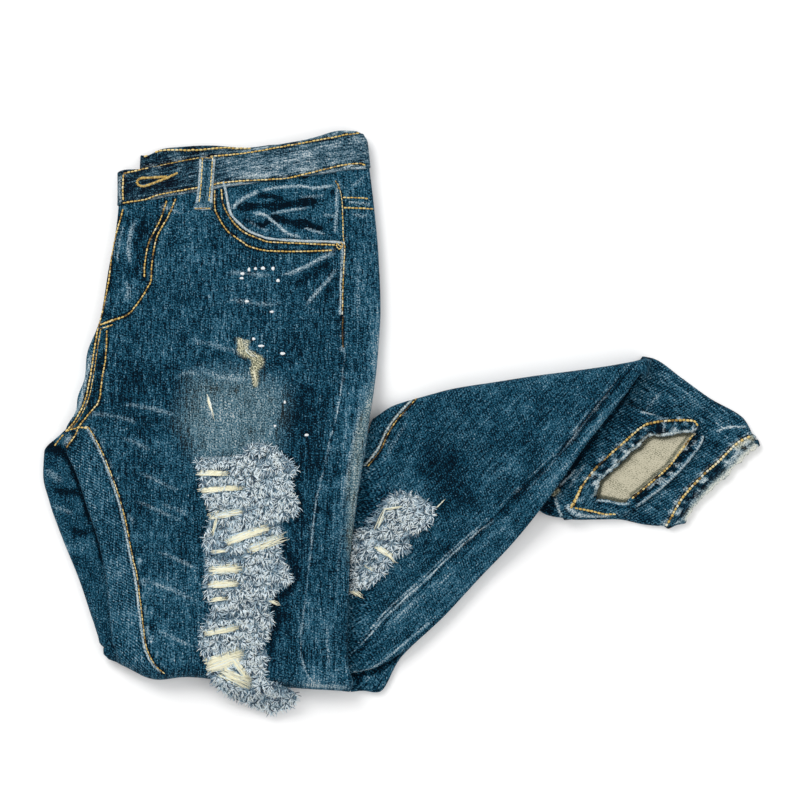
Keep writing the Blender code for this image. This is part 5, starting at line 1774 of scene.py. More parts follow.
@dataclass
class Thigh:
    """The upper stack, from the waist to the knee fold: the left leg lying on the right leg."""

    stack: Stack = field(default_factory=lambda: Stack(THIGH_ROWS, KNEE_REACH, (0.0, -1.0)))
    fine: float = 0.0010
    coarse: float = 0.0030
    rolls: int = 14
    finish: Denim = Denim("thigh_denim", tone=0.190)
    side_finish: Denim = Denim("thigh_back_denim", tone=0.225)
    under_finish: Denim = Denim("thigh_under_denim", tone=0.24)

    def top_touches(self) -> tuple[Touch, ...]:
        """All that shapes the upper face and colours it with fading, rubbing, painted light and painted
        shade.
        """
        return (Swell(0.5, 55, 21), *FADES_AND_SHADE, *WHISKERS, *FLY_CREASES, *SEAM_MARKS, *SIDE_MARKS, *TEAR_SHADE,
                *STITCH_GROOVE_SHADE, CORNER)

    def left_front(self) -> bpy.types.Object:
        """The left front, from the waist seam round the knee fold to the floor, with its pocket cut.

        Returns:
            The piece.
        """
        stack, cloth = self.stack, Cloth("left_front_cloth", self.top_touches())
        high = stack.stations(WAIST, FLY_END, self.fine)
        whole = stack.stations(WAIST, FOLD, self.fine, self.rolls)
        cloth.lay(stack.patch(Zone.LEFT_TOP, high))
        cloth.lay(stack.patch(Zone.LEFT_STRIP, high, 20))
        middle = stack.patch(Zone.MIDDLE, whole, 160)
        centres = (middle.points[1:, 1:, :2] + middle.points[:-1, :-1, :2]) / 2
        hole = np.array(POCKET_EDGE + ((-30, 152), (-30, 240), (-150, 240))) * MM
        keep = within(centres.reshape(-1, 2), hole).reshape(centres.shape[:2]) < 0.0004
        cloth.lay(middle, keep=keep)
        closing = whole[:-self.rolls - 2:-1]
        cloth.lay(self.under_fold(closing, 60))
        piece = stand_for(cloth.make(self.finish.material()), "denim", "left_front")
        declare(cloth)
        return piece

    def under_fold(self, closing: list[Station], columns: int) -> Patch:
        """The underside of the knee fold, from its edge back to the floor.

        Args:
            closing: The stations round the fold, from its end back.
            columns: How many columns it has.

        Returns:
            The patch.
        """
        points, cloth, free = [], [], []
        for station in closing:
            section = self.stack.section(station)
            across = np.linspace(section.seam_a, section.seam_b, columns + 1)
            points.append(section.under(across))
            cloth.append(self.stack.on_cloth(section, across, math.pi - station.roll))
            free.append(np.zeros(len(across)))
        return Patch(np.array(points), np.array(cloth), np.array(free))

    def facing(self) -> bpy.types.Object:
        """The pocket facing, sunk below the front and crushed.

        Returns:
            The piece.
        """
        cloth = Cloth("left_pocket_facing_cloth", FACING_CREASES)
        places = self.stack.stations(WAIST, POCKET_END, self.fine)
        sunk = [Station(place.along, 0.0, 0.0017) for place in places]
        patch = self.stack.patch(Zone.MIDDLE, sunk, 160)
        patch.free[:] = 1.0
        centres = (patch.points[1:, 1:, :2] + patch.points[:-1, :-1, :2]) / 2
        hole = np.array(POCKET_EDGE + ((-42, 152), (-42, 240), (-150, 240))) * MM
        keep = within(centres.reshape(-1, 2), hole).reshape(centres.shape[:2]) > -0.005
        cloth.lay(patch, keep=keep)
        finish = Denim("pocket_facing_denim", tone=0.23, streaks=0.7)
        piece = stand_for(cloth.make(finish.material()), "denim_inside", "left_pocket_facing")
        declare(cloth)
        return piece

    def inseam_side(self) -> bpy.types.Object:
        """The left back's strip at the inseam.

        Returns:
            The piece.
        """
        stack, cloth = self.stack, Cloth("left_back_inseam_side_cloth", self.top_touches())
        low = stack.stations(CROTCH, FOLD, self.fine, self.rolls)
        cloth.lay(stack.patch(Zone.LEFT_TOP, low))
        cloth.lay(stack.patch(Zone.LEFT_STRIP, low, 28))
        finish = Denim("inner_back_denim", tone=0.225, weave=0.26)
        piece = stand_for(cloth.make(finish.material()), "denim", "left_back_inseam_side")
        declare(cloth)
        return piece

    def bundle(self) -> bpy.types.Object:
        """The right back's edge, which bulges out beyond the left leg below the crotch.

        Returns:
            The piece.
        """
        stack, cloth = self.stack, Cloth("right_back_cloth", BUNDLE_SHADE_AND_LIGHT)
        low = stack.stations(CROTCH, FOLD, self.fine, self.rolls)
        lower = stack.patch(Zone.LEFT_LOW, low)
        cloth.lay(lower)
        cloth.lay(stack.patch(Zone.LEFT_WEB, low, 24))
        finish = Denim("right_back_denim", tone=0.20, streaks=0.6)
        piece = stand_for(cloth.make(finish.material()), "denim", "right_back")
        declare(cloth)
        return piece

    def right_front(self) -> bpy.types.Object:
        """The right front, on the floor, turned up round the centre fold above the crotch.

        Returns:
            The piece.
        """
        stack, cloth = self.stack, Cloth("right_front_cloth", self.top_touches())
        high = stack.stations(WAIST, FLY_END, self.coarse)
        turned = stack.stations(FLY_END, CROTCH, self.fine)
        low = stack.stations(CROTCH, FOLD, self.coarse)
        for places in (high, turned, low):
            cloth.lay(stack.patch(Zone.UNDER, places, 40))
            if places is not low:
                cloth.lay(stack.patch(Zone.LEFT_LOW, places))
        cloth.lay(stack.patch(Zone.LEFT_WEB, turned, 2))
        cloth.lay(stack.patch(Zone.LEFT_TOP, turned))
        cloth.lay(stack.patch(Zone.LEFT_STRIP, turned, 8))
        piece = stand_for(cloth.make(self.under_finish.material()), "denim", "right_front")
        declare(cloth)
        return piece

    def left_back(self) -> bpy.types.Object:
        """The left back beside the outseam, from the yoke round the knee fold.

        Returns:
            The piece.
        """
        stack, cloth = self.stack, Cloth("left_back_cloth", self.top_touches())
        places = stack.stations(YOKE, FOLD, self.fine, self.rolls)
        cloth.lay(stack.patch(Zone.RIGHT_STRIP, places, 32))
        cloth.lay(stack.patch(Zone.RIGHT_TOP, places))
        piece = stand_for(cloth.make(self.side_finish.material()), "denim", "left_back")
        declare(cloth)
        return piece

    def knee_corner(self) -> bpy.types.Object:
        """The left back's corner on the underside of the knee fold.

        Returns:
            The piece.
        """
        stack, cloth = self.stack, Cloth("left_back_knee_cloth", (CORNER,))
        closing = stack.stations(FOLD, FOLD, self.fine, self.rolls)
        for zone in (Zone.RIGHT_WEB, Zone.RIGHT_LOW):
            cloth.lay(stack.patch(zone, closing))
        points, flat = [], []
        for station in closing:
            section = stack.section(station)
            across = np.linspace(section.upper.length - section.round_r, section.seam_b, 11)
            points.append(section.under(across))
            flat.append(stack.on_cloth(section, across, station.roll))
        cloth.lay(Patch(np.array(points), np.array(flat), np.zeros((len(closing), 11))))
        piece = stand_for(cloth.make(self.side_finish.material()), "denim", "left_back_knee")
        declare(cloth)
        return piece

    def left_yoke(self) -> bpy.types.Object:
        """The left yoke beside the outseam.

        Returns:
            The piece.
        """
        stack, cloth = self.stack, Cloth("left_yoke_cloth", self.top_touches())
        places = stack.stations(WAIST, YOKE, self.fine)
        cloth.lay(stack.patch(Zone.RIGHT_STRIP, places, 24))
        cloth.lay(stack.patch(Zone.RIGHT_TOP, places))
        piece = stand_for(cloth.make(self.side_finish.material()), "denim", "left_yoke")
        declare(cloth)
        return piece

    def right_yoke(self) -> bpy.types.Object:
        """The right yoke, below the left one.

        Returns:
            The piece.
        """
        stack, cloth = self.stack, Cloth("right_yoke_cloth")
        cloth.lay(stack.patch(Zone.RIGHT_LOW, stack.stations(WAIST, YOKE, self.coarse)))
        piece = stand_for(cloth.make(self.under_finish.material()), "denim", "right_yoke")
        declare(cloth)
        return piece

    def right_back_side(self) -> bpy.types.Object:
        """The right back's edge, below the left back's.

        Returns:
            The piece.
        """
        stack, cloth = self.stack, Cloth("right_back_side_cloth", (Swell(0.4, 30, 33), CORNER))
        cloth.lay(stack.patch(Zone.RIGHT_LOW, stack.stations(YOKE, FOLD, self.coarse)))
        piece = stand_for(cloth.make(self.under_finish.material()), "denim", "right_back_side")
        declare(cloth)
        return piece

    def hidden(self) -> bpy.types.Object:
        """The layers inside, painted dark as shade where a gap shows them."""
        return hidden_layers("thigh_hidden_layers_cloth", self.stack, FOLD, self.rolls,
                             "thigh_hidden_layers", 0.0085, (CORNER,))

    def build(self) -> list[bpy.types.Object]:
        """All the thigh's pieces, those that carry stitches first.

        Returns:
            The pieces.
        """
        return [self.left_front(), self.inseam_side(), self.left_back(), self.left_yoke(),
                self.right_front(),
                self.bundle(), self.facing(), self.knee_corner(), self.right_yoke(), self.right_back_side(),
                self.hidden()]


HIDDEN_STEP = 0.003     # between the rows of the hidden layers
HIDDEN_INSET = 0.0022   # how far they lie inside the outer cloth
HIDDEN_FLOOR = 0.0008   # the lowest that they lie


def hidden_layers(name: str, stack: Stack, last: int, rolls: int, node: str, recess: float,
                  pulls: tuple[Touch, ...] = ()) -> bpy.types.Object:
    """The folded layers inside a stack, as one closed form.

    Args:
        name: The piece's name.
        stack: The stack that they fill.
        last: Its last row.
        rolls: How many stations go round its closing fold.
        node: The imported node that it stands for.
        recess: How far it stops short of the first row.
        pulls: What draws it aside.

    Returns:
        The piece.
    """
    places = [Station(max(place.along, recess), place.roll, HIDDEN_INSET)
              for place in stack.stations(0, last, HIDDEN_STEP, rolls)]
    cloth = Cloth(name, pulls)
    for zone, columns in ((Zone.LEFT_TOP, 0), (Zone.LEFT_STRIP, 4), (Zone.MIDDLE, 20),
                          (Zone.RIGHT_STRIP, 4),
                          (Zone.RIGHT_TOP, 0), (Zone.RIGHT_WEB, 0), (Zone.RIGHT_LOW, 0), (Zone.UNDER, 24),
                          (Zone.LEFT_LOW, 0), (Zone.LEFT_WEB, 1)):
        patch = stack.patch(zone, places, columns)
        patch.points[:, :, 2] = np.maximum(patch.points[:, :, 2], HIDDEN_FLOOR)
        # Painted shade: dark all over, and in a darker finish, since they show only in shadow.
        cloth.lay(patch, wear_and_shade=(0, 0, 0.9, 0))
    return stand_for(cloth.make(Denim(name.replace("cloth", "denim"), tone=0.18).material()), "denim", node)


BAND_STITCH_TOP = ((-233.4, 209.6), (-210, 214.9), (-190, 219.2), (-171.5, 222.8), (-153.8, 224.4),
                   (-127, 227.4), (-100, 232.2),
                   (-60, 239.5), (-47.2, 242.2), (-35, 243.6))
BAND_STITCH_LOW = ((-234, 185.0), (-215.2, 187.9), (-202.6, 192.0), (-171.5, 197.8), (-143.8, 202.7),
                   (-100.9, 205.3), (-84.1, 208.4), (-66.5, 212.7), (-49.7, 216.6), (-34.9, 218.2),
                   (-27.8, 215.6))
BAND_BEHIND = ((-216.5, 223.9), (-200.9, 229.5), (-173.2, 229.6), (-150.5, 231.6), (-139, 231.2),
               (-124.4, 231))
BAND_END = ((-233.2, 209), (-233.8, 196), (-233.2, 186.5))
BUTTONHOLE = ((-196.7, 207.1), (-202.6, 206.7), (-211, 206.2), (-218.4, 205.6), (-221.7, 203.2),
              (-220.4, 199.9),
              (-216, 199.1), (-210, 200.8), (-203, 203.6), (-196.7, 206.0), (-192, 208.2), (-187.5, 210.2))
# Painted shade in the grooves along the stitching, at the band's end and round the buttonhole.
BAND_TOUCHES = (
    Swell(0.7, 22, 51),
    Area(((-152, 240), (-152, 195), (-20, 210), (-20, 260)), 20, Tone.PALE, 0.38),
    Area(((-240, 215), (-240, 183), (-172, 192), (-172, 226)), 12, Tone.DARK, 0.28),
    Mark(((-136, 207.5), (-112, 209), (-90, 211.5), (-66, 217)), 2.4, 0.3, Tone.WHITE, 0.42, 0.1, 0.8),
    Mark(((-96, 226), (-70, 231), (-46, 237)), 2.2, 0.3, Tone.WHITE, 0.36, 0.1, 0.8),
    Rucks(BAND_STITCH_TOP, 3.2, 5.0, 0.35, 0.42, 52, 0.12),
    Rucks(BAND_STITCH_LOW, 3.2, 5.0, 0.35, 0.42, 53, 0.12),
    Mark(shifted(BAND_STITCH_TOP, 0, 2.4), 1.1, 0.2, Tone.WHITE, 0.45, 0.02, 0.6),
    Mark(shifted(BAND_STITCH_LOW, 0, -3.2), 1.2, 0.2, Tone.WHITE, 0.9, 0.02, 0.6),
    Mark(BAND_STITCH_LOW, 1.7, -0.1, Tone.DARK, 0.7, 0.02),
    Mark(BAND_STITCH_TOP, 1.6, -0.1, Tone.DARK, 0.6, 0.02),
    Mark(BAND_END, 1.5, -0.1, Tone.DARK, 0.6, 0.02),
    Mark(((-236.2, 208), (-236.6, 196), (-235.6, 184)), 1.3, 0.2, Tone.WHITE, 0.6, 0.1),
    Mark(((-140, 212), (-110, 216), (-86, 222), (-60, 228)), 2.6, 0.7, Tone.WHITE, 0.30),
    Mark(((-146, 206), (-128, 207), (-108, 209)), 1.8, 0.5, Tone.WHITE, 0.40),
    Mark(((-132, 222), (-110, 225), (-84, 230)), 2.0, -0.5, Tone.DARK, 0.35),
    Mark(((-70, 221), (-52, 225), (-38, 229)), 2.4, -0.6, Tone.DARK, 0.35),
    Mark(((-226, 196), (-206, 196), (-184, 203)), 2.6, -0.4, Tone.DARK, 0.40),
    Mark(((-218, 202.4), (-208, 203.6), (-199, 205.4)), 1.1, -0.6, Tone.DARK, 1.0, 0.1),
    Mark(((-228, 199), (-214, 196.5), (-196, 202), (-186, 207)), 2.4, 0.0, Tone.DARK, 0.5),
)
BEHIND_PULLS = (
    Pull((-127, 236.3), (0, -5.0), (26, 8)), Pull((-214.3, 228.7), (0, -5.0), (9, 8)),
    Pull((-93.4, 238), (0, -3.0), (16, 8)),
)
LOOP_ROWS = 40          # down the belt loop
LOOP_POINTS = 17        # across it


@dataclass
class Waist:
    """The waistband of both legs, the belt loop, and the turned edge of the pocket."""

    stack: Stack
    columns: int = 128
    spacing: float = 0.0014
    inside: float = 0.0090
    thick: float = 0.0018
    proud: float = 0.0010

    def rim(self) -> list[Station]:
        """Stations from inside the band, over its upper edge, and down to its turned lower edge.

        Returns:
            The stations in order.
        """
        end = float(self.stack.keys[WAIST])
        places = [(self.inside, self.thick), (0.004, self.thick), (0.0012, self.thick),
                  (0.0005, self.thick * 0.7),
                  (0.0, 0.0004), (0.0002, -self.proud * 0.5), (0.0009, -self.proud)]
        middle = np.arange(0.0022, end - 0.0022, self.spacing)
        places += [(float(place), -self.proud) for place in middle]
        places += [(end - 0.0010, -self.proud), (end - 0.0003, -self.proud * 0.7), (end, -0.0001),
                   (end + 0.0004, 0.0010)]
        return [Station(along, 0.0, inset) for along, inset in places]

    def band(self, upper: bool) -> bpy.types.Object:
        """One leg's part of the waistband.

        Args:
            upper: The upper leg rather than the lower.

        Returns:
            The piece.
        """
        side = "left" if upper else "right"
        cloth = Cloth(f"{side}_waistband_cloth", BAND_TOUCHES if upper else BAND_TOUCHES + BEHIND_PULLS)
        patch = self.stack.loop(self.rim(), upper, self.columns)
        patch.free[:5] = 0
        patch.free[-3:] = 0
        cloth.lay(patch)
        finish = Denim(f"{side}_waistband_denim", tone=0.24 if upper else 0.18, streaks=1.3, across=True,
                       grey=0.7)
        piece = stand_for(cloth.make(finish.material()), "worn_denim", f"{side}_waistband")
        declare(cloth)
        return piece

    def belt_loop(self, ground: Ground) -> bpy.types.Object:
        """The belt loop, ridged along both edges and flared at its foot.

        Args:
            ground: What it lies on.

        Returns:
            The piece.
        """
        shares = np.linspace(-1, 1, LOOP_POINTS)
        profile = np.interp(np.abs(shares), (0, 0.45, 0.72, 0.88, 1.0), (1.5, 1.45, 2.1, 2.0, 0.9)) * MM
        rows = np.linspace(225.4, 178.8, LOOP_ROWS)
        keys = (178.8, 181.0, 186, 200, 214, 225.4)
        middle = np.interp(rows, keys, (-166.6, -166.3, -165.2, -164, -163, -162.4))
        half = np.interp(rows, keys, (8.4, 8.4, 7.2, 6.6, 6.7, 7.4))
        points, flat = [], []
        for number, (y, x, wide) in enumerate(zip(rows, middle, half)):
            line = np.column_stack([x + shares * wide, np.full(LOOP_POINTS, y) + 0.9 * np.abs(shares)]) * MM
            base = ground.heights(line[[2, 8, 14]]).max()
            end = 0.35 if number in (0, LOOP_ROWS - 1) else 1.0
            height = base + profile * end + 0.0005 * math.sin(math.pi * number / (LOOP_ROWS - 1))
            height[[0, -1]] = [ground.height(*line[k]) - 0.0002 for k in (0, -1)]
            row = np.column_stack([line, height])
            along = np.cumsum(np.linalg.norm(np.diff(row, axis=0, prepend=row[:1]), axis=1))
            points.append(row)
            flat.append(np.column_stack([-line[:, 1], along]))
        touches = (
            Mark(((-168.6, 223), (-169.6, 205), (-171.6, 184)), 1.3, 0, Tone.WHITE, 0.85, 0.05),
            Mark(((-156.2, 223), (-157.4, 205), (-159.6, 184)), 1.3, 0, Tone.WHITE, 0.85, 0.05),
            Mark(((-162.6, 222), (-163.6, 205), (-165.8, 184)), 1.0, 0, Tone.DARK, 0.55, 0.05),
            Mark(((-174, 179.6), (-159, 179.6)), 1.4, 0, Tone.WHITE, 0.7, 0.05),
            Mark(((-169, 224.6), (-156, 224.8)), 1.2, 0, Tone.WHITE, 0.5, 0.05),
        )
        cloth = Cloth("left_front_belt_loop_cloth", touches)
        cloth.lay(Patch(np.array(points), np.array(flat), np.zeros((LOOP_ROWS, LOOP_POINTS))))
        finish = Denim("belt_loop_denim", tone=0.38, streaks=0.7, grey=0.4)
        piece = stand_for(cloth.make(finish.material()), "worn_denim", "left_front_belt_loop")
        declare(cloth)
        return piece

    def pocket_lip(self, ground: Ground) -> bpy.types.Object:
        """The rounded, rubbed edge of the pocket opening.

        Args:
            ground: What it lies on.

        Returns:
            The piece.
        """
        line = flowing(POCKET_EDGE, 0.0011)
        heights = ground.heights(beside(line, -0.0012))
        heights = np.convolve(np.pad(heights, 3, mode="edge"), np.ones(7) / 7, "valid")
        turns = np.linspace(-0.15, 1.05, 9) * math.pi
        points, flat = [], []
        along = np.concatenate([[0.0], np.cumsum(np.linalg.norm(np.diff(line, axis=0), axis=1))])
        rng = np.random.default_rng(61)
        uneven = np.interp(along, np.arange(0, 0.2, 0.004), rng.uniform(0.8, 1.25, 50))
        for turn in turns:
            moved = beside(line, 0.0001 + 0.0010 * uneven[:, None] * math.cos(turn))
            height = heights - 0.0003 + 0.0009 * uneven * max(math.sin(turn), -0.8)
            points.append(np.column_stack([moved, height]))
            flat.append(np.column_stack([along, np.full(len(line), turn * 0.0016)]))
        cloth = Cloth("left_pocket_edge")
        cloth.lay(Patch(np.array(points), np.array(flat), np.zeros((9, len(line)))), wear_and_shade=(0.3, 0.8, 0, 0))
        piece = cloth.make(Denim("pocket_edge_denim", tone=0.32, streaks=0.8, across=True).material())
        return stand_for(piece, "worn_denim")


SHIN_INSEAM = ((12.5, 20.6), (11.5, 19.2), (-2.4, 4.2), (-11, -8.7), (-17.4, -22.5), (-29.2, -37.6))
SHIN_OUTSEAM = ((-38.8, -191.3), (-27, -178.7), (-7.7, -156.9), (21.7, -130.8), (40.2, -112.3),
                (74.6, -82.6),
                (98.2, -57.7), (133.4, -23.3), (157, 6.1), (193.1, 50.6))
TUCK = Pull((-42.1, -194.7), (-5, 0), (14, 26))
# The dark area is a stain; the dark lines along the seams are painted shade in their grooves.
SHIN_TOUCHES = (
    TUCK,
    Mark(((-43, -208.6), (-33, -209), (-18, -202), (-2, -189), (11, -178), (26, -166)), 0.9, 0.2,
         Tone.WHITE, 0.6, 0.05),
    Swell(0.6, 48, 71),
    Area(((18, -14), (44, -14), (62, -40), (60, -70), (40, -70), (22, -48)), 26, Tone.DARK, 0.42),
    Mark(SHIN_OUTSEAM[:6], 0.8, 0.45, Tone.WHITE, 1.05, 0.1, 0.6),
    Mark(shifted(SHIN_OUTSEAM[:6], -1.9, 2.1), 0.8, 0.3, Tone.WHITE, 0.60, 0.1, 0.6),
    Mark(SHIN_OUTSEAM[4:], 1.0, -0.4, Tone.DARK, 0.85, 0.1, 0.4),
    Mark(shifted(SHIN_OUTSEAM[5:], -1.8, 1.8), 0.8, 0.3, Tone.WHITE, 0.35, 0.1, 0.8),
    Mark(shifted(SHIN_OUTSEAM, 1.9, -1.9), 1.2, -0.35, Tone.DARK, 0.45, 0.02, 0.4),
    Mark(shifted(SHIN_OUTSEAM, 7, -7), 3.2, 0.3, Tone.PALE, 0.22, 0.1),
    Rucks(SHIN_OUTSEAM, 4.0, 7.0, 0.35, 0.30, 72),
    Mark(shifted(SHIN_INSEAM, -2.0, 1.2), 0.65, 0.5, Tone.WHITE, 1.15, 0.03, 0.3),
    Mark(shifted(SHIN_INSEAM, -2.0, 1.2), 0.8, 0.0, Tone.BEIGE, 0.5, 0.03, 0.3),
    Mark(shifted(SHIN_INSEAM, 0.4, -0.3), 1.1, -0.3, Tone.DARK, 0.80, 0.03),
    Mark(shifted(SHIN_INSEAM, -3.8, 2.4), 0.9, -0.3, Tone.DARK, 0.50, 0.03),
    Rucks(SHIN_INSEAM, 4.6, 5.5, 0.45, 0.40, 73, 0.12),
    Mark(((10, 8), (2, -4), (-8, -20), (-18, -38)), 2.4, 0.4, Tone.WHITE, 0.22),
    Mark(((-8, -150), (16, -126), (44, -100), (80, -68)), 2.6, -0.3, Tone.DARK, 0.20),
    Mark(((44, -76), (80, -44), (116, -10), (146, 22)), 3.0, 0.4, Tone.PALE, 0.20),
    Mark(((66, 30), (100, 34), (140, 40), (176, 46)), 3.4, 0.0, Tone.PALE, 0.25),
    Mark(((186, 44), (170, 22), (150, -4), (128, -32), (100, -62)), 1.2, 0.25, Tone.WHITE, 0.22, 0.1),
    Mark(((196, 50), (182, 32), (160, 4), (136, -26)), 1.6, -0.4, Tone.DARK, 0.28, 0.1),
    Mark(((-24, -201), (-8, -193), (8, -181), (30, -162), (66, -126)), 1.5, 0.3, Tone.PALE, 0.35, 0.05),
    Mark(((120, -60), (156, -10), (186, 26)), 1.4, 0.3, Tone.PALE, 0.28, 0.05),
    Mark(((-20, -176), (0, -160), (24, -138)), 2.2, 0.4, Tone.WHITE, 0.25),
)
LOWER_PULLS = (TUCK, Pull((-39.6, -219), (-4, -5), (12, 10)), Pull((-18.6, -219), (-1, -6), (13, 10)))
FOLD_SHADE = (
    *LOWER_PULLS, Swell(0.5, 24, 75),
    Mark(((-44, -211), (-33, -212), (-18, -206), (-2, -193), (11, -182), (26, -170)), 2.4, -0.6, Tone.DARK,
         1.2, 0.02),
)


@dataclass
class Shin:
    """The middle stack, from the knee fold to the calf fold: the right leg lying on the left leg."""

    stack: Stack = field(default_factory=lambda: Stack(SHIN_ROWS, CALF_REACH, (0.69, 0.724)))
    fine: float = 0.0011
    coarse: float = 0.0035
    rolls: int = 10
    finish: Denim = Denim("shin_denim", tone=0.20, streaks=0.75, weave=0.14)
    back_finish: Denim = Denim("shin_back_denim", tone=0.225, streaks=0.75, weave=0.14)
    under_finish: Denim = Denim("shin_under_denim", tone=0.24)

    def right_front(self) -> bpy.types.Object:
        """The right front over the shin, round the calf fold at the top.

        Returns:
            The piece.
        """
        stack, cloth = self.stack, Cloth("right_front_shin_cloth", SHIN_TOUCHES)
        places = stack.stations(0, APEX, self.fine, self.rolls)
        cloth.lay(stack.patch(Zone.MIDDLE, places, 150))
        turned = stack.stations(TURN, APEX, self.fine, self.rolls)
        cloth.lay(stack.patch(Zone.RIGHT_STRIP, turned, 20))
        for zone in (Zone.RIGHT_TOP, Zone.RIGHT_WEB, Zone.RIGHT_LOW):
            cloth.lay(stack.patch(zone, turned))
        piece = stand_for(cloth.make(self.finish.material()), "denim", "right_front_shin")
        declare(cloth)
        return piece

    def right_back(self) -> bpy.types.Object:
        """The right back's strip along the shin's lower edge.

        Returns:
            The piece.
        """
        stack, cloth = self.stack, Cloth("right_back_shin_cloth", SHIN_TOUCHES)
        places = stack.stations(0, APEX, self.fine, self.rolls)
        cloth.lay(stack.patch(Zone.LEFT_TOP, places))
        cloth.lay(stack.patch(Zone.LEFT_STRIP, places, 24))
        piece = stand_for(cloth.make(self.back_finish.material()), "denim", "right_back_shin")
        declare(cloth)
        return piece

    def left_back(self) -> bpy.types.Object:
        """The left back's edge, which shows below the right leg at the knee.

        Returns:
            The piece.
        """
        stack, cloth = self.stack, Cloth("left_back_shin_cloth", FOLD_SHADE)
        places = stack.stations(0, APEX, self.fine, self.rolls)
        cloth.lay(stack.patch(Zone.LEFT_LOW, places))
        cloth.lay(stack.patch(Zone.LEFT_WEB, places, 8))
        piece = stand_for(cloth.make(self.under_finish.material()), "denim", "left_back_shin")
        declare(cloth)
        return piece

    def calf(self, upper: bool) -> bpy.types.Object:
        """One leg's back beside the thigh, at the top of the calf.

        Args:
            upper: The right, upper leg.

        Returns:
            The piece.
        """
        side = "right" if upper else "left"
        stack, cloth = self.stack, Cloth(f"{side}_back_calf_cloth", SHIN_TOUCHES if upper else (TUCK,))
        places = stack.stations(0, TURN, self.fine)
        zones = ((Zone.RIGHT_STRIP, 14), (Zone.RIGHT_TOP, 0)) if upper else ((Zone.RIGHT_LOW, 0),)
        for zone, columns in zones:
            cloth.lay(stack.patch(zone, places, columns))
        piece = stand_for(cloth.make(self.back_finish.material()), "denim", f"{side}_back_calf")
        declare(cloth)
        return piece

    def underside(self, after: bool) -> bpy.types.Object:
        """The underside of the left leg before the calf fold, or of the right leg after it.

        Args:
            after: After the calf fold.

        Returns:
            The piece.
        """
        name = "right_front_calf" if after else "left_front_shin"
        stack, cloth = self.stack, Cloth(f"{name}_cloth", LOWER_PULLS)
        if after:
            places = stack.stations(BURIED, APEX, self.coarse, self.rolls)
        else:
            places = stack.stations(0, BURIED, self.coarse)
        cloth.lay(stack.patch(Zone.UNDER, places, 30))
        piece = stand_for(cloth.make(self.under_finish.material()), "denim", name)
        declare(cloth)
        return piece

    def build(self) -> list[bpy.types.Object]:
        """All the shin's pieces, those that carry stitches first.

        Returns:
            The pieces.
        """
        hidden = hidden_layers("shin_hidden_layers_cloth", self.stack, APEX, self.rolls,
                               "shin_hidden_layers", 0.0, LOWER_PULLS)
        return [self.right_front(), self.right_back(), self.left_back(), self.calf(True), self.calf(False),
                self.underside(False), self.underside(True), hidden]


# Where the leg's end meets each hem, and the rim of the open mouth's lower half.
HEM_JOIN = ((221.5, -86.6), (223.6, -83.4), (235.8, -62.3), (251.7, -44.6), (266.8, -31.2),
            (281.1, -16.9), (295.6, -8.6))
MOUTH_JOIN = ((135.5, -79.6), (143, -69.6), (151.4, -52), (165.2, -35.6), (183, -19.6), (200.8, -4.2),
              (212, 1.6), (230, 5.4), (243, 5.0), (250.4, -2))
LOW_RIM = ((191.4, -75.2), (200.6, -68.2), (217.8, -55.8), (235, -39.6), (250.2, -21.4), (254.8, -10.4))
HEM_STITCH = ((222.5, -85.8), (224.7, -83.8), (236.8, -62.8), (252.7, -45.1), (267.8, -31.7),
              (282.1, -17.4),
              (295.6, -10.0))
MOUTH_STITCH = ((141.5, -71), (145.2, -68.2), (153.6, -50.6), (167, -34.2), (184.7, -18.3), (202.3, -3.1),
                (212.4, 0.6), (230, 2.4), (245.2, 1.9), (249.5, -2.3))
MOUTH_LOW_STITCH = ((245.8, -9.5), (236, -22), (225.8, -35.9), (210, -50), (193.9, -63.6))
HEM_WORN = ((239.6, -83), (243, -76), (249.6, -67.4), (261, -54.6), (275, -41.4), (288, -28.4),
            (299.6, -17.4))
MOUTH_UNDER_STITCH = ((145.7, -71.3), (159.1, -73.6), (169.6, -76.2), (183, -76.8))
CALF_SHADE = Mark(((207, 50), (193, 30), (187, 19.4), (172, 0), (157.6, -18.2), (140, -43), (124, -66),
                   (113, -80)),
                  1.7, -0.2, Tone.DARK, 1.3, 0.04)
LIP_RIM = ((150, -68), (158, -66.4), (165.4, -64.9), (174, -65.5), (184, -67.8), (193, -67.4))
# A pale fold at the mouth's corner, with painted shade in the crease beside it.
MOUTH_SMILE = (
    Mark(((139, -68), (142, -72), (147, -76), (155.3, -78.4), (166.2, -79.2), (177, -77.6)), 1.9, 0.6,
         Tone.WHITE, 0.85, 0.08),
    Mark(((137, -70), (140, -75.4), (147, -80)), 1.0, -0.5, Tone.DARK, 0.9, 0.1),
)


@dataclass(frozen=True)
class Rung:
    """A line across a leg's end, from its lower side to its upper one, and the cloth's height there."""

    path: Path
    height: float


LIP = (Rung(((150, -67), (158, -65.2), (165.4, -63.6), (174, -64.2), (184, -66.6), (193.6, -66.2)), 10.2),
       Rung(((150, -67.6), (158, -65.9), (165.4, -64.3), (174, -64.9), (184, -67.3), (193.4, -66.9)), 12.0),
       Rung(((149.6, -69.4), (158, -68), (166, -66.6), (174.6, -67), (184, -69), (192.8, -68.6)), 12.7),
       Rung(((148.6, -73), (158, -72.4), (167, -71.6), (176, -71.8), (184, -72.6), (192.2, -71.8)), 12.6),
       Rung(((147, -77.6), (157, -77.4), (167, -77), (177, -76.8), (184.4, -76.6), (191.8, -75)), 10.6),
       Rung(((146.4, -79.4), (156.6, -79.5), (167, -79.4), (177, -79), (184.6, -78.4), (191.6, -75.9)),
            7.2),
       Rung(((146.6, -79.2), (156.8, -79.3), (167, -79.2), (177, -78.8), (184.6, -78.2), (191.4, -75.8)),
            5.9))


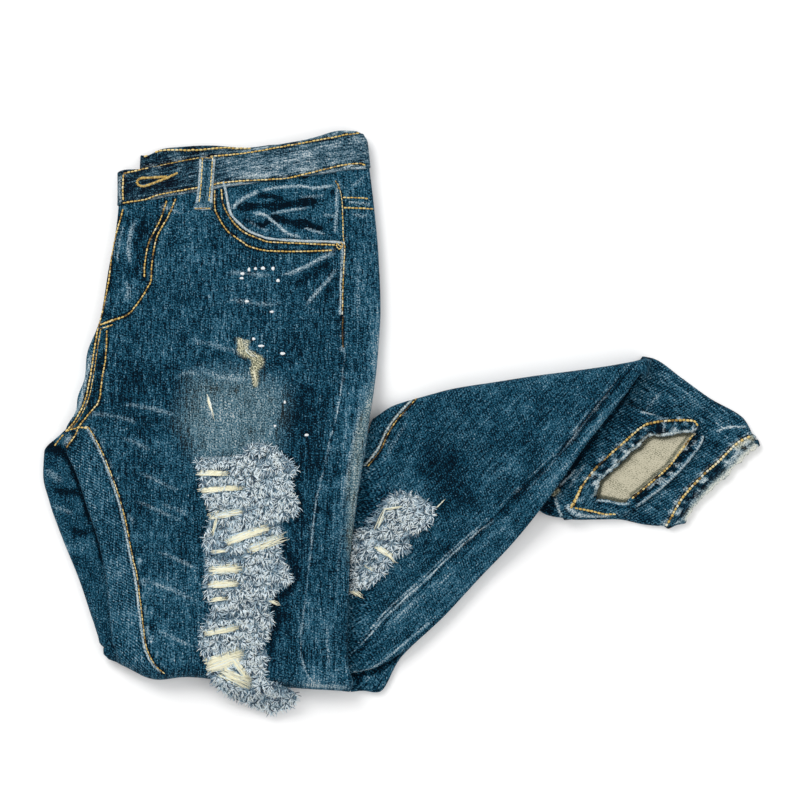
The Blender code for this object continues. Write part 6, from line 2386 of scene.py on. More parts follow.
def lofted(rungs: tuple[Rung, ...], columns: int, spacing: float, side: float, base: float) -> Patch:
    """Cloth drawn through the rungs of a leg's end.

    Args:
        rungs: The lines across it, in order.
        columns: Columns in the grid.
        spacing: Distance between its rows.
        side: How far its sides round over.
        base: The height that the sides come down to.

    Returns:
        The patch.
    """
    lines = []
    for rung in rungs:
        line = flowing(rung.path, 0.0005)
        share = np.linspace(0, len(line) - 1, columns + 1)
        plan = np.column_stack([np.interp(share, np.arange(len(line)), line[:, k]) for k in (0, 1)])
        lines.append(np.column_stack([plan, np.full(columns + 1, rung.height * MM)]))
    table = np.array(lines)
    gaps = np.linalg.norm(np.diff(table, axis=0), axis=2).mean(axis=1)
    keys = np.concatenate([[0.0], np.cumsum(np.maximum(gaps, 0.0002))])
    places = np.unique(np.concatenate([np.linspace(a, b, max(1, round((b - a) / spacing)) + 1)
                                       for a, b in zip(keys[:-1], keys[1:])]).round(7))
    points = follow(keys, table.reshape(len(rungs), -1), places).reshape(len(places), columns + 1, 3)
    steps = np.linalg.norm(np.diff(points[:, :, :2], axis=1), axis=2)
    along = np.concatenate([np.zeros((len(places), 1)), np.cumsum(steps, axis=1)], axis=1)
    edge = np.minimum(along, along[:, -1:] - along)
    fall = np.sqrt(1 - (1 - np.clip(edge / side, 0, 1)) ** 2)
    points[:, :, 2] = base + (points[:, :, 2] - base) * fall
    cloth = np.stack([points[:, :, :2] @ np.array((0.59, 0.81)),
                      points[:, :, :2] @ np.array((0.81, -0.59))], axis=2)
    return Patch(points, cloth, fall ** 2)


def jagged(path: Path, rise: float, seed: int) -> Path:
    """A worn, uneven edge along a path, in millimetres, straight at both ends.

    Args:
        path: The edge before it wore.
        rise: How far it wanders to each side.
        seed: Seeds the unevenness.

    Returns:
        The worn edge.
    """
    line = flowing(path, 0.0008)
    rng = np.random.default_rng(seed)
    count = len(line)
    jag = np.zeros(count)
    for pitch in (3, 11):
        knots = np.arange(0, count + pitch, pitch)
        jag += np.interp(np.arange(count), knots, rng.uniform(-rise, rise, len(knots)))
    ends = eased(np.minimum(np.arange(count), np.arange(count)[::-1]) / 8)
    moved = line + (beside(line, 1.0) - line) * (jag * ends)[:, None] * MM
    return tuple((float(x / MM), float(y / MM)) for x, y in moved)


@dataclass
class LegEnds:
    """Both hems: the right leg's on the floor, and the left leg's on it with its mouth open."""

    spacing: float = 0.0012
    columns: int = 110
    far_columns: int = 120

    def far_body(self) -> tuple[Rung, ...]:
        """The right leg's end, as rungs.

        Returns:
            The rungs.
        """
        return (Rung(((113, -69), (203.4, 56.4)), 5.2), Rung(((120.8, -74), (212.2, 54.6)), 5.6),
                Rung(((148.6, -81.5), (236.2, 38.2)), 5.6),
                Rung(((180.5, -81), (260.4, 20.8)), 5.6),
                Rung(((207.4, -85.8), (244, -34), (288, 4.5)), 5.9),
                Rung(((217.5, -86.6), (219, -83.5), (232, -59), (248.4, -41), (263.5, -27.5), (279, -12),
                      (293, -3)), 6.3),
                Rung(HEM_JOIN, 6.3))

    def right_end(self) -> bpy.types.Object:
        """The right leg's end, from under the calf to the hem seam.

        Returns:
            The piece.
        """
        # Painted shade under the calf's edge and in the groove of the hem stitching; it is also darker in
        # its creases and where the left leg's end lies over it.
        touches = (
            CALF_SHADE, Swell(0.7, 24, 81), Rucks(HEM_STITCH, 4.4, 4.4, 0.6, 0.8, 82),
            Mark(shifted(HEM_STITCH, -2.2, 1.6), 0.8, 0.3, Tone.WHITE, 0.55, 0.02, 0.5),
            Mark(HEM_STITCH, 2.2, -0.2, Tone.DARK, 1.0, 0.02),
            Mark(((236, 28), (252, 14), (268, 2), (282, -3)), 2.4, 0.5, Tone.WHITE, 0.18),
            Mark(((265, -7.4), (271, -4.6), (278, -3), (291.4, -3)), 1.0, 0.5, Tone.WHITE, 0.9, 0.1),
            Mark(((263, -1), (270, -3), (276, -7)), 2.0, 0.3, Tone.PALE, 0.5),
            Mark(((256, -12), (262, -18), (270, -20)), 2.2, -0.5, Tone.DARK, 0.4),
            Mark(((200, -78), (214, -66), (226, -52)), 3.0, 0.5, Tone.PALE, 0.35),
            Mark(((206, -62), (222, -48), (240, -30), (256, -14)), 3.0, -0.6, Tone.DARK, 0.5),
            Area(((196, -70), (262, -6), (250, 12), (200, 12), (150, -60)), 14, Tone.DARK, 0.25),
            Mark(((214, 40), (232, 30), (250, 18)), 2.0, 0.3, Tone.PALE, 0.3),
            Mark(((222, 30), (210, 16), (203, 8)), 1.8, 0.35, Tone.WHITE, 0.35),
        )
        cloth = Cloth("right_leg_end_cloth", touches)
        body = lofted(self.far_body(), self.far_columns, self.spacing, 0.003, 0.0)
        cloth.lay(body)
        under = lofted(tuple(Rung(rung.path[:1] + rung.path[-1:], 0.3) for rung in self.far_body()), 20,
                       0.006, 0.003, 0.0)
        cloth.lay(Patch(under.points[:, ::-1], under.cloth[:, ::-1], under.free * 0))
        finish = Denim("right_leg_end_denim", tone=0.215, weave=0.24)
        piece = stand_for(cloth.make(finish.material()), "denim", "right_leg_end")
        declare(cloth)
        return piece

    def right_hem(self) -> bpy.types.Object:
        """The right hem, rubbed nearly white and fraying along its edge.

        Returns:
            The piece.
        """
        frayed = jagged(((239.3, -84.6), (242, -79), (248.5, -69.5), (260, -57), (274.6, -43.5),
                         (293, -24.6),
                         (300.5, -20), (301.2, -14.5)), 1.3, 83)
        inner = HEM_JOIN
        rungs = (Rung(inner, 6.3), Rung(shifted(inner, 1.2, -0.9), 5.9),
                 Rung(shifted(inner, 3.4, -2.4), 6.7),
                 Rung(((232, -86), (236, -79), (243, -66.5), (257, -51), (271, -38.2), (289, -20),
                       (298.3, -13.2)), 6.6),
                 Rung(frayed, 5.4), Rung(frayed, 3.0), Rung(shifted(frayed, -1.2, 0.9), 0.8))
        # Painted shade along the frayed edge, where it turns under; it is also darker in the sunken line
        # behind the rubbed band.
        touches = (
            Swell(0.5, 12, 84), Rucks(shifted(HEM_STITCH, 4.2, -3.0), 4.2, 3.6, 0.9, 1.1, 85),
            Mark(shifted(HEM_WORN, 0.5, -0.4), 2.9, 0.3, Tone.WHITE, 1.25, 0.02, 0.35),
            Mark(shifted(HEM_WORN, 0.5, -0.4), 2.9, 0.0, Tone.BEIGE, 0.90, 0.02, 0.3),
            Mark(((280, -22), (290, -14), (298, -12)), 3.0, 0.0, Tone.BEIGE, 0.8, 0.1, 0.3),
            Mark(shifted(frayed[::6], 0.1, -0.1), 0.6, 0.0, Tone.DARK, 1.0, 0.02, 0.6),
            Mark(shifted(HEM_WORN, 1.4, -1.0), 1.6, 0.3, Tone.WHITE, 0.6, 0.02, 0.4),
            Mark(shifted(HEM_WORN, -4.6, 3.2), 2.2, -0.3, Tone.DARK, 0.45, 0.05, 0.8),
            Rucks(shifted(HEM_WORN, -4.0, 3.0), 3.0, 4.4, 0.4, 0.5, 86),
        )
        cloth = Cloth("right_hem_cloth", touches)
        cloth.lay(lofted(rungs, self.far_columns, 0.0009, 0.003, 0.0))
        finish = Denim("right_hem_denim", tone=0.26, streaks=0.7, across=True, grey=0.4)
        piece = stand_for(cloth.make(finish.material()), "worn_denim", "right_hem")
        declare(cloth)
        return piece

    def mouth_edge(self) -> Path:
        """The frayed edge of the left hem's upper ply."""
        return jagged(((160.5, -76), (163.5, -66), (167, -51.6), (175.4, -41.4), (191.4, -27.2), (203, -17),
                       (211.6, -10.9), (216, -12.2), (230, -9.6), (244.3, -8.2), (248.6, -8.4)), 0.8, 91)

    def left_end(self) -> bpy.types.Object:
        """The left leg's end, with the lower half of its mouth.

        Returns:
            The piece.
        """
        stitch = MOUTH_JOIN
        body = (Rung(((114, -72), (126, -55), (152, -20), (182, 20)), 11.8),
                Rung(((122, -77), (133, -60), (157, -26), (182, -2), (200, 13)), 12.2),
                Rung(((130, -79), (139, -64), (160, -31), (184, -9), (207, 9.4)), 12.9), Rung(stitch, 12.4))
        low = (Rung(((183, -79.6), (190.6, -64.8), (206.4, -51.4), (222.6, -37.2), (237.6, -22.4),
                     (245.4, -9.4)), 8.2),
               Rung(((184, -79.4), (191.2, -65.4), (207, -52), (223.3, -37.8), (238.6, -22.8),
                     (246.2, -9.6)), 9.6),
               Rung(((187, -78.0), (194, -67.2), (210, -54), (226, -39.8), (241.4, -24.4), (248.8, -9.8)),
                    9.9),
               Rung(((190, -76), (198, -68.4), (214.6, -56.8), (231, -42.0), (246.4, -24.6),
                     (252.6, -10.2)), 10.4),
               Rung(LOW_RIM, 9.6),
               Rung(((191.8, -75.6), (201.4, -68.8), (218.6, -56.2), (235.8, -40), (250.8, -21.4),
                     (255.4, -10.4)), 7.0),
               Rung(LOW_RIM, 5.8))
        rim = ((196, -70.5), (203, -66.4), (219, -54.2), (236, -37.8), (251, -19), (254, -10))
        # Painted shade under the calf's edge, under the lip's rim and in the grooves of the stitching; it
        # is also darker in its creases.
        touches = (
            CALF_SHADE, Swell(0.7, 20, 92), Rucks(MOUTH_STITCH, 4.0, 4.6, 0.6, 0.55, 93, 0.2),
            Rucks(shifted(MOUTH_LOW_STITCH, 3.0, -2.4), 3.6, 4.0, 0.5, 1.0, 94, 0.15),
            Mark(rim, 1.3, 0.2, Tone.WHITE, 0.85, 0.03),
            Mark(shifted(MOUTH_LOW_STITCH, 2.6, -2.0), 2.0, -0.5, Tone.DARK, 0.85, 0.03),
            Mark(((129.8, -62.5), (131.5, -70), (135, -79)), 1.0, 0.6, Tone.WHITE, 1.1, 0.05), *MOUTH_SMILE,
            Mark(((127, -61), (130, -58), (133.5, -55.6)), 2.0, 0.3, Tone.BEIGE, 0.7, 0.1, 0.4),
            Mark(((132.6, -53.5), (138, -48), (143.5, -42.6), (147, -38)), 1.1, 0.5, Tone.WHITE, 0.8, 0.1,
                 0.3),
            Mark(((132, -56), (140, -42), (152, -26)), 2.0, -0.8, Tone.DARK, 0.8, 0.1),
            Mark(((115, -64), (121, -69), (127, -76)), 3.4, -1.4, Tone.DARK, 1.3, 0.1),
            Mark(((124, -58), (126.5, -65), (130, -72)), 1.2, -0.6, Tone.DARK, 0.9, 0.1),
            Mark(((139, -60), (146, -46), (158, -30)), 1.4, 0.5, Tone.WHITE, 0.4),
            Mark(LIP_RIM, 1.0, 0.2, Tone.WHITE, 1.0, 0.03, 0.4),
            Mark(shifted(LIP_RIM, 0.3, -2.6), 1.4, -0.4, Tone.DARK, 0.7, 0.05),
            Mark(MOUTH_LOW_STITCH, 2.0, -0.2, Tone.DARK, 1.0, 0.03),
            Mark(((200, 10), (213.2, 7.6), (227.5, 8.8), (241, 7.1), (247, 2.5)), 0.8, 0.3, Tone.WHITE,
                 0.95, 0.05),
            Mark(((236, -7.3), (245.2, -6.5), (253, -9.6), (253.6, -16.6)), 0.8, 0.2, Tone.WHITE, 0.95,
                 0.05),
            Area(((160, -36), (204, 6), (198, 16), (150, -20)), 12, Tone.DARK, 0.3),
        )
        cloth = Cloth("left_leg_end_cloth", touches)
        cloth.lay(lofted(body, self.columns, self.spacing, 0.0045, 0.0064))
        cloth.lay(lofted(low, self.columns, self.spacing, 0.003, 0.0062))
        cloth.lay(lofted(LIP, 60, self.spacing, 0.0025, 0.006))
        finish = Denim("left_leg_end_denim", tone=0.215, weave=0.24)
        piece = stand_for(cloth.make(finish.material()), "denim", "left_leg_end")
        declare(cloth)
        return piece

    def left_hem(self) -> bpy.types.Object:
        """The left hem's upper half, gathered along its stitching and worn through at its edge.

        Returns:
            The piece.
        """
        stitch = MOUTH_JOIN
        edge = self.mouth_edge()
        worn_and_shaded = edge[17::6]
        crest = ((147, -80.4), (152, -70.6), (158.6, -52.4), (170, -38.4), (187, -23.2), (206, -7.8),
                 (214, -4.2),
                 (230, -1.6), (243, -2.0), (250.6, -5))
        rungs = (Rung(stitch, 12.4), Rung(shifted(stitch, 0.9, -0.9), 12.2),
                 Rung(shifted(stitch, 2.2, -2.0), 13.6),
                 Rung(crest, 14.2), Rung(shifted(edge, -1.6, 1.2), 13.6), Rung(edge, 12.9),
                 Rung(shifted(edge, 0.1, -0.1), 11.4), Rung(shifted(edge, -2.0, 1.6), 10.6))
        # Painted shade under the frayed edge and in the groove of the stitching; it is also darker in the
        # creases near its end.
        touches = (
            Swell(0.7, 14, 95), Rucks(MOUTH_STITCH, 4.6, 4.4, 0.8, 0.9, 96, 0.25),
            Rucks(shifted(worn_and_shaded, -2.6, 2.1), 3.4, 3.6, 0.8, 1.3, 97),
            Mark(shifted(worn_and_shaded, -1.4, 1.1), 1.3, 0.0, Tone.WHITE, 0.60, 0.02, 0.5),
            Mark(shifted(worn_and_shaded, -5.4, 4.2), 1.8, 0.0, Tone.DARK, 0.45, 0.05),
            Mark(shifted(worn_and_shaded, 0.2, -0.2), 0.9, 0.0, Tone.DARK, 1.3, 0.02), *MOUTH_SMILE,
            Mark(shifted(worn_and_shaded, -1.6, 1.2), 1.2, 0.0, Tone.BEIGE, 0.4, 0.02, 0.6),
            Mark(MOUTH_STITCH, 1.8, -0.2, Tone.DARK, 0.6, 0.02),
            Mark(((214, 4), (216, -2), (215, -8)), 1.0, -0.6, Tone.DARK, 0.8, 0.1),
            Mark(((227, 4), (229, -2), (228, -8)), 1.0, -0.5, Tone.DARK, 0.7, 0.1),
            Mark(((219, 4), (221, -3), (220, -8)), 1.2, 0.5, Tone.WHITE, 0.6, 0.1),
        )
        cloth = Cloth("left_hem_cloth", touches)
        cloth.lay(lofted(rungs, self.columns + 40, 0.0008, 0.0036, 0.0066))
        finish = Denim("left_hem_denim", tone=0.25, streaks=0.7, across=True, grey=0.2)
        piece = stand_for(cloth.make(finish.material()), "worn_denim", "left_hem")
        declare(cloth)
        return piece

    def lining(self) -> bpy.types.Object:
        """The wrong side of the lower half, seen through the mouth.

        Returns:
            The piece.
        """
        rungs = (Rung(((154, -72), (160, -50), (168, -36), (188, -18), (208, -2), (226, 0), (246, -4)),
                      8.8),
                 Rung(((168, -72), (176, -52), (190, -36), (206, -22), (226, -14), (247, -7)), 8.3),
                 Rung(((186, -73), (193.2, -64.2), (208.4, -51), (224.3, -37), (240.3, -22.4), (248, -9)),
                      8.0))
        # Painted shade on the lining beside the frayed edge, the lower stitching and the lip's rim.
        touches = (Swell(0.5, 22, 98),
                   Mark(shifted(self.mouth_edge()[::6], 1.0, -0.8), 1.3, 0, Tone.DARK, 1.6, 0.02),
                   Mark(shifted(MOUTH_LOW_STITCH, -2.2, 1.8), 1.2, 0, Tone.DARK, 0.8, 0.02),
                   Mark(shifted(LIP_RIM, 0.4, 2.2), 1.6, -0.3, Tone.DARK, 1.2, 0.03))
        cloth = Cloth("left_hem_inside", touches)
        cloth.lay(lofted(rungs, 80, self.spacing, 0.001, 0.0075))
        piece = stand_for(cloth.make(Lining("denim_wrong_side").material()), "denim_inside")
        declare(cloth)
        return piece

    def build(self) -> list[bpy.types.Object]:
        """Both leg ends' pieces."""
        return [self.right_end(), self.right_hem(), self.left_end(), self.left_hem(), self.lining()]


YARN = ((0.00, dyed(10, 30, 52)), (0.18, dyed(40, 72, 100)), (0.38, dyed(120, 156, 180)),
        (0.58, dyed(206, 230, 242)),
        (0.78, dyed(258, 270, 276)), (0.88, dyed(256, 252, 224)), (1.00, dyed(272, 268, 238)))
RIGHT_RIP = ((-12, -62), (-2, -57), (10, -58.6), (19.2, -63.5), (28.4, -71.2), (26, -84.6), (15, -93),
             (7.4, -98.9), (6.6, -106.5), (-4.3, -114), (-11.9, -124.1), (-23.6, -135), (-35.4, -139.2),
             (-41.5, -148.5), (-42.5, -130), (-42.2, -100), (-41.3, -91.3), (-33.7, -86.3), (-21.1, -71.2))


@dataclass(frozen=True)
class Bundle:
    """Undyed weft threads side by side: both ends, how many, and their width and height in millimetres."""

    start: Plan
    end: Plan
    count: int
    wide: float
    height: float = 1.8


LEFT_WEFT = (
    Bundle((-169, -41.5), (-146, -42), 30, 3.4), Bundle((-167, -56.5), (-133, -53.5), 34, 3.6),
    Bundle((-160, -78), (-132, -73.5), 26, 3.6), Bundle((-155, -82), (-159, -94), 9, 2.0, 2.6),
    Bundle((-146, -99), (-111, -87), 52, 5.6), Bundle((-128, -106), (-98, -95), 36, 5.0),
    Bundle((-159, -122.5), (-135, -121), 54, 6.4), Bundle((-160, -135), (-138, -134), 48, 5.4),
    Bundle((-158, -148), (-146, -147), 16, 2.8), Bundle((-163, -176), (-137, -170), 34, 4.0),
    Bundle((-162, -203), (-134, -193), 96, 11.0), Bundle((-150, -208), (-127, -219), 44, 8.0),
    Bundle((-141, -197), (-127, -215), 34, 5.0), Bundle((-158, -108), (-146, -107), 12, 2.6),
    Bundle((-110, -149), (-103, -152), 8, 2.0, 2.6),
)
LEFT_SCUFFS = (
    Bundle((-162.2, 22.1), (-158, 5.3), 5, 0.9, 0.4), Bundle((-162.4, 21), (-160.6, 14), 5, 1.4, 0.4),
    Bundle((-135.5, 70), (-134, 62), 3, 2.4, 0.3), Bundle((-129, 61), (-120, 54), 3, 2.4, 0.3),
    Bundle((-124, 44), (-122, 33), 3, 1.8, 0.3),
)
RIGHT_WEFT = (
    Bundle((-20.6, -88), (-13, -71.5), 7, 1.6, 2.8), Bundle((-14, -72), (1, -70.5), 8, 1.2, 2.8),
    Bundle((-20, -104), (-9, -111), 26, 4.4), Bundle((-12, -108), (-6, -116), 12, 2.6),
    Bundle((-41, -141), (-34, -145), 14, 3.0), Bundle((-28, -120), (-22, -124), 8, 2.0),
    Bundle((29.5, -71), (35.5, -65), 2, 0.4),
)
# Gaps between the bands of frayed threads, painted dark on the mat as shade.
LEFT_GAPS = (
    ((-125.3, -28.5), (-113.5, -28.5)), ((-117, -46), (-108.5, -44.3), (-99, -41), (-91, -40)),
    ((-96, -46), (-84, -46.5)),
    ((-108, -86), (-98, -82), (-84, -79)), ((-155, -38.4), (-143, -38.2)), ((-158, -107), (-149, -108.5)),
    ((-166, -86), (-156, -84), (-146, -86)), ((-168, -110), (-152, -112), (-136, -110)),
    ((-112, -136), (-96, -136)),
    ((-118, -156), (-104, -157)), ((-168, -162), (-150, -163), (-138, -160)), ((-118, -190), (-106, -190)),
    ((-106, -221), (-92, -222)),
)
RIGHT_GAPS = (
    ((-34, -88), (-22, -84), (-12, -82)), ((-8, -100), (2, -98), (12, -94)),
    ((-40, -118), (-28, -114), (-20, -116)),
    ((-22, -78), (-14, -68)), ((-38, -100), (-30, -96)),
)


class HeightMap:
    """The ground's height over a box in plan, kept as a grid for quick reading."""

    def __init__(self, ground: Ground, low: Plan, high: Plan, spacing: float = 0.0015) -> None:
        """Probes the ground all over the box.

        Args:
            ground: What it lies on.
            low: The box's lower corner, in millimetres.
            high: The box's upper corner, in millimetres.
            spacing: Between the points of the grid, in metres.
        """
        self.low, self.spacing = np.array(low) * MM, spacing
        self.size = np.ceil((np.array(high) * MM - self.low) / spacing).astype(int) + 1
        xs, ys = (self.low[k] + np.arange(self.size[k]) * spacing for k in (0, 1))
        self.grid = np.array([[ground.height(x, y) for y in ys] for x in xs])

    def at(self, plan: np.ndarray) -> np.ndarray:
        """Heights at points in plan.

        Args:
            plan: Points in plan.

        Returns:
            A height for each.
        """
        place = np.clip((plan - self.low) / self.spacing, 0, self.size - 1.001)
        cell = place.astype(int)
        share = place - cell
        i, j, u, v = cell[..., 0], cell[..., 1], share[..., 0], share[..., 1]
        grid = self.grid
        return (grid[i, j] * (1 - u) * (1 - v) + grid[i + 1, j] * u * (1 - v)
                + grid[i, j + 1] * (1 - u) * v + grid[i + 1, j + 1] * u * v)


MAT_ROW = 0.0012        # between the rows of a mat
MAT_POINTS = 61         # across a mat
FRAY_POINTS = 4         # along a frayed thread
WEFT_POINTS = 7         # along a bare weft thread
HANG_PAST = (-0.0045, 0.0, 0.0060, 0.0125, 0.0200, 0.0300)       # past the knee fold
HANG_HEIGHT = (0.0262, 0.0246, 0.0190, 0.0112, 0.0058, 0.0034)   # of threads that hang there


@dataclass
class Tear:
    """A torn knee: frayed warp threads piled on a matted backing, and bare weft threads between them."""

    name: str
    node: str
    outline: Path
    down: Plan
    weft: tuple[Bundle, ...]
    gaps: tuple[Path, ...]
    seed: int
    rests_on: tuple[str, ...]
    scuffs: tuple[Bundle, ...] = ()
    drop: np.ndarray | None = None
    spacing: float = 0.00117

    def surface(self, ground: HeightMap, plan: np.ndarray) -> np.ndarray:
        """The height that the threads lie on, which falls away past the fold for those that hang over it.

        Args:
            ground: The ground's heights.
            plan: Points in plan.

        Returns:
            A height for each.
        """
        height = ground.at(plan)
        if self.drop is None:
            return height
        edge = np.interp(plan[..., 0], self.drop[:, 0], self.drop[:, 1])
        past = edge - plan[..., 1]
        hang = np.interp(past, HANG_PAST, HANG_HEIGHT)
        return np.where(past > HANG_PAST[0], np.maximum(hang, 0.0), height)

    def frame(self) -> tuple[np.ndarray, np.ndarray, np.ndarray]:
        """The ways down and across the tear, and its outline in metres."""
        down = np.array(self.down) / np.linalg.norm(self.down)
        return down, np.array((-down[1], down[0])), np.array(self.outline) * MM

    def mat(self, ground: HeightMap) -> tuple[Cloth, bpy.types.Object]:
        """The matted backing under the threads.

        Args:
            ground: What it lies on.

        Returns:
            The cloth, and its object.
        """
        down, right, outline = self.frame()
        along, across = outline @ down, outline @ right
        rows = np.arange(along.min() + 0.002, along.max() - 0.002, MAT_ROW)
        points, flat = [], []
        closed = np.concatenate([np.column_stack([along, across]), [[along[0], across[0]]]])
        for row in rows:
            cuts = []
            for (a, p), (b, q) in zip(closed[:-1], closed[1:]):
                if (a > row) != (b > row):
                    cuts.append(p + (row - a) / (b - a) * (q - p))
            inset = min(0.0016, (max(cuts) - min(cuts)) * 0.3)
            line = np.linspace(min(cuts) + inset, max(cuts) - inset, MAT_POINTS)
            plan = row * down + line[:, None] * right
            height = self.surface(ground, plan) + 0.0003
            points.append(np.column_stack([plan, height]))
            flat.append(np.column_stack([line, np.full(MAT_POINTS, row)]))
        points = np.array(points)
        rng = np.random.default_rng(self.seed)
        points[:, :, 2] += rng.uniform(0, 0.0007, points.shape[:2])
        shades = tuple(Mark(gap, 1.1, -0.3, Tone.DARK, 1.6, 0.03) for gap in self.gaps)
        cloth = Cloth(f"{self.name}_mat", shades)
        cloth.lay(Patch(points, np.array(flat), np.zeros(points.shape[:2])), wear_and_shade=(0.7, 0.4, 0, 0))
        return cloth, cloth.make(Denim(f"{self.name}_mat_denim", tone=0.20, streaks=0.6).material())

    def roots(self, rng: np.random.Generator) -> tuple[np.ndarray, np.ndarray, np.ndarray]:
        """Where threads grow: evenly, but clear of the gaps and of the bare weft.

        Args:
            rng: Draws the places.

        Returns:
            The roots, how far inside the outline each lies, and the way out of the tear there.
        """
        _, _, outline = self.frame()
        low, high = outline.min(axis=0), outline.max(axis=0)
        steps = (np.arange(a, b, self.spacing) for a, b in zip(low, high))
        grid = np.stack(np.meshgrid(*steps), axis=-1).reshape(-1, 2)
        places = grid + rng.uniform(-0.5, 0.5, grid.shape) * self.spacing * 1.6
        places = places[within(places, outline) > 0.0012]
        clear = self.hollow(places, 0.0011) > 0
        places = places[clear]
        step = 0.0008
        slope = [within(places + move, outline) - within(places - move, outline)
                 for move in (np.array((step, 0)), np.array((0, step)))]
        out = -np.column_stack(slope)
        return places, within(places, outline), out / (np.linalg.norm(out, axis=1, keepdims=True) + 1e-9)

    def hollow(self, places: np.ndarray, margin: float) -> np.ndarray:
        """How far places lie from the nearest gap or bare weft, less a margin.

        Args:
            places: Points in plan.
            margin: What is taken off.

        Returns:
            A distance for each.
        """
        far = np.full(len(places), 1.0)
        for gap in self.gaps:
            far = np.minimum(far, from_line(places, np.array(gap) * MM)[0] - margin)
        for bundle in self.weft:
            reach = (bundle.wide * 0.42) * MM
            far = np.minimum(far, from_line(places, np.array((bundle.start, bundle.end)) * MM)[0] - reach)
        return far

    def clumps(self, rng: np.random.Generator) -> np.ndarray:
        """The middles of the clumps that the threads stand in, in uneven rows across the tear.

        Args:
            rng: Draws their unevenness.

        Returns:
            A point in plan for each clump.
        """
        down, right, outline = self.frame()
        along, across = outline @ down, outline @ right
        middles, row = [], along.min()
        while row < along.max() + 0.006:
            places = np.arange(across.min() - 0.004, across.max() + 0.008, 0.0066)
            uneven = rng.uniform(-0.0037, 0.0037, (len(places), 2))
            middles.append(row * down + places[:, None] * right + uneven)
            row += rng.uniform(0.0066, 0.0090)
        return np.concatenate(middles)

    def fray(self, ground: HeightMap) -> Strands:
        """The frayed warp threads: clumps that lean down the leg and fan out from their middles.

        Args:
            ground: What it lies on.

        Returns:
            The threads.
        """
        rng = np.random.default_rng(self.seed + 1)
        down, _, _ = self.frame()
        places, depth, out = self.roots(rng)
        count = len(places)
        middles = self.clumps(rng)
        far = np.linalg.norm(places[:, None] - middles[None], axis=2)
        order = np.argsort(far, axis=1)[:, :2]
        near, next_one = np.take_along_axis(far, order, axis=1).T
        dome = eased((next_one - near) / 0.0030) * eased(self.hollow(places, 0.0) / 0.0030)
        spoke = (places - middles[order[:, 0]]) / 0.0040
        heading = 0.8 * down + 1.3 * spoke
        outward = eased((0.0045 - depth) / 0.0040)[:, None]
        heading = heading * (1 - 0.7 * outward) + out * outward
        angle = np.arctan2(heading[:, 1], heading[:, 0]) + rng.normal(0, 0.28, count)
        ahead = np.column_stack([np.cos(angle), np.sin(angle)])
        side = np.column_stack([-ahead[:, 1], ahead[:, 0]])
        length = rng.uniform(0.0026, 0.0048, count)
        curl = rng.normal(0, 0.0011, count)
        level = 0.0003 + 0.0017 * dome * eased(depth / 0.0030) + rng.uniform(0, 0.0012, count)
        rise = rng.uniform(0.0002, 0.0012, count)
        share = np.linspace(0, 1, FRAY_POINTS)
        kink = rng.normal(0, 0.00020, (count, FRAY_POINTS, 2))
        kink[:, 0] = 0
        lines = np.zeros((count, FRAY_POINTS, 3))
        lines[:, :, :2] = (places[:, None] + ahead[:, None] * (length[:, None] * share)[..., None]
                           + side[:, None] * (curl[:, None] * share ** 2)[..., None] + kink)
        lines[:, :, 2] = (self.surface(ground, lines[:, :, :2]) + 0.0003 + level[:, None]
                          + rise[:, None] * np.sin(share * 2.2) - 0.0008 * (1 - dome[:, None]) * share)
        # Painted light and shade: threads on the tops of clumps and higher up are paler, those beside a gap
        # are darker; some are dark at random.
        tones = 0.57 + 0.19 * dome + 0.10 * (level - level.mean()) / level.std()
        tones = tones + rng.normal(0, 0.09, count)
        crack = np.min([from_line(places, np.array(gap) * MM)[0] for gap in self.gaps], axis=0)
        tones += rng.normal(0, 0.06, len(middles))[order[:, 0]] - 0.26 * np.exp(-(crack / 0.0022) ** 2)
        tones = np.where(rng.random(count) < 0.15, rng.uniform(0.06, 0.38, count),
                         np.clip(tones, 0.24, 0.84))
        strands = Strands(f"{self.name}_threads")
        strands.add(lines, rng.uniform(0.00036, 0.00056, count), tones, 0.88)
        return strands

    def bare_weft(self, ground: HeightMap) -> Strands:
        """The undyed weft threads.

        Args:
            ground: What it lies on.

        Returns:
            The threads.
        """
        strands = Strands(f"{self.name}_weft")
        rng = np.random.default_rng(self.seed + 2)
        for bundle in self.weft + self.scuffs:
            start, end = np.array(bundle.start) * MM, np.array(bundle.end) * MM
            count = max(3, bundle.count)
            ahead = (end - start) / np.linalg.norm(end - start)
            side = np.array((-ahead[1], ahead[0]))
            offset = rng.uniform(-0.58, 0.58, (count, 1)) * bundle.wide * MM
            share = np.linspace(0, 1, WEFT_POINTS)
            lines = np.zeros((count, WEFT_POINTS, 3))
            jitter = rng.normal(0, 0.0016, (count, 1))
            sag = rng.normal(0, 0.0007, (count, 1)) * 4 * share * (1 - share)
            along = share[None] * (np.linalg.norm(end - start) + rng.normal(0, 0.0015, (count, 1))) + jitter
            cross = offset * (1 - 0.35 * 4 * share * (1 - share) * rng.random((count, 1))) + sag
            cross = cross + rng.normal(0, 0.05, (count, 1)) * (along - along.mean())
            cross = cross + rng.normal(0, 0.00016, (count, WEFT_POINTS))
            lines[:, :, :2] = start + along[..., None] * ahead + cross[..., None] * side
            height = bundle.height * MM
            lines[:, :, 2] = (self.surface(ground, lines[:, :, :2]) + height
                              + rng.uniform(0, 0.4,
                                            (count, 1)) * height - 0.7 * height * (2 * share - 1) ** 4)
            pale = np.where(rng.random(count) < 0.12, rng.uniform(0.60, 0.8, count),
                            rng.uniform(0.84, 1.0, count))
            strands.add(lines, rng.uniform(0.00030, 0.00056, count), pale)
        return strands

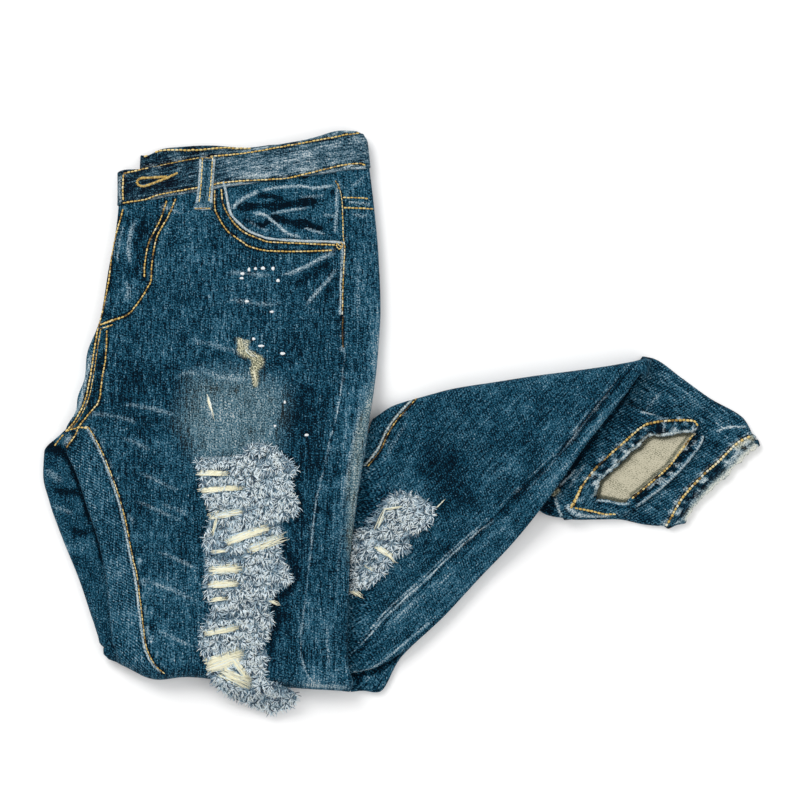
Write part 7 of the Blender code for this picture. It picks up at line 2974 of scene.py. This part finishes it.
    def build(self, ground: HeightMap) -> list[bpy.types.Object]:
        """The mat and its threads.

        Args:
            ground: What it lies on.

        Returns:
            The pieces.
        """
        cloth, mat = self.mat(ground)
        yarn = Threads(f"{self.name}_yarn", YARN).material()
        threads, weft = self.fray(ground).make(yarn), self.bare_weft(ground).make(yarn)
        stand_for(mat, "frayed_threads", self.node)
        stand_for(threads, "frayed_threads")
        stand_for(weft, "weft_threads")
        flat, area = cloth.flat_size()
        return [mat, threads, weft]


SPECKS = (
    (-133.2, 125.6, 1.5, 1.0), (-133.9, 121.8, 1.5, 0.8), (-127.8, 129.0, 1.0, 1.4),
    (-122.3, 129.8, 1.1, 1.0),
    (-116.0, 130.2, 1.6, 1.1), (-107.6, 129.9, 1.2, 1.3), (-103.4, 119.8, 1.4, 1.1),
    (-129.6, 102.4, 1.6, 0.9),
    (-108.6, 93.6, 1.5, 0.8), (-123.9, 70.8, 1.2, 1.0), (-117.8, 64.9, 2.4, 0.8), (-99.6, 58.5, 1.9, 1.0),
    (-97.7, 17.6, 0.9, 1.1), (-106.0, -2.3, 1.0, 0.9), (-79.2, -9.9, 1.8, 0.9),
)


@dataclass
class PaintSpecks:
    """Drops of white paint that dried on the front."""

    drops: tuple[tuple[float, float, float, float], ...] = SPECKS
    height: float = 0.0005

    def build(self, ground: Ground) -> bpy.types.Object:
        """All the drops, joined.

        Args:
            ground: What it lies on.

        Returns:
            The piece.
        """
        rng = np.random.default_rng(111)
        made = []
        for x, y, wide, tall in self.drops:
            bpy.ops.object.select_all(action="DESELECT")
            wide, tall = wide * 1.15, tall * 1.25
            place = (x * MM, y * MM, ground.height(x * MM, y * MM) + 0.0001)
            bpy.ops.mesh.primitive_uv_sphere_add(segments=14, ring_count=8, radius=1.0, location=place)
            drop = bpy.context.object
            drop.scale = (wide * MM, tall * MM, self.height)
            bpy.ops.object.transform_apply(location=True, rotation=False, scale=True)
            for vertex in drop.data.vertices:
                reach = 1 + 0.09 * math.sin(3 * math.atan2(vertex.co.y - place[1],
                                                           vertex.co.x - place[0]) + x)
                vertex.co.x = place[0] + (vertex.co.x - place[0]) * reach
                vertex.co.y = place[1] + (vertex.co.y - place[1]) * reach
                vertex.co.z = max(vertex.co.z, place[2] - 0.0003) + rng.uniform(0, 0.00004)
            made.append(drop)
        for drop in made:
            drop.select_set(True)
        bpy.context.view_layer.objects.active = made[0]
        bpy.ops.object.join()
        specks = bpy.context.object
        specks.name = specks.data.name = "paint_specks"
        bpy.ops.object.transform_apply(location=True, rotation=True, scale=True)
        specks.data.materials.clear()
        specks.data.materials.append(Paint("dried_paint").material())
        specks.data.shade_smooth()
        return stand_for(specks, "paint_specks")


THREAD = ((0.00, dyed(64, 48, 26)), (0.22, dyed(170, 136, 74)), (0.46, dyed(226, 192, 110)),
          (0.75, dyed(246, 226, 168)),
          (1.00, dyed(238, 234, 212)))


@dataclass
class Sewing:
    """All the topstitching, seam by seam."""

    finish: Threads = Threads("topstitch_thread", THREAD, 0.55)

    def thigh_courses(self) -> tuple[Course, ...]:
        """The thigh's rows of stitches.

        Returns:
            The courses.
        """
        return (
            Course(FLY_INNER, 0.40), Course(FLY_OUTER, 0.44), Course(FLY_FOLD, 0.42),
            Course(RISE_OUTER, 0.48), Course(RISE_INNER, 0.46),
            Course(((-253, 82.5), (-247.1, 84.5), (-236, 88.2)), 0.52, thick=0.0007, pitch=0.0026),
            Course(INSEAM, 0.42, 0.24, thick=0.0005),
            Course(OUTSEAM_HIGH, 0.60, 0.24, thick=0.0005, end=0.82),
            Course(shifted(RISE_OUTER[:-2], 2.6, 0.4), 0.34, 0.2, thick=0.00042),
            Course(((-254, 79.2), (-247, 81), (-240, 84)), 0.42),
            Course(((-48.9, 90), (-49.3, 77), (-48.8, 62)), 0.06, 0.05, 0.0022, 0.00052),
            Course(POCKET_INNER, 0.46), Course(POCKET_OUTER, 0.48),
            Course(((-49, 189.6), (-36, 189.3), (-25.3, 188.7)), 0.48),
            Course(((-48.4, 181), (-34, 180.6), (-22.5, 180.1)), 0.48),
            Course(((-52.4, 153), (-54.4, 149.6), (-51.6, 146.2), (-49.2, 149.8), (-52.0, 153)), 0.48, 0.15,
                   0.0018, 0.0006),
            Course(((-54.5, 151.6), (-49.5, 147.4)), 0.45, 0.15, 0.0018, 0.0006),
            Course(((-55.6, 204), (-52.8, 199), (-54.2, 196)), 0.22, 0.1, 0.002, 0.0005),
            Course(((-281.5, -6.5), (-275, -4.6), (-269, -3.6), (-262, -4.6)), 0.5),
        )

    def band_courses(self) -> tuple[Course, ...]:
        """The waistband's rows of stitches, with the buttonhole.

        Returns:
            The courses.
        """
        return (
            Course(BAND_STITCH_TOP, 0.48), Course(BAND_STITCH_LOW, 0.50), Course(BAND_END, 0.44),
            Course(BAND_BEHIND, 0.55, 0.1, 0.0034, 0.00080),
            Course(BUTTONHOLE, 0.44, 0.09, 0.0012, 0.00108),
        )

    def loop_courses(self) -> tuple[Course, ...]:
        """The belt loop's rows of stitches.

        Returns:
            The courses.
        """
        return (
            Course(((-166.6, 223), (-167.6, 205), (-169.6, 184)), 0.55, 0.15, thick=0.00052),
            Course(((-158.2, 223), (-159.4, 205), (-161.6, 184)), 0.55, 0.15, thick=0.00052),
            Course(((-173.4, 180.2), (-159.6, 180.4)), 0.30, 0.12, 0.0022, 0.0005),
            Course(((-168.6, 222.6), (-156.6, 222.9)), 0.30, 0.12, 0.0022, 0.00045),
        )

    def shin_courses(self) -> tuple[Course, ...]:
        """The shin's rows of stitches.

        Returns:
            The courses.
        """
        return (
            Course(SHIN_INSEAM, 0.13, 0.13, thick=0.00052),
        )

    def end_courses(self) -> tuple[Course, ...]:
        """The hems' rows of stitches.

        Returns:
            The courses.
        """
        return (
            Course(HEM_STITCH, 0.62, 0.26, 0.0030, 0.00105),
            Course(MOUTH_STITCH, 0.50, 0.22, 0.0031, 0.00098),
            Course(((142.5, -70), (145.2, -66), (150.5, -55), (154, -50)), 0.52, 0.06, 0.0040, 0.00085),
            Course(MOUTH_LOW_STITCH, 0.50, 0.25, 0.0029, 0.00088),
            Course(MOUTH_UNDER_STITCH, 0.52, 0.14, 0.0032, 0.00085),
        )

    def build(self, parts: dict[str, tuple[tuple[Course, ...], Ground]]) -> list[bpy.types.Object]:
        """Sews each part's courses on its own ground.

        Args:
            parts: Each part's courses and the ground that they lie on.

        Returns:
            The pieces.
        """
        made = []
        for number, (name, (courses, ground)) in enumerate(parts.items()):
            stitching = Topstitching(f"{name}_topstitching", 200 + number)
            for course in courses:
                stitching.sew(course, ground)
            made.append(stand_for(stitching.make(self.finish), "topstitching"))
        return made


@dataclass
class Studio:
    """A plain pale floor, soft light from all round and above, and a camera that looks straight down."""

    middle: Plan = (-0.96, 19.5)
    across: float = 0.672
    lens: float = 250.0
    sensor: float = 36.0

    def floor(self) -> None:
        """The floor."""
        bpy.ops.object.select_all(action="DESELECT")
        bpy.ops.mesh.primitive_plane_add(size=6.0, location=(0, 0, -0.0004))
        floor = bpy.context.object
        floor.name = "floor"
        nodes = Nodes("pale_floor", 0.9)
        cloudy = nodes.noise(nodes.place(), (0.8, 0.8, 0.8), 1.0)
        colour = nodes.ramp(cloudy, ((0.2, (0.93, 0.93, 0.93, 1.0)), (0.8, (0.96, 0.96, 0.96, 1.0))))
        nodes.join(colour, nodes.shader.inputs["Base Color"])
        floor.data.materials.append(nodes.material)

    def light(self, name: str, place: tuple[float, float, float], size: float, power: float) -> None:
        """A large soft light that faces the jeans.

        Args:
            name: Its name.
            place: Where it hangs.
            size: The length of its side.
            power: Its power, in watts.
        """
        data = bpy.data.lights.new(name, "AREA")
        data.shape, data.size, data.energy = "SQUARE", size, power
        lamp = bpy.data.objects.new(name, data)
        lamp.location = place
        lamp.rotation_euler = (-Vector(place)).to_track_quat("-Z", "Y").to_euler()
        bpy.context.scene.collection.objects.link(lamp)

    def build(self) -> None:
        """Sets the floor, the lights and the camera."""
        scene = bpy.context.scene
        self.floor()
        world = bpy.data.worlds.new("studio")
        world.use_nodes = True
        world.node_tree.nodes["Background"].inputs["Color"].default_value = (1.0, 1.0, 1.0, 1.0)
        world.node_tree.nodes["Background"].inputs["Strength"].default_value = 0.74
        scene.world = world
        self.light("key_light", (-1.1, 1.5, 2.0), 1.5, 44.0)
        self.light("fill_light", (1.6, -0.6, 2.2), 2.2, 14.0)
        camera = bpy.data.objects.new("camera", bpy.data.cameras.new("camera"))
        camera.data.sensor_width, camera.data.lens = self.sensor, self.lens
        distance = self.across * self.lens / self.sensor
        camera.location = (self.middle[0] * MM, self.middle[1] * MM, distance + 0.014)
        camera.data.clip_end = 50
        scene.collection.objects.link(camera)
        scene.camera = camera
        scene.view_settings.view_transform = "Standard"


def main() -> None:
    """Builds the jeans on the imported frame, then the studio."""
    logging.basicConfig(level=logging.INFO, format="%(message)s")
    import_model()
    thigh = Thigh()
    upper = thigh.build()
    waist = Waist(thigh.stack)
    bands = [waist.band(True), waist.band(False)]
    loop = waist.belt_loop(Ground([bands[0], upper[0]]))
    lip = waist.pocket_lip(Ground([upper[0], bands[0]]))
    lower = Shin().build()
    ends = LegEnds().build()
    leg = Ground(upper[:7])
    Sewing().build({
        "thigh": (Sewing().thigh_courses(), leg), "waistband": (Sewing().band_courses(), Ground(bands)),
        "belt_loop": (Sewing().loop_courses(), Ground([loop])),
        "shin": (Sewing().shin_courses(), Ground(lower[:4])),
        "hems": (Sewing().end_courses(), Ground(ends)),
    })
    PaintSpecks().build(leg)
    fold = Section(THIGH_ROWS[FOLD], 0.0, KNEE_REACH, 0.0).upper
    crease = fold.at(np.linspace(0, fold.length, 40), KNEE_REACH) + MODEL_SHIFT
    hanging = ((-158, -217.2), (-147.1, -227.4), (-126.1, -237.5), (-106.8, -244.5), (-95, -241.0),
               (-86.6, -234.1),
               (-87.2, -226.2), (-96.7, -220.4))
    left = Tear("left_knee_fringe", "left_knee_fringe",
                jagged(RIP_LEFT + hanging + RIP_RIGHT[::-1], 0.9, 120),
                (0.0, -1.0), LEFT_WEFT, LEFT_GAPS, 121, ("left_front_cloth",), LEFT_SCUFFS, drop=crease)
    left.build(HeightMap(Ground([upper[0]]), (-180, -250), (-80, 80)))
    right = Tear("right_knee_fringe", "right_knee_fringe", jagged(RIGHT_RIP, 0.9, 130), (-0.69, -0.724),
                 RIGHT_WEFT, RIGHT_GAPS, 131, ("right_front_shin_cloth",))
    right.build(HeightMap(Ground(lower[:2]), (-50, -155), (36, -50)))
    LOG.info("pocket edge %s, %d leg end pieces", lip.name, len(ends))
    Studio().build()


if __name__ == "__main__":
    main()
